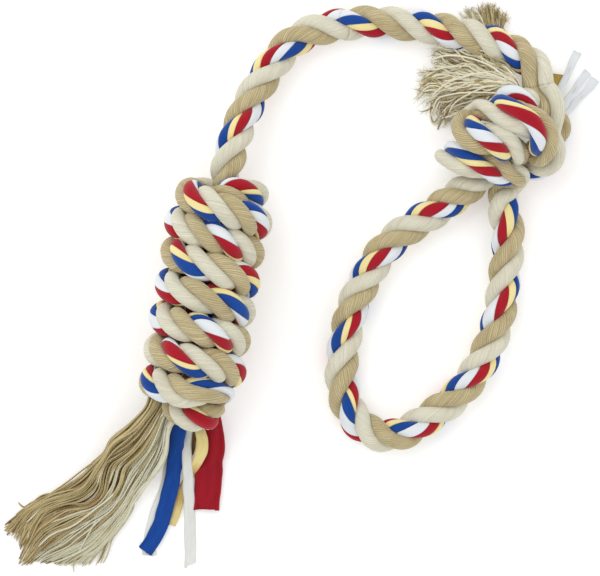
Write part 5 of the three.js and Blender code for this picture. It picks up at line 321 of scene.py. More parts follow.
    (-35.09,-40.06,14.31,0.814,-0.133,-0.566,7.61,-36367,-36462,-36531,-36627), (-36.51,-40.24,12.57,0.656,-0.532,-0.535,7.61,-36424,-36519,-36587,-36682), (-38.13,-40.52,11.03,0.438,-0.833,-0.337,7.61,-36482,-36577,-36644,-36739),
    (-39.93,-40.83,9.71,0.164,-0.985,-0.051,7.61,-36541,-36636,-36703,-36796), (-41.92,-41.00,8.64,-0.080,-0.954,0.290,7.61,-36601,-36696,-36762,-36854), (-44.06,-41.06,7.93,-0.142,-0.745,0.652,7.61,-36663,-36758,-36822,-36913),
    (-46.29,-41.08,7.62,-0.044,-0.403,0.914,7.61,-36724,-36819,-36882,-36972), (-48.55,-41.10,7.61,0.014,0.008,1.000,7.61,-36787,-36882,-36943,-37032), (-51.08,-41.13,7.61,-0.009,0.465,0.885,7.61,-36857,-36952,-37013,-37100),
    (-53.34,-41.18,7.61,-0.022,0.788,0.616,7.61,-36921,-37015,-37074,-37160), (-55.59,-41.25,7.68,-0.013,0.972,0.235,7.61,-36984,-37078,-37136,-37221), (-57.80,-41.35,8.13,-0.107,0.979,-0.177,7.61,-37047,-37142,-37198,-37281),
    (-59.88,-41.47,9.01,-0.324,0.801,-0.504,7.61,-37110,-37205,-37260,-37342), (-61.77,-41.62,10.23,-0.559,0.472,-0.682,7.61,-37173,-37268,-37321,-37402), (-63.66,-41.81,11.91,-0.719,0.000,-0.695,7.61,-37243,-37338,-37390,-37470),
    (-65.12,-42.00,13.62,-0.704,-0.423,-0.570,7.61,-37305,-37399,-37451,-37529), (-66.34,-42.20,15.51,-0.520,-0.767,-0.376,7.61,-37366,-37460,-37510,-37588), (-67.43,-42.45,17.79,-0.144,-0.976,-0.163,7.61,-37433,-37527,-37576,-37653),
    (-68.12,-42.68,19.92,0.264,-0.964,-0.041,7.61,-37491,-37585,-37634,-37710), (-68.54,-42.94,22.12,0.645,-0.764,-0.006,7.61,-37548,-37642,-37691,-37766), (-68.70,-43.22,24.36,0.909,-0.414,-0.047,7.61,-37604,-37698,-37746,-37821),
    (-68.53,-43.56,26.87,0.989,0.075,-0.131,7.61,-37664,-37758,-37806,-37881), (-68.06,-43.89,29.05,0.851,0.499,-0.166,7.61,-37713,-37807,-37855,-37930), (-67.29,-44.26,31.14,0.563,0.821,-0.096,7.61,-37757,-37851,-37899,-37974),
    (-66.10,-44.73,33.33,0.165,0.978,0.127,7.61,-37805,-37899,-37947,-38022), (-64.77,-45.21,35.09,-0.152,0.898,0.413,7.61,-37851,-37945,-37993,-38068), (-63.22,-45.77,36.63,-0.381,0.600,0.704,7.61,-37906,-38000,-38048,-38123),
    (-61.47,-46.41,37.91,-0.496,0.116,0.860,7.61,-37977,-38071,-38121,-38194), (-59.33,-47.15,39.03,-0.476,-0.463,0.748,7.61,-38069,-38163,-38215,-38283), (-57.28,-47.73,39.80,-0.342,-0.831,0.438,7.61,-38151,-38245,-38301,-38364),
    (-55.14,-48.16,40.36,-0.165,-0.984,0.062,7.61,-38225,-38319,-38378,-38436), (-52.64,-48.43,40.72,-0.045,-0.953,-0.300,7.61,-38289,-38382,-38444,-38499), (-50.39,-48.54,40.73,-0.063,-0.865,-0.497,7.56,-38324,-38418,-38481,-38533),
    (-48.16,-48.62,40.39,-0.180,-0.775,-0.606,7.44,-38349,-38442,-38507,-38557), (-46.01,-48.74,39.70,-0.303,-0.686,-0.661,7.31,-38368,-38461,-38526,-38576), (-44.00,-48.79,38.68,-0.427,-0.597,-0.679,6.97,-38385,-38479,-38544,-38593),
    (-42.18,-48.84,37.34,-0.583,-0.486,-0.651,6.60,-38404,-38498,-38564,-38612), (-40.60,-48.90,35.74,-0.720,-0.331,-0.610,6.20,-38428,-38522,-38588,-38636), (-39.23,-48.91,33.94,-0.818,-0.154,-0.555,5.74,-38453,-38547,-38614,-38661),
    (-38.05,-48.89,32.02,-0.867,0.030,-0.497,5.28,-38477,-38571,-38638,-38685), (-37.09,-48.89,30.30,-0.860,0.194,-0.472,4.90,-38497,-38591,-38658,-38704), (-36.16,-48.97,28.56,-0.819,0.355,-0.450,4.74,-38515,-38608,-38676,-38722),
    (-35.23,-49.16,26.51,-0.774,0.537,-0.335,4.57,-38532,-38626,-38693,-38739), (-34.66,-49.46,24.06,-0.665,0.724,-0.184,4.46,-38549,-38643,-38710,-38756), (-34.66,-49.88,21.55,-0.480,0.872,-0.099,4.46,-38564,-38657,-38725,-38771),
    (-35.28,-50.39,18.85,-0.234,0.966,-0.111,4.46,-38578,-38672,-38739,-38786), (-35.96,-50.76,16.73,-0.027,0.988,-0.153,4.46,-38590,-38683,-38750,-38797), (-36.84,-51.14,14.38,0.189,0.949,-0.251,4.46,-38614,-38707,-38774,-38821),
    (-37.87,-51.58,12.42,0.310,0.839,-0.447,4.46,-38640,-38734,-38801,-38848), (-39.39,-52.37,10.55,0.341,0.615,-0.711,4.46,-38671,-38765,-38832,-38878), (-41.00,-53.33,9.29,0.327,0.354,-0.876,4.46,-38699,-38793,-38860,-38906),
    (-42.78,-54.41,8.43,0.302,0.072,-0.951,4.46,-38727,-38821,-38888,-38934), (-44.72,-55.46,7.93,0.260,-0.210,-0.942,4.54,-38756,-38850,-38917,-38963), (-47.00,-56.55,7.76,0.220,-0.497,-0.840,4.71,-38789,-38883,-38950,-38996),
    (-49.08,-57.44,7.88,0.217,-0.699,-0.681,4.87,-38819,-38912,-38980,-39026), (-51.16,-58.26,8.15,0.252,-0.840,-0.480,5.03,-38849,-38943,-39010,-39056), (-53.50,-59.16,8.55,0.314,-0.924,-0.220,5.22,-38884,-38977,-39045,-39091),
    (-55.57,-59.96,8.93,0.366,-0.930,0.026,5.40,-38915,-39009,-39076,-39122),
]
CUT = dict(loop_a=227.31, loop_b=515.55, arc_ball=687.59, arc_mid=760.35, arc_knot=868.08)


# ------------------------------------------------------------------ helpers
def unit(v):
    return v / np.maximum(np.linalg.norm(v, axis=-1, keepdims=True), 1e-12)


def catmull(X, f):
    """Catmull-Rom through rows X at fractional row numbers f."""
    n = len(X)
    i = np.clip(np.floor(f).astype(int), 0, n - 2)
    t = (f - i)[:, None]
    a, b, c, d = X[np.maximum(i - 1, 0)], X[i], X[i + 1], X[np.minimum(i + 2, n - 1)]
    return 0.5 * ((2 * b) + (c - a) * t + (2 * a - 5 * b + 4 * c - d) * t ** 2 + (3 * b - a - 3 * c + d) * t ** 3)


def arc_length(X):
    return np.r_[0, np.cumsum(np.linalg.norm(np.diff(X, axis=0), axis=1))]


def resample(X, step=None, n=None):
    L = arc_length(X)
    n = n or max(2, int(round(L[-1] / step)) + 1)
    s = np.linspace(0, L[-1], n)
    return np.array([np.interp(s, L, X[:, k]) for k in range(X.shape[1])]).T


def transport(T, n0=None):
    """Frames carried along tangents T without turning about them."""
    n = len(T)
    N = np.zeros_like(T)
    v = np.array([0, 0, 1.0]) if n0 is None else np.array(n0, float)
    if abs(v @ T[0]) > 0.95:
        v = np.array([1.0, 0, 0])
    for i in range(n):
        v = v - T[i] * (v @ T[i])
        v = v / np.linalg.norm(v)
        N[i] = v
    return N, np.cross(T, N)


def tangents(X):
    return unit(np.gradient(X, axis=0))


def smooth_noise(rng, n, scale, rows=1):
    """Rows of smooth noise, n samples with features about scale samples long, roughly -1..1."""
    k = max(4, int(n / scale) + 4)
    base = rng.normal(size=(rows, k))
    x = np.linspace(0, k - 1.001, n)
    i = x.astype(int)
    t = x - i
    t = t * t * (3 - 2 * t)
    return base[:, i] * (1 - t) + base[:, np.minimum(i + 1, k - 1)] * t


class Build:
    """Collects rings and strips of quads into one mesh, with UVs in millimetres or yarn counts, and a tone value."""

    def __init__(self):
        self.v, self.f, self.uv, self.tone, self.smooth, self.mat = [], [], [], [], [], []
        self.n = 0

    def grid(self, X, uvs, tone=0.5, closed=True, caps=True, mat=0):
        """X: rings x sides x 3. uvs: rings x (sides+1 if closed else sides) x 2."""
        n, m = X.shape[:2]
        base = self.n
        self.v.append(X.reshape(-1, 3))
        t = np.broadcast_to(np.asarray(tone, float), (n, m)) if np.ndim(tone) != 1 else np.repeat(np.asarray(tone)[:, None], m, 1)
        self.tone.append(t.reshape(-1))
        self.n += n * m
        i = np.arange(n - 1)[:, None]
        j = np.arange(m if closed else m - 1)[None, :]
        j2 = (j + 1) % m
        a = base + i * m + j
        b = base + i * m + j2
        c = base + (i + 1) * m + j2
        d = base + (i + 1) * m + j
        q = np.stack([a, b, c, d], -1).reshape(-1, 4)
        self.f.append(q)
        jj = j + 1
        ii = np.broadcast_to(i, a.shape)
        jb = np.broadcast_to(j, a.shape)
        jc = np.broadcast_to(jj, a.shape)
        u = np.stack([uvs[ii, jb], uvs[ii, jc], uvs[ii + 1, jc], uvs[ii + 1, jb]], -2).reshape(-1, 2)
        self.uv.append(u)
        self.smooth.append(np.ones(len(q), bool))
        self.mat.append(np.full(len(q), mat))
        if caps and closed:
            for ring, flip in ((0, True), (n - 1, False)):
                cidx = self.n
                self.v.append(X[ring].mean(0)[None])
                self.tone.append(np.array([float(t[ring].mean())]))
                self.n += 1
                r = base + ring * m + np.arange(m)
                r2 = np.roll(r, -1)
                tri = np.stack([r2, r, np.full(m, cidx)], -1) if flip else np.stack([r, r2, np.full(m, cidx)], -1)
                self.f.append(tri)
                self.uv.append(np.tile(uvs[ring, 0], (m * 3, 1)))
                self.smooth.append(np.zeros(m, bool))
                self.mat.append(np.full(m, mat))

    def make(self, name, mats, both=False):
        V = np.concatenate(self.v)
        me = bpy.data.meshes.new(name)
        me.vertices.add(len(V))
        me.vertices.foreach_set("co", V.astype(np.float32).ravel())
        sizes = np.concatenate([np.full(len(f), f.shape[1]) for f in self.f])
        loops = np.concatenate([f.ravel() for f in self.f])
        me.loops.add(len(loops))
        me.loops.foreach_set("vertex_index", loops.astype(np.int32))
        me.polygons.add(len(sizes))
        me.polygons.foreach_set("loop_start", np.r_[0, np.cumsum(sizes)[:-1]].astype(np.int32))
        me.update(calc_edges=True)
        me.polygons.foreach_set("use_smooth", np.concatenate(self.smooth))
        me.polygons.foreach_set("material_index", np.concatenate(self.mat).astype(np.int32))
        uv = me.uv_layers.new(name="UVMap")
        uv.data.foreach_set("uv", np.concatenate(self.uv).astype(np.float32).ravel())
        at = me.attributes.new("tone", "FLOAT", "POINT")
        at.data.foreach_set("value", np.concatenate(self.tone).astype(np.float32))
        for m in mats if isinstance(mats, (list, tuple)) else [mats]:
            me.materials.append(m)
        me.validate()
        me.update()
        o = bpy.data.objects.new(name, me)
        bpy.context.scene.collection.objects.link(o)
        return o

    def faces(self):
        return sum(len(f) for f in self.f)


# ------------------------------------------------------------------ materials
def lin(c):
    c = np.array(c, float) / 255
    return tuple(np.where(c <= 0.04045, c / 12.92, ((c + 0.055) / 1.055) ** 2.4)) + (1.0,)


class Nodes:
    def __init__(self, name):
        self.mat = bpy.data.materials.new(name)
        self.mat.use_nodes = True
        self.t = self.mat.node_tree
        self.t.nodes.clear()
        self.out = self.t.nodes.new("ShaderNodeOutputMaterial")
        self.bsdf = self.t.nodes.new("ShaderNodeBsdfPrincipled")
        self.t.links.new(self.bsdf.outputs[0], self.out.inputs[0])

    def node(self, kind, **kw):
        n = self.t.nodes.new(kind)
        for k, v in kw.items():
            if k.startswith("i_"):
                key = k[2:]
                key = int(key) if key.isdigit() else key.replace("_", " ")
                self.set(n.inputs[key], v)
            else:
                setattr(n, k, v)
        return n

    def set(self, socket, v):
        if isinstance(v, bpy.types.NodeSocket):
            self.t.links.new(v, socket)
        else:
            socket.default_value = v

    def math(self, op, a, b=0.0, c=0.0, clamp=False):
        n = self.t.nodes.new("ShaderNodeMath")
        n.operation = op
        n.use_clamp = clamp
        for s, v in zip(n.inputs, (a, b, c)):
            self.set(s, v)
        return n.outputs[0]

    def mix(self, f, a, b, mode="MIX"):
        n = self.t.nodes.new("ShaderNodeMix")
        n.data_type = "RGBA"
        n.blend_type = mode
        self.set(n.inputs[0], f)
        self.set(n.inputs[6], a)
        self.set(n.inputs[7], b)
        return n.outputs[2]

    def uv(self, su=1.0, sv=1.0, rot=0.0):
        c = self.node("ShaderNodeTexCoord")
        m = self.node("ShaderNodeMapping")
        self.t.links.new(c.outputs["UV"], m.inputs[0])
        m.inputs["Scale"].default_value = (su, sv, 1)
        m.inputs["Rotation"].default_value = (0, 0, rot)
        return m.outputs[0]

    def noise(self, vec, scale=1.0, detail=2.0, rough=0.5, dist=0.0):
        n = self.node("ShaderNodeTexNoise")
        self.t.links.new(vec, n.inputs["Vector"])
        n.inputs["Scale"].default_value = scale
        n.inputs["Detail"].default_value = detail
        n.inputs["Roughness"].default_value = rough
        n.inputs["Distortion"].default_value = dist
        return n.outputs[0]

    def span(self, v, a, b, c, d):
        n = self.t.nodes.new("ShaderNodeMapRange")
        n.clamp = True
        for s, x in zip(n.inputs, (v, a, b, c, d)):
            self.set(s, x)
        return n.outputs[0]


def cotton(name, light, dark, sheen=0.25, depth=0.5, valley_shade=0.35):
    """Spun cotton yarn, with painted shade in the hollows between yarns. UV: u counts yarns, v runs along them in
    millimetres.
    """
    n = Nodes(name)
    uv = n.uv(1, 1)
    sep = n.node("ShaderNodeSeparateXYZ", i_0=uv)
    u, v = sep.outputs[0], sep.outputs[1]
    streak = n.noise(n.uv(1.1, 0.045), 1.0, 3.0, 0.6)
    fine = n.noise(n.uv(5.0, 0.5), 1.0, 2.0, 0.6)
    blotch = n.noise(n.uv(0.12, 0.03), 1.0, 2.0, 0.5)
    tone = n.node("ShaderNodeAttribute", attribute_name="tone").outputs["Fac"]
    a = n.math("MULTIPLY", n.math("SUBTRACT", streak, 0.5), 1.3)
    b = n.math("MULTIPLY", n.math("SUBTRACT", fine, 0.5), 0.9)
    c = n.math("MULTIPLY", n.math("SUBTRACT", blotch, 0.5), 0.5)
    f = n.math("ADD", n.math("ADD", a, b), n.math("ADD", c, tone), clamp=True)
    col = n.mix(f, dark, light)
    fr = n.math("FRACT", u)
    d = n.math("ABSOLUTE", n.math("SUBTRACT", fr, 0.5))      # 0.5 in the hollow between yarns, 0 on the crown
    # painted shade: the colour is pulled toward a darker tone in the hollows between yarns, standing in for the shade
    # there
    val = n.span(d, 0.24, 0.5, 0.0, valley_shade)
    col = n.mix(val, col, tuple(x * 0.55 for x in dark[:3]) + (1,))
    n.set(n.bsdf.inputs["Base Color"], col)
    n.bsdf.inputs["Roughness"].default_value = 0.92
    n.bsdf.inputs["Sheen Weight"].default_value = sheen
    n.bsdf.inputs["Sheen Roughness"].default_value = 0.6
    n.bsdf.inputs["Specular IOR Level"].default_value = 0.18
    # plies that turn round each yarn, and loose fibre
    ply = n.math("SINE", n.math("MULTIPLY", n.math("ADD", n.math("MULTIPLY", v, 0.9), n.math("MULTIPLY", u, 1.0)), 6.2832))
    fuzz = n.noise(n.uv(9.0, 3.0), 1.0, 3.0, 0.7)
    h = n.math("ADD", n.math("MULTIPLY", ply, 0.35), n.math("MULTIPLY", fuzz, 0.9))
    bump = n.node("ShaderNodeBump", i_Strength=depth, i_Distance=0.00012)
    n.set(bump.inputs["Height"], h)
    n.set(n.bsdf.inputs["Normal"], bump.outputs[0])
    return n.mat


def jersey(name, light, dark, depth=0.45, sheen=0.2):
    """Knitted jersey. UV in millimetres: u across the strip, v along it."""
    n = Nodes(name)
    uv = n.uv(1, 1)
    sep = n.node("ShaderNodeSeparateXYZ", i_0=uv)
    u, v = sep.outputs[0], sep.outputs[1]
    wale = n.math("ABSOLUTE", n.math("SINE", n.math("MULTIPLY", u, 3.1416 / 0.62)))
    course = n.math("ABSOLUTE", n.math("SINE", n.math("ADD", n.math("MULTIPLY", v, 3.1416 / 0.5), n.math("MULTIPLY", wale, 1.2))))
    knit = n.math("MULTIPLY", n.math("ADD", n.math("MULTIPLY", wale, 0.65), n.math("MULTIPLY", course, 0.35)), 1.0)
    soft = n.noise(n.uv(0.35, 0.08), 1.0, 3.0, 0.55)
    fine = n.noise(n.uv(3.5, 2.2), 1.0, 2.0, 0.6)
    tone = n.node("ShaderNodeAttribute", attribute_name="tone").outputs["Fac"]
    # painted shade: the grooves between the knit's wales and courses darken the colour, besides the bump
    f = n.math("ADD", n.math("MULTIPLY", n.math("SUBTRACT", knit, 0.55), 0.45), n.math("MULTIPLY", n.math("SUBTRACT", soft, 0.5), 0.7))
    f = n.math("ADD", f, n.math("MULTIPLY", n.math("SUBTRACT", fine, 0.5), 0.35))
    f = n.math("ADD", f, tone, clamp=True)
    n.set(n.bsdf.inputs["Base Color"], n.mix(f, dark, light))
    n.bsdf.inputs["Roughness"].default_value = 0.85
    n.bsdf.inputs["Sheen Weight"].default_value = sheen
    n.bsdf.inputs["Sheen Roughness"].default_value = 0.5
    n.bsdf.inputs["Specular IOR Level"].default_value = 0.2
    bump = n.node("ShaderNodeBump", i_Strength=depth, i_Distance=0.0001)
    n.set(bump.inputs["Height"], n.math("ADD", knit, n.math("MULTIPLY", fine, 0.5)))
    n.set(n.bsdf.inputs["Normal"], bump.outputs[0])
    return n.mat


M = {
    "cream": cotton("cream_cotton", lin((238, 236, 217)), lin((200, 194, 169)), depth=0.6, valley_shade=0.22),
    "tan": cotton("tan_cotton", lin((228, 215, 172)), lin((162, 142, 97)), depth=0.7, valley_shade=0.62),
    "red": jersey("red_jersey", lin((184, 20, 40)), lin((140, 10, 28))),
    "blue": jersey("blue_jersey", lin((18, 80, 168)), lin((8, 46, 118))),
    "yellow": jersey("yellow_jersey", lin((250, 239, 182)), lin((230, 208, 132))),
    # painted shade: a darker ochre dark tone for the yellow strip end, used for the shadow the blue strip casts on it
    "yellow_tail": jersey("yellow_tail_jersey_painted_shade", lin((246, 230, 162)), lin((182, 148, 76))),
    "white_tail": jersey("white_tail_jersey", lin((236, 237, 233)), lin((206, 208, 202))),
    "white": jersey("white_jersey", lin((240, 244, 246)), lin((212, 218, 224))),
    "gold": jersey("gold_jersey", lin((200, 170, 85)), lin((150, 125, 50))),
}

# ------------------------------------------------------------------ rope centre line
R = np.array(ROPE, float)
P0 = R[:, :3] * 1e-3 + SHIFT
L0 = arc_length(P0)
T0 = tangents(P0)
N0, B0 = transport(T0)
U0 = unit(R[:, 3:6] - T0 * (R[:, 3:6] * T0).sum(1)[:, None])
th0 = np.unwrap(np.arctan2((U0 * B0).sum(1), (U0 * N0).sum(1)))
# dense rows
f0 = np.linspace(0, len(P0) - 1, (len(P0) - 1) * 8 + 1)
Pd = catmull(P0, f0)
Ld = arc_length(Pd)
ns = int(round(Ld[-1] / STEP)) + 1
sd = np.linspace(0, Ld[-1], ns)
fr = np.interp(sd, Ld, f0)
P = catmull(P0, fr)
T = tangents(P)
Nf = unit(np.array([np.interp(fr, np.arange(len(P0)), N0[:, k]) for k in range(3)]).T)
Nf = unit(Nf - T * (Nf * T).sum(1)[:, None])
Bf = np.cross(T, Nf)
theta = np.interp(fr, np.arange(len(P0)), th0)
rad = np.interp(fr, np.arange(len(P0)), R[:, 6]) * 1e-3
edge = np.array([np.interp(fr, np.arange(len(P0)), R[:, 7 + k]) for k in range(4)]).T
# row numbers of the places where the rope bends between bodies
def row_at(mm):
    return int(np.argmin(np.abs(sd - mm * 1e-3)))


# barrel turns are pressed towards the knot's axis
axis_top = W(224, 186, 51)
axis_dir = unit(np.array([-0.164, -0.986, 0.0]))
rho = P - axis_top
rho -= np.outer(rho @ axis_dir, axis_dir)
dist = np.linalg.norm(rho, axis=1)
rho = unit(rho)
press = np.where((sd > CUT["arc_knot"] * 1e-3) & (dist > 0.0113), 0.88, 1.0)
ker = np.exp(-0.5 * (np.arange(-16, 17) / 7.0) ** 2)
press = np.convolve(np.pad(press, 16, mode="edge"), ker / ker.sum(), mode="valid")


def strand_line(k):
    a = theta + 2 * math.pi * k / 3
    out = np.cos(a)[:, None] * Nf + np.sin(a)[:, None] * Bf
    o = out * (rad * HELIX)[:, None]
    o -= rho * ((o * rho).sum(1) * (1 - press))[:, None]
    C = P + o
    t = tangents(C)
    u = unit(out - t * (out * t).sum(1)[:, None])
    return C, t, u, np.cross(t, u)


rng = np.random.default_rng(7)
LINES = [strand_line(k) for k in range(3)]       # cream, colour, tan


def cotton_strand(name, k, i0, i1, mat, yarns=YARNS, relief=0.00011, seed=1):
    C, t, u, w = (a[i0:i1 + 1] for a in LINES[k])
    n = len(C)
    r = rad[i0:i1 + 1] * STRAND
    m = yarns * 4
    g = np.random.default_rng(seed)
    # yarns wander a little and are not all as thick; noise runs over the whole rope so that pieces meet
    wander = WANDER[k][i0:i1 + 1]
    high = HIGH[k][:, i0:i1 + 1]
    j = np.arange(m)
    base = 2 * math.pi * j / m
    phi = base[None, :] + (-3.0 * theta[i0:i1 + 1])[:, None] + wander[:, None]
    phi = phi + 0.05 * np.sin(base[None, :] * 3 + 1.3 * k) + 0.03 * np.sin(base[None, :] * 7 + 2.1)
    shape = np.array([0.0, 0.72, 1.0, 0.72])[j % 4]
    yi = (j // 4) % yarns
    crown = high[yi % high.shape[0]].T
    rr = r[:, None] + relief * (shape[None, :] * (1.0 + 0.5 * crown) - 0.75) * np.minimum(1, r / 0.003)[:, None]
    X = C[:, None] + rr[..., None] * (np.cos(phi)[..., None] * u[:, None] + np.sin(phi)[..., None] * w[:, None])
    sv = sd[i0:i1 + 1] * 1000
    uu = np.arange(m + 1) / 4.0
    uvs = np.stack(np.broadcast_arrays(uu[None, :], sv[:, None] * 2.2), -1)
    # painted light: yarns that stand higher in the relief get a lighter tone
    tone = 0.5 + 0.10 * crown
    b = Build()
    b.grid(X, uvs, tone)
    o = b.make(name, mat)
    return o


WANDER = [smooth_noise(rng, ns, 60)[0] * 0.10 for _ in range(3)]
HIGH = [smooth_noise(rng, ns, 14, YARNS) * 0.45 for _ in range(3)]
STRIP_NAMES = ("blue", "yellow", "red", "white")
EDGE_WOB = smooth_noise(rng, ns, 22, 4) * 1.6      # degrees


def colour_strips(prefix, i0, i1):
    """The four jersey strips of the colour strand; each is a closed length with a rounded outside."""
    C, t, u, w = (a[i0:i1 + 1] for a in LINES[1])
    r = rad[i0:i1 + 1] * STRAND
    sv = sd[i0:i1 + 1] * 1000
    made = {}
    E = edge[i0:i1 + 1] + EDGE_WOB[:, i0:i1 + 1].T
    for q, name in enumerate(STRIP_NAMES):
        a = E[:, q]
        b = E[:, (q + 1) % 4] - (360 if q == 3 else 0)
        a = np.radians(a - 0.6)
        b = np.radians(b + 0.6)                     # b < a
        mo = 17
        x = np.linspace(0, 1, mo)
        x = 0.5 - 0.5 * np.cos(math.pi * x) * 0.92 - 0.04 * (0.5 - x) * 2
        x = (x - x[0]) / (x[-1] - x[0])
        ang = a[:, None] + (b - a)[:, None] * x[None, :]
        half = np.minimum(x, 1 - x)[None, :] * np.abs(b - a)[:, None]
        roll = np.clip(half / math.radians(15), 0, 1)
        drop = 1 - np.sqrt(np.clip(1 - (1 - roll) ** 2, 0, 1))
        belly = 0.02 * np.sin(math.pi * x)[None, :]
        rr = r[:, None] * (1.0 + belly - 0.13 * drop)
        X = C[:, None] + rr[..., None] * (np.cos(ang)[..., None] * u[:, None] + np.sin(ang)[..., None] * w[:, None])
        # inside edge of the strip
        mi = 4
        ai = b[:, None] + (a - b)[:, None] * np.linspace(0.12, 0.88, mi)[None, :]
        ri = (r * 0.42)[:, None]
        Xi = C[:, None] + ri[..., None] * (np.cos(ai)[..., None] * u[:, None] + np.sin(ai)[..., None] * w[:, None])
        X = np.concatenate([X, Xi], 1)[:, ::-1]      # outward faces
        per = np.r_[0, np.cumsum(np.full(mo + mi, 0.45))]
        uvs = np.stack(np.broadcast_arrays(per[None, :], sv[:, None] * 1.2), -1)
        bd = Build()
        bd.grid(X, uvs, 0.5)
        o = bd.make(f"{prefix}_{name}_strip", M[name])
        made[name] = o
    return made


# ------------------------------------------------------------------ rope lengths
H = {k: np.array(P[row_at(v)]) for k, v in CUT.items()}
OVER = 0.014
iA = row_at(CUT["loop_a"] - 14)
iB = row_at(CUT["loop_b"] + 14)
iC = row_at(CUT["arc_ball"] - 14)
iE = row_at(CUT["arc_knot"] + 14)
iD = (iC + iE) // 2                       # half way round the arc
# the barrel knot's hidden core and first bight, then its turns
core_end = iE + int(np.argmax((dist[iE:] > 0.0165) & (sd[iE:] > sd[iE] + 0.28)))
REGIONS = [
    ("ball_end", 0, iA, "ball_knot"),
    ("loop", iA, iB, ("ball_knot", "hand_loop")),
    ("ball_standing", iB, iC, "ball_knot"),
    ("arc_b", iC, iD, ("ball_knot", "arc")),
    ("arc_a", iD, iE, ("arc", "barrel_knot")),
    ("barrel_core", iE, core_end, "barrel_knot"),
    ("barrel_turns", core_end, ns - 1, "barrel_knot"),
]
CADNAMES = {"ball_end": "ball_end", "loop": "loop", "ball_standing": "ball_standing", "arc_b": "arc", "arc_a": None,
            "barrel_core": "barrel", "barrel_turns": None}


def flat_dir(v):
    v = np.array([v[0], v[1], 0.0])
    return v / np.linalg.norm(v)


leg = flat_dir(H["loop_b"] - H["loop_a"])
down = np.array([leg[1], -leg[0], 0.0])
if down[1] > 0:
    down = -down


def place(o, where):
    if isinstance(where, tuple):
        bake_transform(o)
    else:
        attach(o, where)


for region, i0, i1, where in REGIONS:
    cream = cotton_strand(f"{region}_cream_rope", 0, i0, i1, M["cream"], relief=0.00009)
    tan = cotton_strand(f"{region}_tan_rope", 2, i0, i1, M["tan"], relief=0.00018)
    strips = colour_strips(region, i0, i1)
    for o in (cream, tan, *strips.values()):
        place(o, where)
    cad = CADNAMES[region]
    if cad:
        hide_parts(f"{cad}_cream_strand")
        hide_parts(f"{cad}_tan_strand")
        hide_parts(f"{cad}_colour_strand")

# ------------------------------------------------------------------ yarn tails
def yarn_cotton(name, light, dark, depth=0.5):
    """One spun yarn. UV: u once round, v along it in millimetres; tone tells the yarns apart."""
    n = Nodes(name)
    uv = n.uv(1, 1)
    sep = n.node("ShaderNodeSeparateXYZ", i_0=uv)
    u, v = sep.outputs[0], sep.outputs[1]
    tone = n.node("ShaderNodeAttribute", attribute_name="tone").outputs["Fac"]
    ply = n.math("SINE", n.math("MULTIPLY", n.math("ADD", n.math("MULTIPLY", v, 0.62), n.math("MULTIPLY", u, 2.0)), 6.2832))
    fuzz = n.noise(n.uv(14.0, 2.2), 1.0, 3.0, 0.7)
    along = n.noise(n.uv(0.6, 0.16), 1.0, 2.0, 0.5)
    # painted shade: the ply grooves darken the colour a little, besides the bump
    f = n.math("ADD", n.math("MULTIPLY", ply, 0.10), n.math("MULTIPLY", n.math("SUBTRACT", fuzz, 0.5), 0.55))
    f = n.math("ADD", f, n.math("MULTIPLY", n.math("SUBTRACT", along, 0.5), 0.5))
    f = n.math("ADD", f, tone, clamp=True)
    n.set(n.bsdf.inputs["Base Color"], n.mix(f, dark, light))
    n.bsdf.inputs["Roughness"].default_value = 0.92
    n.bsdf.inputs["Sheen Weight"].default_value = 0.25
    n.bsdf.inputs["Sheen Roughness"].default_value = 0.6
    n.bsdf.inputs["Specular IOR Level"].default_value = 0.18
    bump = n.node("ShaderNodeBump", i_Strength=depth, i_Distance=0.0001)
    n.set(bump.inputs["Height"], n.math("ADD", n.math("MULTIPLY", ply, 0.8), fuzz))
    n.set(n.bsdf.inputs["Normal"], bump.outputs[0])
    return n.mat


M["yarn_cream"] = yarn_cotton("cream_yarn", lin((232, 230, 208)), lin((192, 187, 158)))
M["yarn_tan"] = yarn_cotton("tan_yarn", lin((210, 194, 144)), lin((144, 122, 75)))
# painted shade: a darker brown yarn for the lowest yarns of the bundles, standing in for the shade between them
M["yarn_shade"] = yarn_cotton("tan_yarn_painted_shade", lin((176, 148, 98)), lin((122, 94, 54)))
M["yarn_fan"] = yarn_cotton("fan_yarn", lin((247, 243, 221)), lin((222, 215, 186)))


def guide_field(guides, n=48):
    out = []
    for g in guides:
        a = np.array(g, float)
        a = catmull(a, np.linspace(0, len(a) - 1, (len(a) - 1) * 12 + 1))
        out.append(resample(a, n=n))
    return np.array(out)


def tube(b, X, radius, tone, sides=6, mat=0):
    """X: points in metres; radius: one value each."""
    t = tangents(X)
    n, w = transport(t)
    a = np.linspace(0, 2 * math.pi, sides, endpoint=False)
    ring = X[:, None] + radius[:, None, None] * (np.cos(a)[None, :, None] * n[:, None] + np.sin(a)[None, :, None] * w[:, None])
    v = arc_length(X) * 1000
    off = (float(np.mean(tone)) * 977.0) % 50.0
    uvs = np.stack(np.broadcast_arrays(np.linspace(0, 1, sides + 1)[None, :] + off, v[:, None] + off), -1)
    b.grid(ring, uvs, np.broadcast_to(tone, (len(X),)), mat=mat)


def grid_points(x, y, z):
    """Layout-grid columns to metres."""
    return np.stack([(x - 300) * PX, (288 - y) * PX, z * PX], -1) + SHIFT


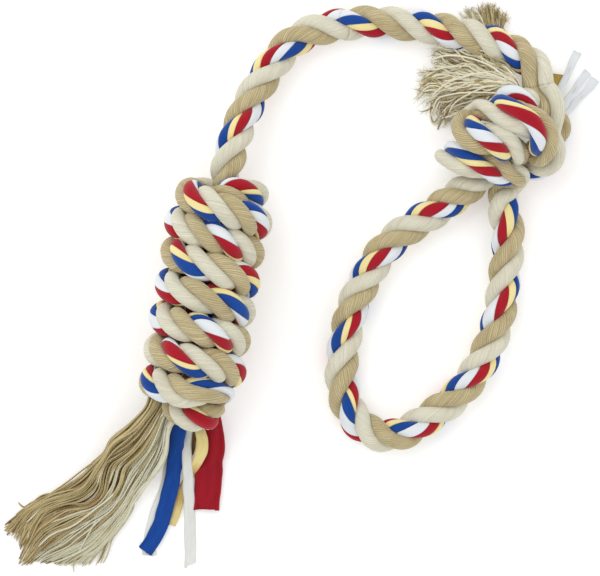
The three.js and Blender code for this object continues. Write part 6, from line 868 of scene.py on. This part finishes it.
def yarn_bundle(name, guides, low, high, count, seed, tan_share, span=(0.0, 1.0), locks=10, pull=0.5, wave=2.0,
                crimp=0.7, drift=0.03, ends=0.10, radius=0.00043, frayed=0, step=0.0011, lift=None, extra=(), low_shade_mat=None, fade=0.0, mats=("yarn_cream", "yarn_tan", "yarn_shade")):
    """Loose yarns that follow guides; low and high give the heights of the bundle's underside and top along it.
    low_shade_mat: the share of the bundle's height, and the yarn colour of its lowest yarns, a darker colour that
    paints shade into the gaps between yarns. fade: how much darker the far end is."""
    g = np.random.default_rng(seed)
    n = 64
    F = guide_field(guides, n)
    K = len(F)
    flat = F.reshape(K, -1)
    t = np.linspace(0, 1, n)
    lo_z = np.interp(t, np.linspace(0, 1, len(low)), low)
    hi_z = np.interp(t, np.linspace(0, 1, len(high)), high)
    b = Build()
    cuts = np.sort(np.r_[span[0], span[1], g.uniform(span[0], span[1], locks - 1)])
    centres = (cuts[:-1] + cuts[1:]) / 2
    lock_wave = smooth_noise(g, n, 15, locks) * wave
    lock_high = g.uniform(0, 1, locks)
    grow = np.clip((t - 0.12) / 0.5, 0, 1) ** 1.2
    for q in range(count):
        s = span[0] + (span[1] - span[0]) * (q + g.uniform(0, 1)) / count
        k = int(np.clip(np.searchsorted(cuts, s) - 1, 0, locks - 1))
        gg = s + (centres[k] - s) * pull * grow + g.normal() * drift * t
        gg = np.clip(gg, -0.06, 1.06)
        kf = gg * (K - 1)
        i = np.clip(np.floor(kf).astype(int), 0, K - 2)
        f = (kf - i)[:, None]
        rows = np.arange(n)
        XY = F[i, rows] * (1 - f) + F[i + 1, rows] * f
        d = np.gradient(XY, axis=0)
        d /= np.linalg.norm(d, axis=1, keepdims=True)
        nrm = np.stack([-d[:, 1], d[:, 0]], -1)
        own = smooth_noise(g, n, 5.5)[0] * crimp * (0.25 + 0.75 * grow) + smooth_noise(g, n, 18)[0] * crimp * 1.4 * grow
        XY = XY + nrm * (lock_wave[k] * grow + own)[:, None]
        level = np.clip(0.45 * lock_high[k] + 0.55 * g.uniform(0, 1) + smooth_noise(g, n, 16)[0] * 0.14, 0, 1)
        z = lo_z + (hi_z - lo_z) * level
        if lift is not None:
            z = z + lift(gg, t)
        z = z + smooth_noise(g, n, 6)[0] * 0.35
        rr = radius * g.uniform(0.86, 1.12)
        z = np.maximum(z, rr / PX * 1.02)
        cut = 1.0 - abs(g.normal()) * ends
        cut = max(cut, 0.55)
        X = grid_points(XY[:, 0], XY[:, 1], z)
        L = arc_length(X)
        keep = np.linspace(0, L[-1] * cut, max(8, int(L[-1] * cut / step)))
        X = np.array([np.interp(keep, L, X[:, c]) for c in range(3)]).T
        X[1:-1] = (X[:-2] + X[2:] + 2 * X[1:-1]) / 4
        r = np.full(len(X), rr)
        r[-1] *= 0.55
        r[-2] *= 0.9
        # painted light: yarns higher in the bundle get a slightly lighter tone, lower ones a darker one
        tone = float(np.clip(0.5 + 0.16 * g.normal() + 0.08 * (level.mean() - 0.5), 0.1, 0.9))
        m = 1 if g.uniform() < tan_share(s) else 0
        # painted shade: the lowest yarns take the darker material, so the gaps between yarns show shade-coloured yarn
        if low_shade_mat and level.mean() < low_shade_mat[0]:
            m = low_shade_mat[1]
        tube(b, X, r, tone + fade * (0.55 - np.linspace(0, 1, len(X))) if fade else tone, 6, m)
        for _ in range(frayed):
            a = X[-1] - (X[-1] - X[-3]) * g.uniform(0, 0.6)
            dr = unit(X[-1] - X[-3]) + g.normal(size=3) * 0.42
            dr[2] *= 0.6
            ln = g.uniform(0.0012, 0.0034)
            bend = g.normal(size=3) * 0.0006
            w = np.linspace(0, 1, 5)[:, None]
            Y = a + unit(dr) * ln * w + bend * w ** 2
            Y[:, 2] = np.maximum(Y[:, 2], 0.0002)
            tube(b, Y, np.linspace(0.00012, 0.00005, 5), min(0.95, tone + 0.2), 3, m)
    for path, m in extra:
        a = np.array(path, float)
        a = catmull(a, np.linspace(0, len(a) - 1, (len(a) - 1) * 14 + 1))
        X = resample(grid_points(a[:, 0], a[:, 1], a[:, 2]), step=step)
        r = np.full(len(X), radius * 1.05)
        r[-1] *= 0.6
        tube(b, X, r, 0.5 + 0.1 * g.normal(), 6, m)
    o = b.make(name, [M[k] for k in mats])
    return o


def from_corner(rows, x0, y0, k):
    """Guide points read off an enlargement: k steps of it to one of the layout grid."""
    return [[(x0 + x / k, y0 + y / k) for x, y in r] for r in rows]


def add_root(guides, dx, dy):
    return [[(g[0][0] + dx, g[0][1] + dy)] + g for g in guides]


LONG = from_corner([
    [(1018, 60), (905, 180), (770, 290), (730, 380), (640, 470), (560, 560), (430, 650), (300, 700), (200, 760), (120, 830)],
    [(1042, 72), (925, 212), (785, 320), (738, 410), (670, 500), (585, 600), (450, 675), (300, 735), (150, 830), (0, 940)],
    [(1064, 78), (940, 230), (800, 330), (745, 430), (680, 520), (600, 620), (480, 690), (300, 760), (210, 850), (110, 1020)],
    [(1100, 100), (960, 300), (840, 400), (745, 450), (705, 560), (690, 650), (600, 730), (420, 760), (270, 880), (170, 1120)],
    [(1130, 120), (1000, 350), (860, 480), (840, 600), (780, 700), (640, 790), (480, 880), (310, 980), (130, 1190)],
    [(1150, 130), (1060, 350), (920, 550), (850, 680), (760, 790), (620, 900), (480, 1000), (360, 1060), (230, 1150)],
    [(1165, 150), (1110, 350), (1000, 560), (900, 700), (820, 820), (700, 950), (560, 1050), (430, 1110), (310, 1160)],
    [(1180, 200), (1155, 380), (1080, 530), (960, 680), (880, 800), (780, 950), (680, 1050), (580, 1130), (520, 1190)],
    [(1188, 230), (1168, 390), (1115, 500), (1005, 610), (925, 700), (900, 800), (815, 930), (745, 1010), (700, 1100), (650, 1180)],
], 0, 398, 7)
LONG = [[(r[0][0] + dx, r[0][1] - 13)] + r for r, dx in zip(LONG, (4, 5, 6, 8, 9, 9, 9, 9, 9))]
STRAYS = [
    ([(118, 448, 16), (100, 458, 12), (84, 469, 8), (66, 483, 5), (47, 496, 3), (32, 505, 2), (23, 508, 1.5), (17, 503, 1.3)], 1),
    ([(116, 455, 15), (97, 467, 10), (77, 482, 6), (57, 494, 4), (38, 504, 3), (27, 508, 2), (20, 512, 1.5), (16.5, 517, 1.2)], 1),
    ([(84, 494, 9), (66, 503, 7), (48, 512, 5), (30, 519, 3), (16, 525, 1.6), (3, 531.5, 1.2)], 1),
    ([(90, 485, 9), (70, 493, 6), (52, 503, 4), (36, 513, 2.5), (22, 523, 1.4), (11, 534, 1.2)], 1),
    ([(96, 520, 9), (86, 538, 7), (78, 553, 4), (73, 564, 2), (73, 573, 1.2)], 0),
    ([(60, 530, 8), (42, 545, 5), (27, 556, 2.5), (18, 565, 1.2)], 1),
]
# painted shade: the tan tail's lowest yarns take the dark brown shade yarn
tan_tail = yarn_bundle("barrel_tail_tan_yarns", LONG, [26, 14, 4, 0.9, 0.9, 0.9, 0.9], [50, 42, 30, 18, 13, 9, 6], 235, 11,
                       lambda s: 0.98 if s < 0.42 else 0.82, span=(0.0, 0.56), locks=12, pull=0.34, wave=1.7, crimp=0.55,
                       drift=0.04, ends=0.07, radius=0.00040, low_shade_mat=(0.42, 2), step=0.00145, fade=0.36, extra=STRAYS)
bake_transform(tan_tail)
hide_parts("barrel_tassel_tan")
# painted shade: the cream tail's lowest yarns take the darker tan yarn
cream_tail = yarn_bundle("barrel_tail_cream_yarns", LONG, [22, 10, 2, 0.9, 0.9, 0.9, 0.9], [44, 35, 24, 13, 9, 6, 4.5], 235, 12,
                         lambda s: 0.30 if s < 0.7 else 0.08, span=(0.52, 1.0), locks=10, pull=0.22, wave=1.0, crimp=0.5,
                         drift=0.04, ends=0.06, radius=0.00040, low_shade_mat=(0.38, 1), step=0.00145, fade=0.75)
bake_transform(cream_tail)
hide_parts("barrel_tassel_cream")

# painted shade: a small lump of yarns, all in the dark shade yarn, fills the shaded gap between the white and yellow
# strip ends
INNER = [
    [(189, 420), (189.5, 434), (188.8, 446), (187.8, 455)],
    [(192, 420), (192.5, 434), (191.6, 446), (190.2, 456)],
    [(195.5, 420), (195.8, 434), (194.6, 446), (192.8, 456)],
]
inner = yarn_bundle("barrel_core_painted_shade_yarns", INNER, [6, 2, 0.9, 0.9], [14, 7.5, 6, 4], 34, 15, lambda s: 1.0, locks=2, pull=0.1,
                    wave=0.3, crimp=0.3, drift=0.03, ends=0.04, radius=0.0004, mats=("yarn_tan", "yarn_shade"))
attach(inner, "barrel_knot")

FAN = from_corner([
    [(880, 630), (760, 520), (600, 420), (450, 330), (330, 290)],
    [(880, 632), (720, 540), (560, 440), (400, 360), (270, 330)],
    [(870, 640), (690, 565), (510, 470), (360, 400), (235, 400)],
    [(865, 650), (670, 590), (490, 520), (330, 460), (215, 470)],
    [(855, 660), (650, 615), (470, 560), (310, 540), (110, 630)],
    [(850, 670), (640, 650), (450, 620), (300, 620), (150, 680)],
    [(840, 680), (640, 680), (460, 680), (300, 690), (65, 715)],
    [(820, 690), (650, 710), (480, 740), (340, 770), (145, 850)],
    [(800, 700), (640, 750), (500, 800), (380, 860), (270, 930)],
    [(780, 710), (620, 790), (500, 850), (400, 900), (300, 970)],
    [(750, 740), (610, 830), (510, 880), (420, 930)],
], 405, 0, 8)
FAN = add_root(FAN, 5, 12)
LOOPS = [
    ([(497, 95, 55), (468, 96, 40), (448, 97, 24), (441, 101, 14), (441, 110, 8), (437, 120, 3), (433, 121, 2), (431, 112, 2), (432, 102, 3)], 1),
    ([(498, 96, 52), (470, 99, 36), (452, 101, 20), (446, 106, 10), (444, 116, 5), (440, 124, 2), (438, 129, 1.2)], 1),
    ([(496, 94, 58), (466, 93, 42), (444, 96, 26), (437, 100, 18), (434, 108, 10), (431, 117, 4), (434, 124, 2), (440, 121, 2)], 0),
    ([(497, 95, 50), (472, 101, 36), (456, 106, 22), (450, 112, 12), (447, 121, 5), (443, 127, 2)], 0),
    ([(506, 80, 62), (488, 66, 52), (466, 58, 46), (448, 56, 40), (437, 58, 30), (431, 61, 22), (437, 66, 20), (446, 66, 22)], 0),
    ([(508, 84, 64), (484, 88, 52), (466, 96, 42), (455, 103, 30), (449, 113, 18)], 0),
    ([(506, 82, 64), (484, 74, 58), (462, 78, 50), (446, 84, 40), (432, 96, 24)], 0),
]
# painted shade: the fan's lowest yarns take the darker tan yarn
fan = yarn_bundle("ball_tail_fan_yarns", FAN, [36, 40, 22, 7, 1.5, 0.9], [57, 62, 50, 33, 20, 12], 330, 13,
                  lambda s: 0.24, locks=18, pull=0.3, wave=2.9, crimp=1.5, drift=0.09, ends=0.13, radius=0.00041, frayed=3,
                  mats=("yarn_fan", "yarn_tan"), low_shade_mat=(0.22, 1), step=0.00145,
                  lift=lambda s, t: np.clip(0.33 - s, 0, 1) * 95 * np.clip(t - 0.35, 0, 1), extra=LOOPS)
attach(fan, "ball_tassel_fan")
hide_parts("ball_tassel_fan")

TUFT = [
    [(504, 86), (492, 62), (478, 40), (466, 24), (459, 15)],
    [(505, 86), (496, 62), (482, 40), (473, 21), (468, 8)],
    [(506, 85), (499, 60), (487, 38), (479, 20), (474, 11)],
    [(507, 85), (501, 60), (491, 38), (486, 19), (483, 2)],
    [(508, 85), (504, 60), (497, 38), (493, 20), (492, 5)],
    [(509, 84), (506, 60), (502, 38), (500, 22), (501, 7)],
    [(510, 84), (508, 60), (505, 40), (505, 28), (510, 15)],
]
tuft = yarn_bundle("ball_tail_tuft_yarns", TUFT, [9, 2, 0.9, 0.9, 0.9], [24, 15, 11, 9, 7], 84, 14,
                   lambda s: 0.1 if s < 0.33 else 0.93, locks=11, pull=0.45, wave=1.4, crimp=0.6, drift=0.06, ends=0.07,
                   radius=0.00048, frayed=3)
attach(tuft, "ball_tassel_tuft")
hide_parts("ball_tassel_tuft")


# ------------------------------------------------------------------ cloth strip ends
def a_y(s, L, a):
    """The layout grid's y along a strip."""
    return np.interp(s, L, a[:, 1])


def cloth_strip(name, mat, body, stations, flat, thick=0.00055, roll=0.00085, seed=1, wrinkle=0.25, pleats=0.0,
                lip=0.0, slant=0.0, step=0.0007, tone=0.5, replaces=None, ragged=0.35, bend=None):
    """A length of jersey whose long edges roll under. Stations: x, y, height of its face's middle, visible width (layout
    grid), sideways tilt in degrees. flat: the cut strip's width in metres. lip: the cut end's curl."""
    g = np.random.default_rng(seed)
    a = np.array(stations, float)
    a = catmull(a, np.linspace(0, len(a) - 1, (len(a) - 1) * 14 + 1))
    X = grid_points(a[:, 0], a[:, 1], a[:, 2])
    L = arc_length(X)
    n = max(12, int(L[-1] / step))
    s = np.linspace(0, L[-1], n)
    X = np.array([np.interp(s, L, X[:, k]) for k in range(3)]).T
    wide = np.interp(s, L, a[:, 3]) * PX
    tilt = np.radians(np.interp(s, L, a[:, 4]))
    T_ = tangents(X)
    if lip:                                     # the cut end curls up a little
        k = max(3, int(lip / step) + 2)
        t0 = T_[-1]
        up = np.array([0, 0, 1.0]) - t0 * t0[2]
        up /= np.linalg.norm(up)
        rc = lip / 1.9
        ang = np.linspace(0, 1.9, k + 1)[1:]
        C = X[-1] + up * rc
        tail = C[None] + rc * (np.sin(ang)[:, None] * t0 - np.cos(ang)[:, None] * up)
        X = np.r_[X, tail]
        wide = np.r_[wide, np.full(k, wide[-1]) * (1 + 0.04 * np.linspace(0, 1, k))]
        tilt = np.r_[tilt, np.full(k, tilt[-1])]
        T_ = np.r_[T_, unit(np.cos(ang)[:, None] * t0 + np.sin(ang)[:, None] * up)]
        n = len(X)
        s = arc_length(X)
    hor = unit(np.cross(T_, np.array([0, 0, 1.0])))
    for i in range(1, n):                       # stays on one side where the end curls over
        if hor[i] @ hor[i - 1] < 0:
            hor[i] = -hor[i]
    nor = unit(np.cross(hor, T_))
    side = hor * np.cos(tilt)[:, None] + nor * np.sin(tilt)[:, None]
    nor = unit(np.cross(side, T_))
    m = 33
    q = np.linspace(-1, 1, m)
    half = flat / 2
    rings, inner = [], []
    wr = smooth_noise(g, n, 14, 3) * wrinkle * 1e-3
    we = smooth_noise(g, n, 9, 2) * 0.00018
    for i in range(n):
        w = wide[i] / 2
        rr = min(roll, w * 0.55)
        arc = max(half - (w - rr), 0.0)
        al = np.abs(q) * half
        lim = w - rr
        flatpart = np.minimum(al, lim)
        ar = np.maximum(al - lim, 0) / rr
        # rolled edge; a tighter turn inside
        spiral = rr * (1 - 0.09 * np.clip(ar - 1.5, 0, 6) / 1.5)
        yy = (flatpart + spiral * np.sin(np.minimum(ar, 5.6))) * np.sign(q)
        zz = -(rr - spiral * np.cos(np.minimum(ar, 5.6)))
        zz = np.where(al > lim, zz, 0.0) * (1 - 0.5 * np.clip((s[i] - s[-1] + 0.016) / 0.012, 0, 1))
        crown = 0.10 * w * (1 - (np.abs(yy) / max(w, 1e-6)) ** 2)
        pl = pleats * (np.cos(q * math.pi * 2.6 + 0.8) * 0.5 + 0.5 * np.cos(q * math.pi * 1.3 - 0.5)) * np.clip((lim - np.abs(yy)) / max(lim, 1e-6) * 3, 0, 1)
        zz = zz + crown + pl + wr[0, i] * q + wr[1, i] * (q ** 2 - 0.4) + wr[2, i] * np.sin(q * 4)
        yy = yy + np.where(q > 0, we[0, i], we[1, i])
        P_ = X[i] + yy[:, None] * side[i] + zz[:, None] * nor[i]
        rings.append(P_)
    R_ = np.array(rings)
    dq = np.gradient(R_, axis=1)
    ds = np.gradient(R_, axis=0)
    nn = unit(np.cross(dq, ds))
    flip = np.sign((nn[:, m // 2] * nor).sum(1))[:, None, None]
    nn = nn * flip
    outer = R_
    inn = R_ - nn * thick
    if ragged or slant:
        e = g.normal(size=m) * ragged * 1e-3
        e = np.convolve(np.pad(e, 2, mode="edge"), [0.1, 0.25, 0.3, 0.25, 0.1], mode="valid")
        e = e + q * slant * 1e-3
        d = (R_[-1] - R_[-2])
        d = unit(d)
        for k in (1, 2, 3, 4, 5):
            outer[-k] += d * e[:, None] * (1.2 - 0.2 * k)
            inn[-k] += d * e[:, None] * (1.2 - 0.2 * k)
    low = min(outer[..., 2].min(), inn[..., 2].min())
    if low < 0.00005:
        for A in (outer, inn):
            A[..., 2] = np.where(A[..., 2] < 0.0014, 0.00005 + (A[..., 2] - low) * (0.00135 / (0.0014 - low)), A[..., 2])
    ring = np.concatenate([outer, inn[:, ::-1]], 1)
    if flip[n // 2, 0, 0] > 0:
        ring = ring[:, ::-1]
    mm = ring.shape[1]
    per = np.r_[0, np.cumsum(np.linalg.norm(np.diff(np.concatenate([ring[n // 2], ring[n // 2][:1]]), axis=0), axis=1))] * 1000
    uvs = np.stack(np.broadcast_arrays(per[None, :], (s * 1000)[:, None]), -1)
    b = Build()
    b.grid(ring, uvs, np.interp(a_y(s, L, a), *tone) if np.ndim(tone) == 2 else tone, caps=False)
    turned = flip[n // 2, 0, 0] > 0
    j = np.arange(m - 1)
    for row, way in ((0, 1.0), (n - 1, -1.0)):  # close the cut ends
        out_i = (mm - 1 - np.arange(m)) if turned else np.arange(m)
        in_i = mm - 1 - out_i
        base = row * mm
        quad = np.stack([base + out_i[j], base + out_i[j + 1], base + in_i[j + 1], base + in_i[j]], -1)
        V = ring.reshape(-1, 3)
        face = np.cross(V[quad[0, 1]] - V[quad[0, 0]], V[quad[0, 3]] - V[quad[0, 0]])
        ahead = (ring[1].mean(0) - ring[0].mean(0)) if row == 0 else (ring[-1].mean(0) - ring[-2].mean(0))
        if (face @ ahead) * way > 0:
            quad = quad[:, ::-1]
        b.f.append(quad)
        b.uv.append(np.tile(uvs[row, 0], (len(quad) * 4, 1)))
        b.smooth.append(np.zeros(len(quad), bool))
        b.mat.append(np.zeros(len(quad), int))
    o = b.make(name, mat)
    if bend:                                    # with bend given, the strip is baked in place rather than attached to its body; the bend points are not read
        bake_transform(o)
    else:
        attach(o, body)
    if replaces:
        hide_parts(replaces)
    return o, float(s[-1])


STRIPS = []


def strip_end(name, colour, body, stations, flat, replaces=None, **kw):
    o, length = cloth_strip(name, M[colour], body, stations, flat, replaces=replaces, **kw)
    STRIPS.append(o)
    return o


strip_end("barrel_end_blue", "blue", "barrel_strip_blue",
          [(186, 414, 24, 14, 0), (181, 424, 21, 14, 0), (177.5, 436, 17, 15.5, 0), (175.8, 450, 12, 16, 0), (174.2, 466, 9, 16, 2), (171.5, 482, 7.5, 15.5, 2), (166.5, 503, 7, 16, 2), (161, 522, 6.5, 16, 0), (152.5, 540, 6, 16, -2), (144.2, 552, 5.6, 15.6, -2)],
          0.0115, "barrel_strip_blue", seed=21, bend=[(178.6, 431, 16), (176.2, 446, 16)])
strip_end("barrel_end_white_a", "white_tail", "barrel_strip_white_a",
          [(184, 416, 12, 11, 0), (178, 432, 8, 11.5, 0), (172.5, 452, 5, 12, 0), (166, 484, 3.6, 12, 0), (154.8, 517, 3.4, 12.5, 0), (149.2, 541, 3.2, 13.5, 0), (148.7, 556, 3.0, 14, 0)],
          0.0120, "barrel_strip_white_a", seed=22)
strip_end("barrel_end_white_b", "white_tail", "barrel_strip_white_b",
          [(194, 414, 20, 9, 0), (189.5, 424, 17, 9, 0), (187.0, 436, 12, 9.5, 0), (186.4, 450, 12, 9.5, 0), (186.8, 466, 12.5, 10, 4), (187.7, 480, 10.5, 10.8, 4), (188.6, 500, 6, 11.4, 0), (189.8, 525, 4.4, 11.5, 0), (190, 548, 4.2, 11.8, -3), (189.6, 566, 4, 12, -3)],
          0.0110, "barrel_strip_white_b", slant=1.8, seed=23, bend=[(188, 431, 14), (186.6, 446, 14)])
# painted shadow: the tone drops to dark ochre between layout y 462 and 512, where the blue strip shades the yellow end
strip_end("barrel_end_yellow", "yellow_tail", "barrel_strip_yellow",
          [(194, 412, 20, 8, 0), (197.5, 422, 17, 9, 0), (201, 434, 22, 11, 0), (201.5, 446, 19, 12, 0), (199.3, 457, 16.5, 11.5, 0), (195, 467, 12, 10, 0), (190, 475, 6, 9.5, 0), (185.5, 484, 2.4, 9.5, 0), (181, 492, 2.4, 9, 0), (177, 506, 2.6, 9, 0), (173.5, 517, 2.8, 9, 0), (170.5, 526, 2.8, 9, 0)],
          0.0102, "barrel_strip_yellow", seed=24, tone=[(400, 462, 474, 500, 512, 530), (0.72, 0.72, 0.12, 0.2, 0.55, 0.6)])
strip_end("barrel_end_red", "red", "barrel_strip_red",
          [(210, 405, 21, 16, 0), (212, 418, 19, 18, 0), (211.5, 432, 15, 24, 0), (211, 446, 11, 28.5, 0), (208.8, 462, 8.5, 28.5, 0), (208.3, 480, 7, 27.5, 0), (207.3, 497, 6, 26.8, 0), (206.6, 510.5, 5, 26.2, 0)],
          0.0210, "barrel_strip_red", seed=25, tone=0.2, pleats=0.0010, roll=0.0011, wrinkle=0.35, ragged=0.4,
          bend=[(212, 431, 13), (211, 446, 13)])
strip_end("ball_end_white_a", "white", "ball_strip_white_a",
          [(549, 108, 18, 7, 0), (555, 99, 14, 7, 0), (562, 87, 9, 7.6, 0), (568.5, 73, 6, 8, 10), (573.5, 61, 5, 8.6, 8), (578.3, 51, 4.4, 9.2, 5)],
          0.0105, "ball_strip_white_a", seed=31, bend=[(559.5, 94, 11), (565, 81, 11)])
strip_end("ball_end_white_b", "white", "ball_strip_white_b",
          [(556, 116, 18, 7, 0), (563.5, 106, 13, 7, 0), (571.5, 94, 8, 7.4, 0), (580, 82, 5.4, 8, 6), (589, 71, 4.4, 9.2, 4)],
          0.0105, "ball_strip_white_b", seed=32, bend=[(565, 102, 11), (574, 90, 11)])
strip_end("ball_end_white_c", "white", "ball_strip_white_c",
          [(561, 120, 16, 7, 0), (569, 111, 12, 7, 0), (578, 100.5, 7, 7.2, 0), (588, 90, 4.6, 8.2, 0), (596.5, 78.5, 4.0, 9.6, 0)],
          0.0105, "ball_strip_white_c", seed=33, bend=[(571.5, 108, 10), (581, 97, 10)])
strip_end("ball_end_gold", "gold", "ball_strip_gold",
          [(549, 104, 16, 6, 0), (552, 96, 12, 7, 0), (555.5, 87, 8, 9.5, 0), (558, 79, 5, 11, 0), (559, 73.5, 4.4, 12, 0)],
          0.0105, "ball_strip_gold", seed=34, ragged=0.12)


# ------------------------------------------------------------------ free rope
def free(i0, i1, backwards=False):
    path = P[i0:i1 + 1]
    if backwards:
        path = path[::-1]
    path = path[::2] if len(path) % 2 else np.r_[path[::2], path[-1:]]


free(iA, iB)
free(iC, iD)
free(iD, iE, backwards=True)

# ------------------------------------------------------------------ camera, light, floor
sc = bpy.context.scene
sc.view_settings.view_transform = "Standard"
sc.view_settings.look = "None"
cam_data = bpy.data.cameras.new("cam")
cam = bpy.data.objects.new("cam", cam_data)
sc.collection.objects.link(cam)
DIST = 3.0
cam_data.sensor_width = 36
cam_data.lens = 36 * DIST / (600 * PX) * 1.0
centre = W(300, 288, 0)
cam.location = (centre[0], centre[1], DIST + 0.012)
cam.rotation_euler = (0, 0, 0)
cam_data.clip_end = 50
sc.camera = cam

floor_me = bpy.data.meshes.new("floor")
floor_me.from_pydata([(-3, -3, 0), (3, -3, 0), (3, 3, 0), (-3, 3, 0)], [], [(0, 1, 2, 3)])
floor = bpy.data.objects.new("floor", floor_me)
sc.collection.objects.link(floor)
fm = bpy.data.materials.new("floor_white")
fm.use_nodes = True
fb = fm.node_tree.nodes["Principled BSDF"]
fb.inputs["Base Color"].default_value = (0.95, 0.95, 0.95, 1)
fb.inputs["Emission Color"].default_value = (1.0, 1.0, 1.0, 1)
fb.inputs["Emission Strength"].default_value = 0.22
fb.inputs["Roughness"].default_value = 0.9
fb.inputs["Specular IOR Level"].default_value = 0.1
floor_me.materials.append(fm)

world = bpy.data.worlds.new("world")
world.use_nodes = True
world.node_tree.nodes["Background"].inputs[0].default_value = (1.0, 1.0, 1.0, 1)
world.node_tree.nodes["Background"].inputs[1].default_value = 0.74
sc.world = world


def area(name, loc, target, size, power):
    d = bpy.data.lights.new(name, "AREA")
    d.shape = "SQUARE"
    d.size = size
    d.energy = power
    o = bpy.data.objects.new(name, d)
    o.location = loc
    o.rotation_mode = "QUATERNION"
    o.rotation_quaternion = (Vector(target) - Vector(loc)).to_track_quat("-Z", "Y")
    sc.collection.objects.link(o)
    return o


area("key", (-0.7, 0.8, 1.3), (0, 0, 0), 1.6, 10.5)
area("fill", (0.9, -0.6, 1.2), (0, 0, 0), 1.4, 4)
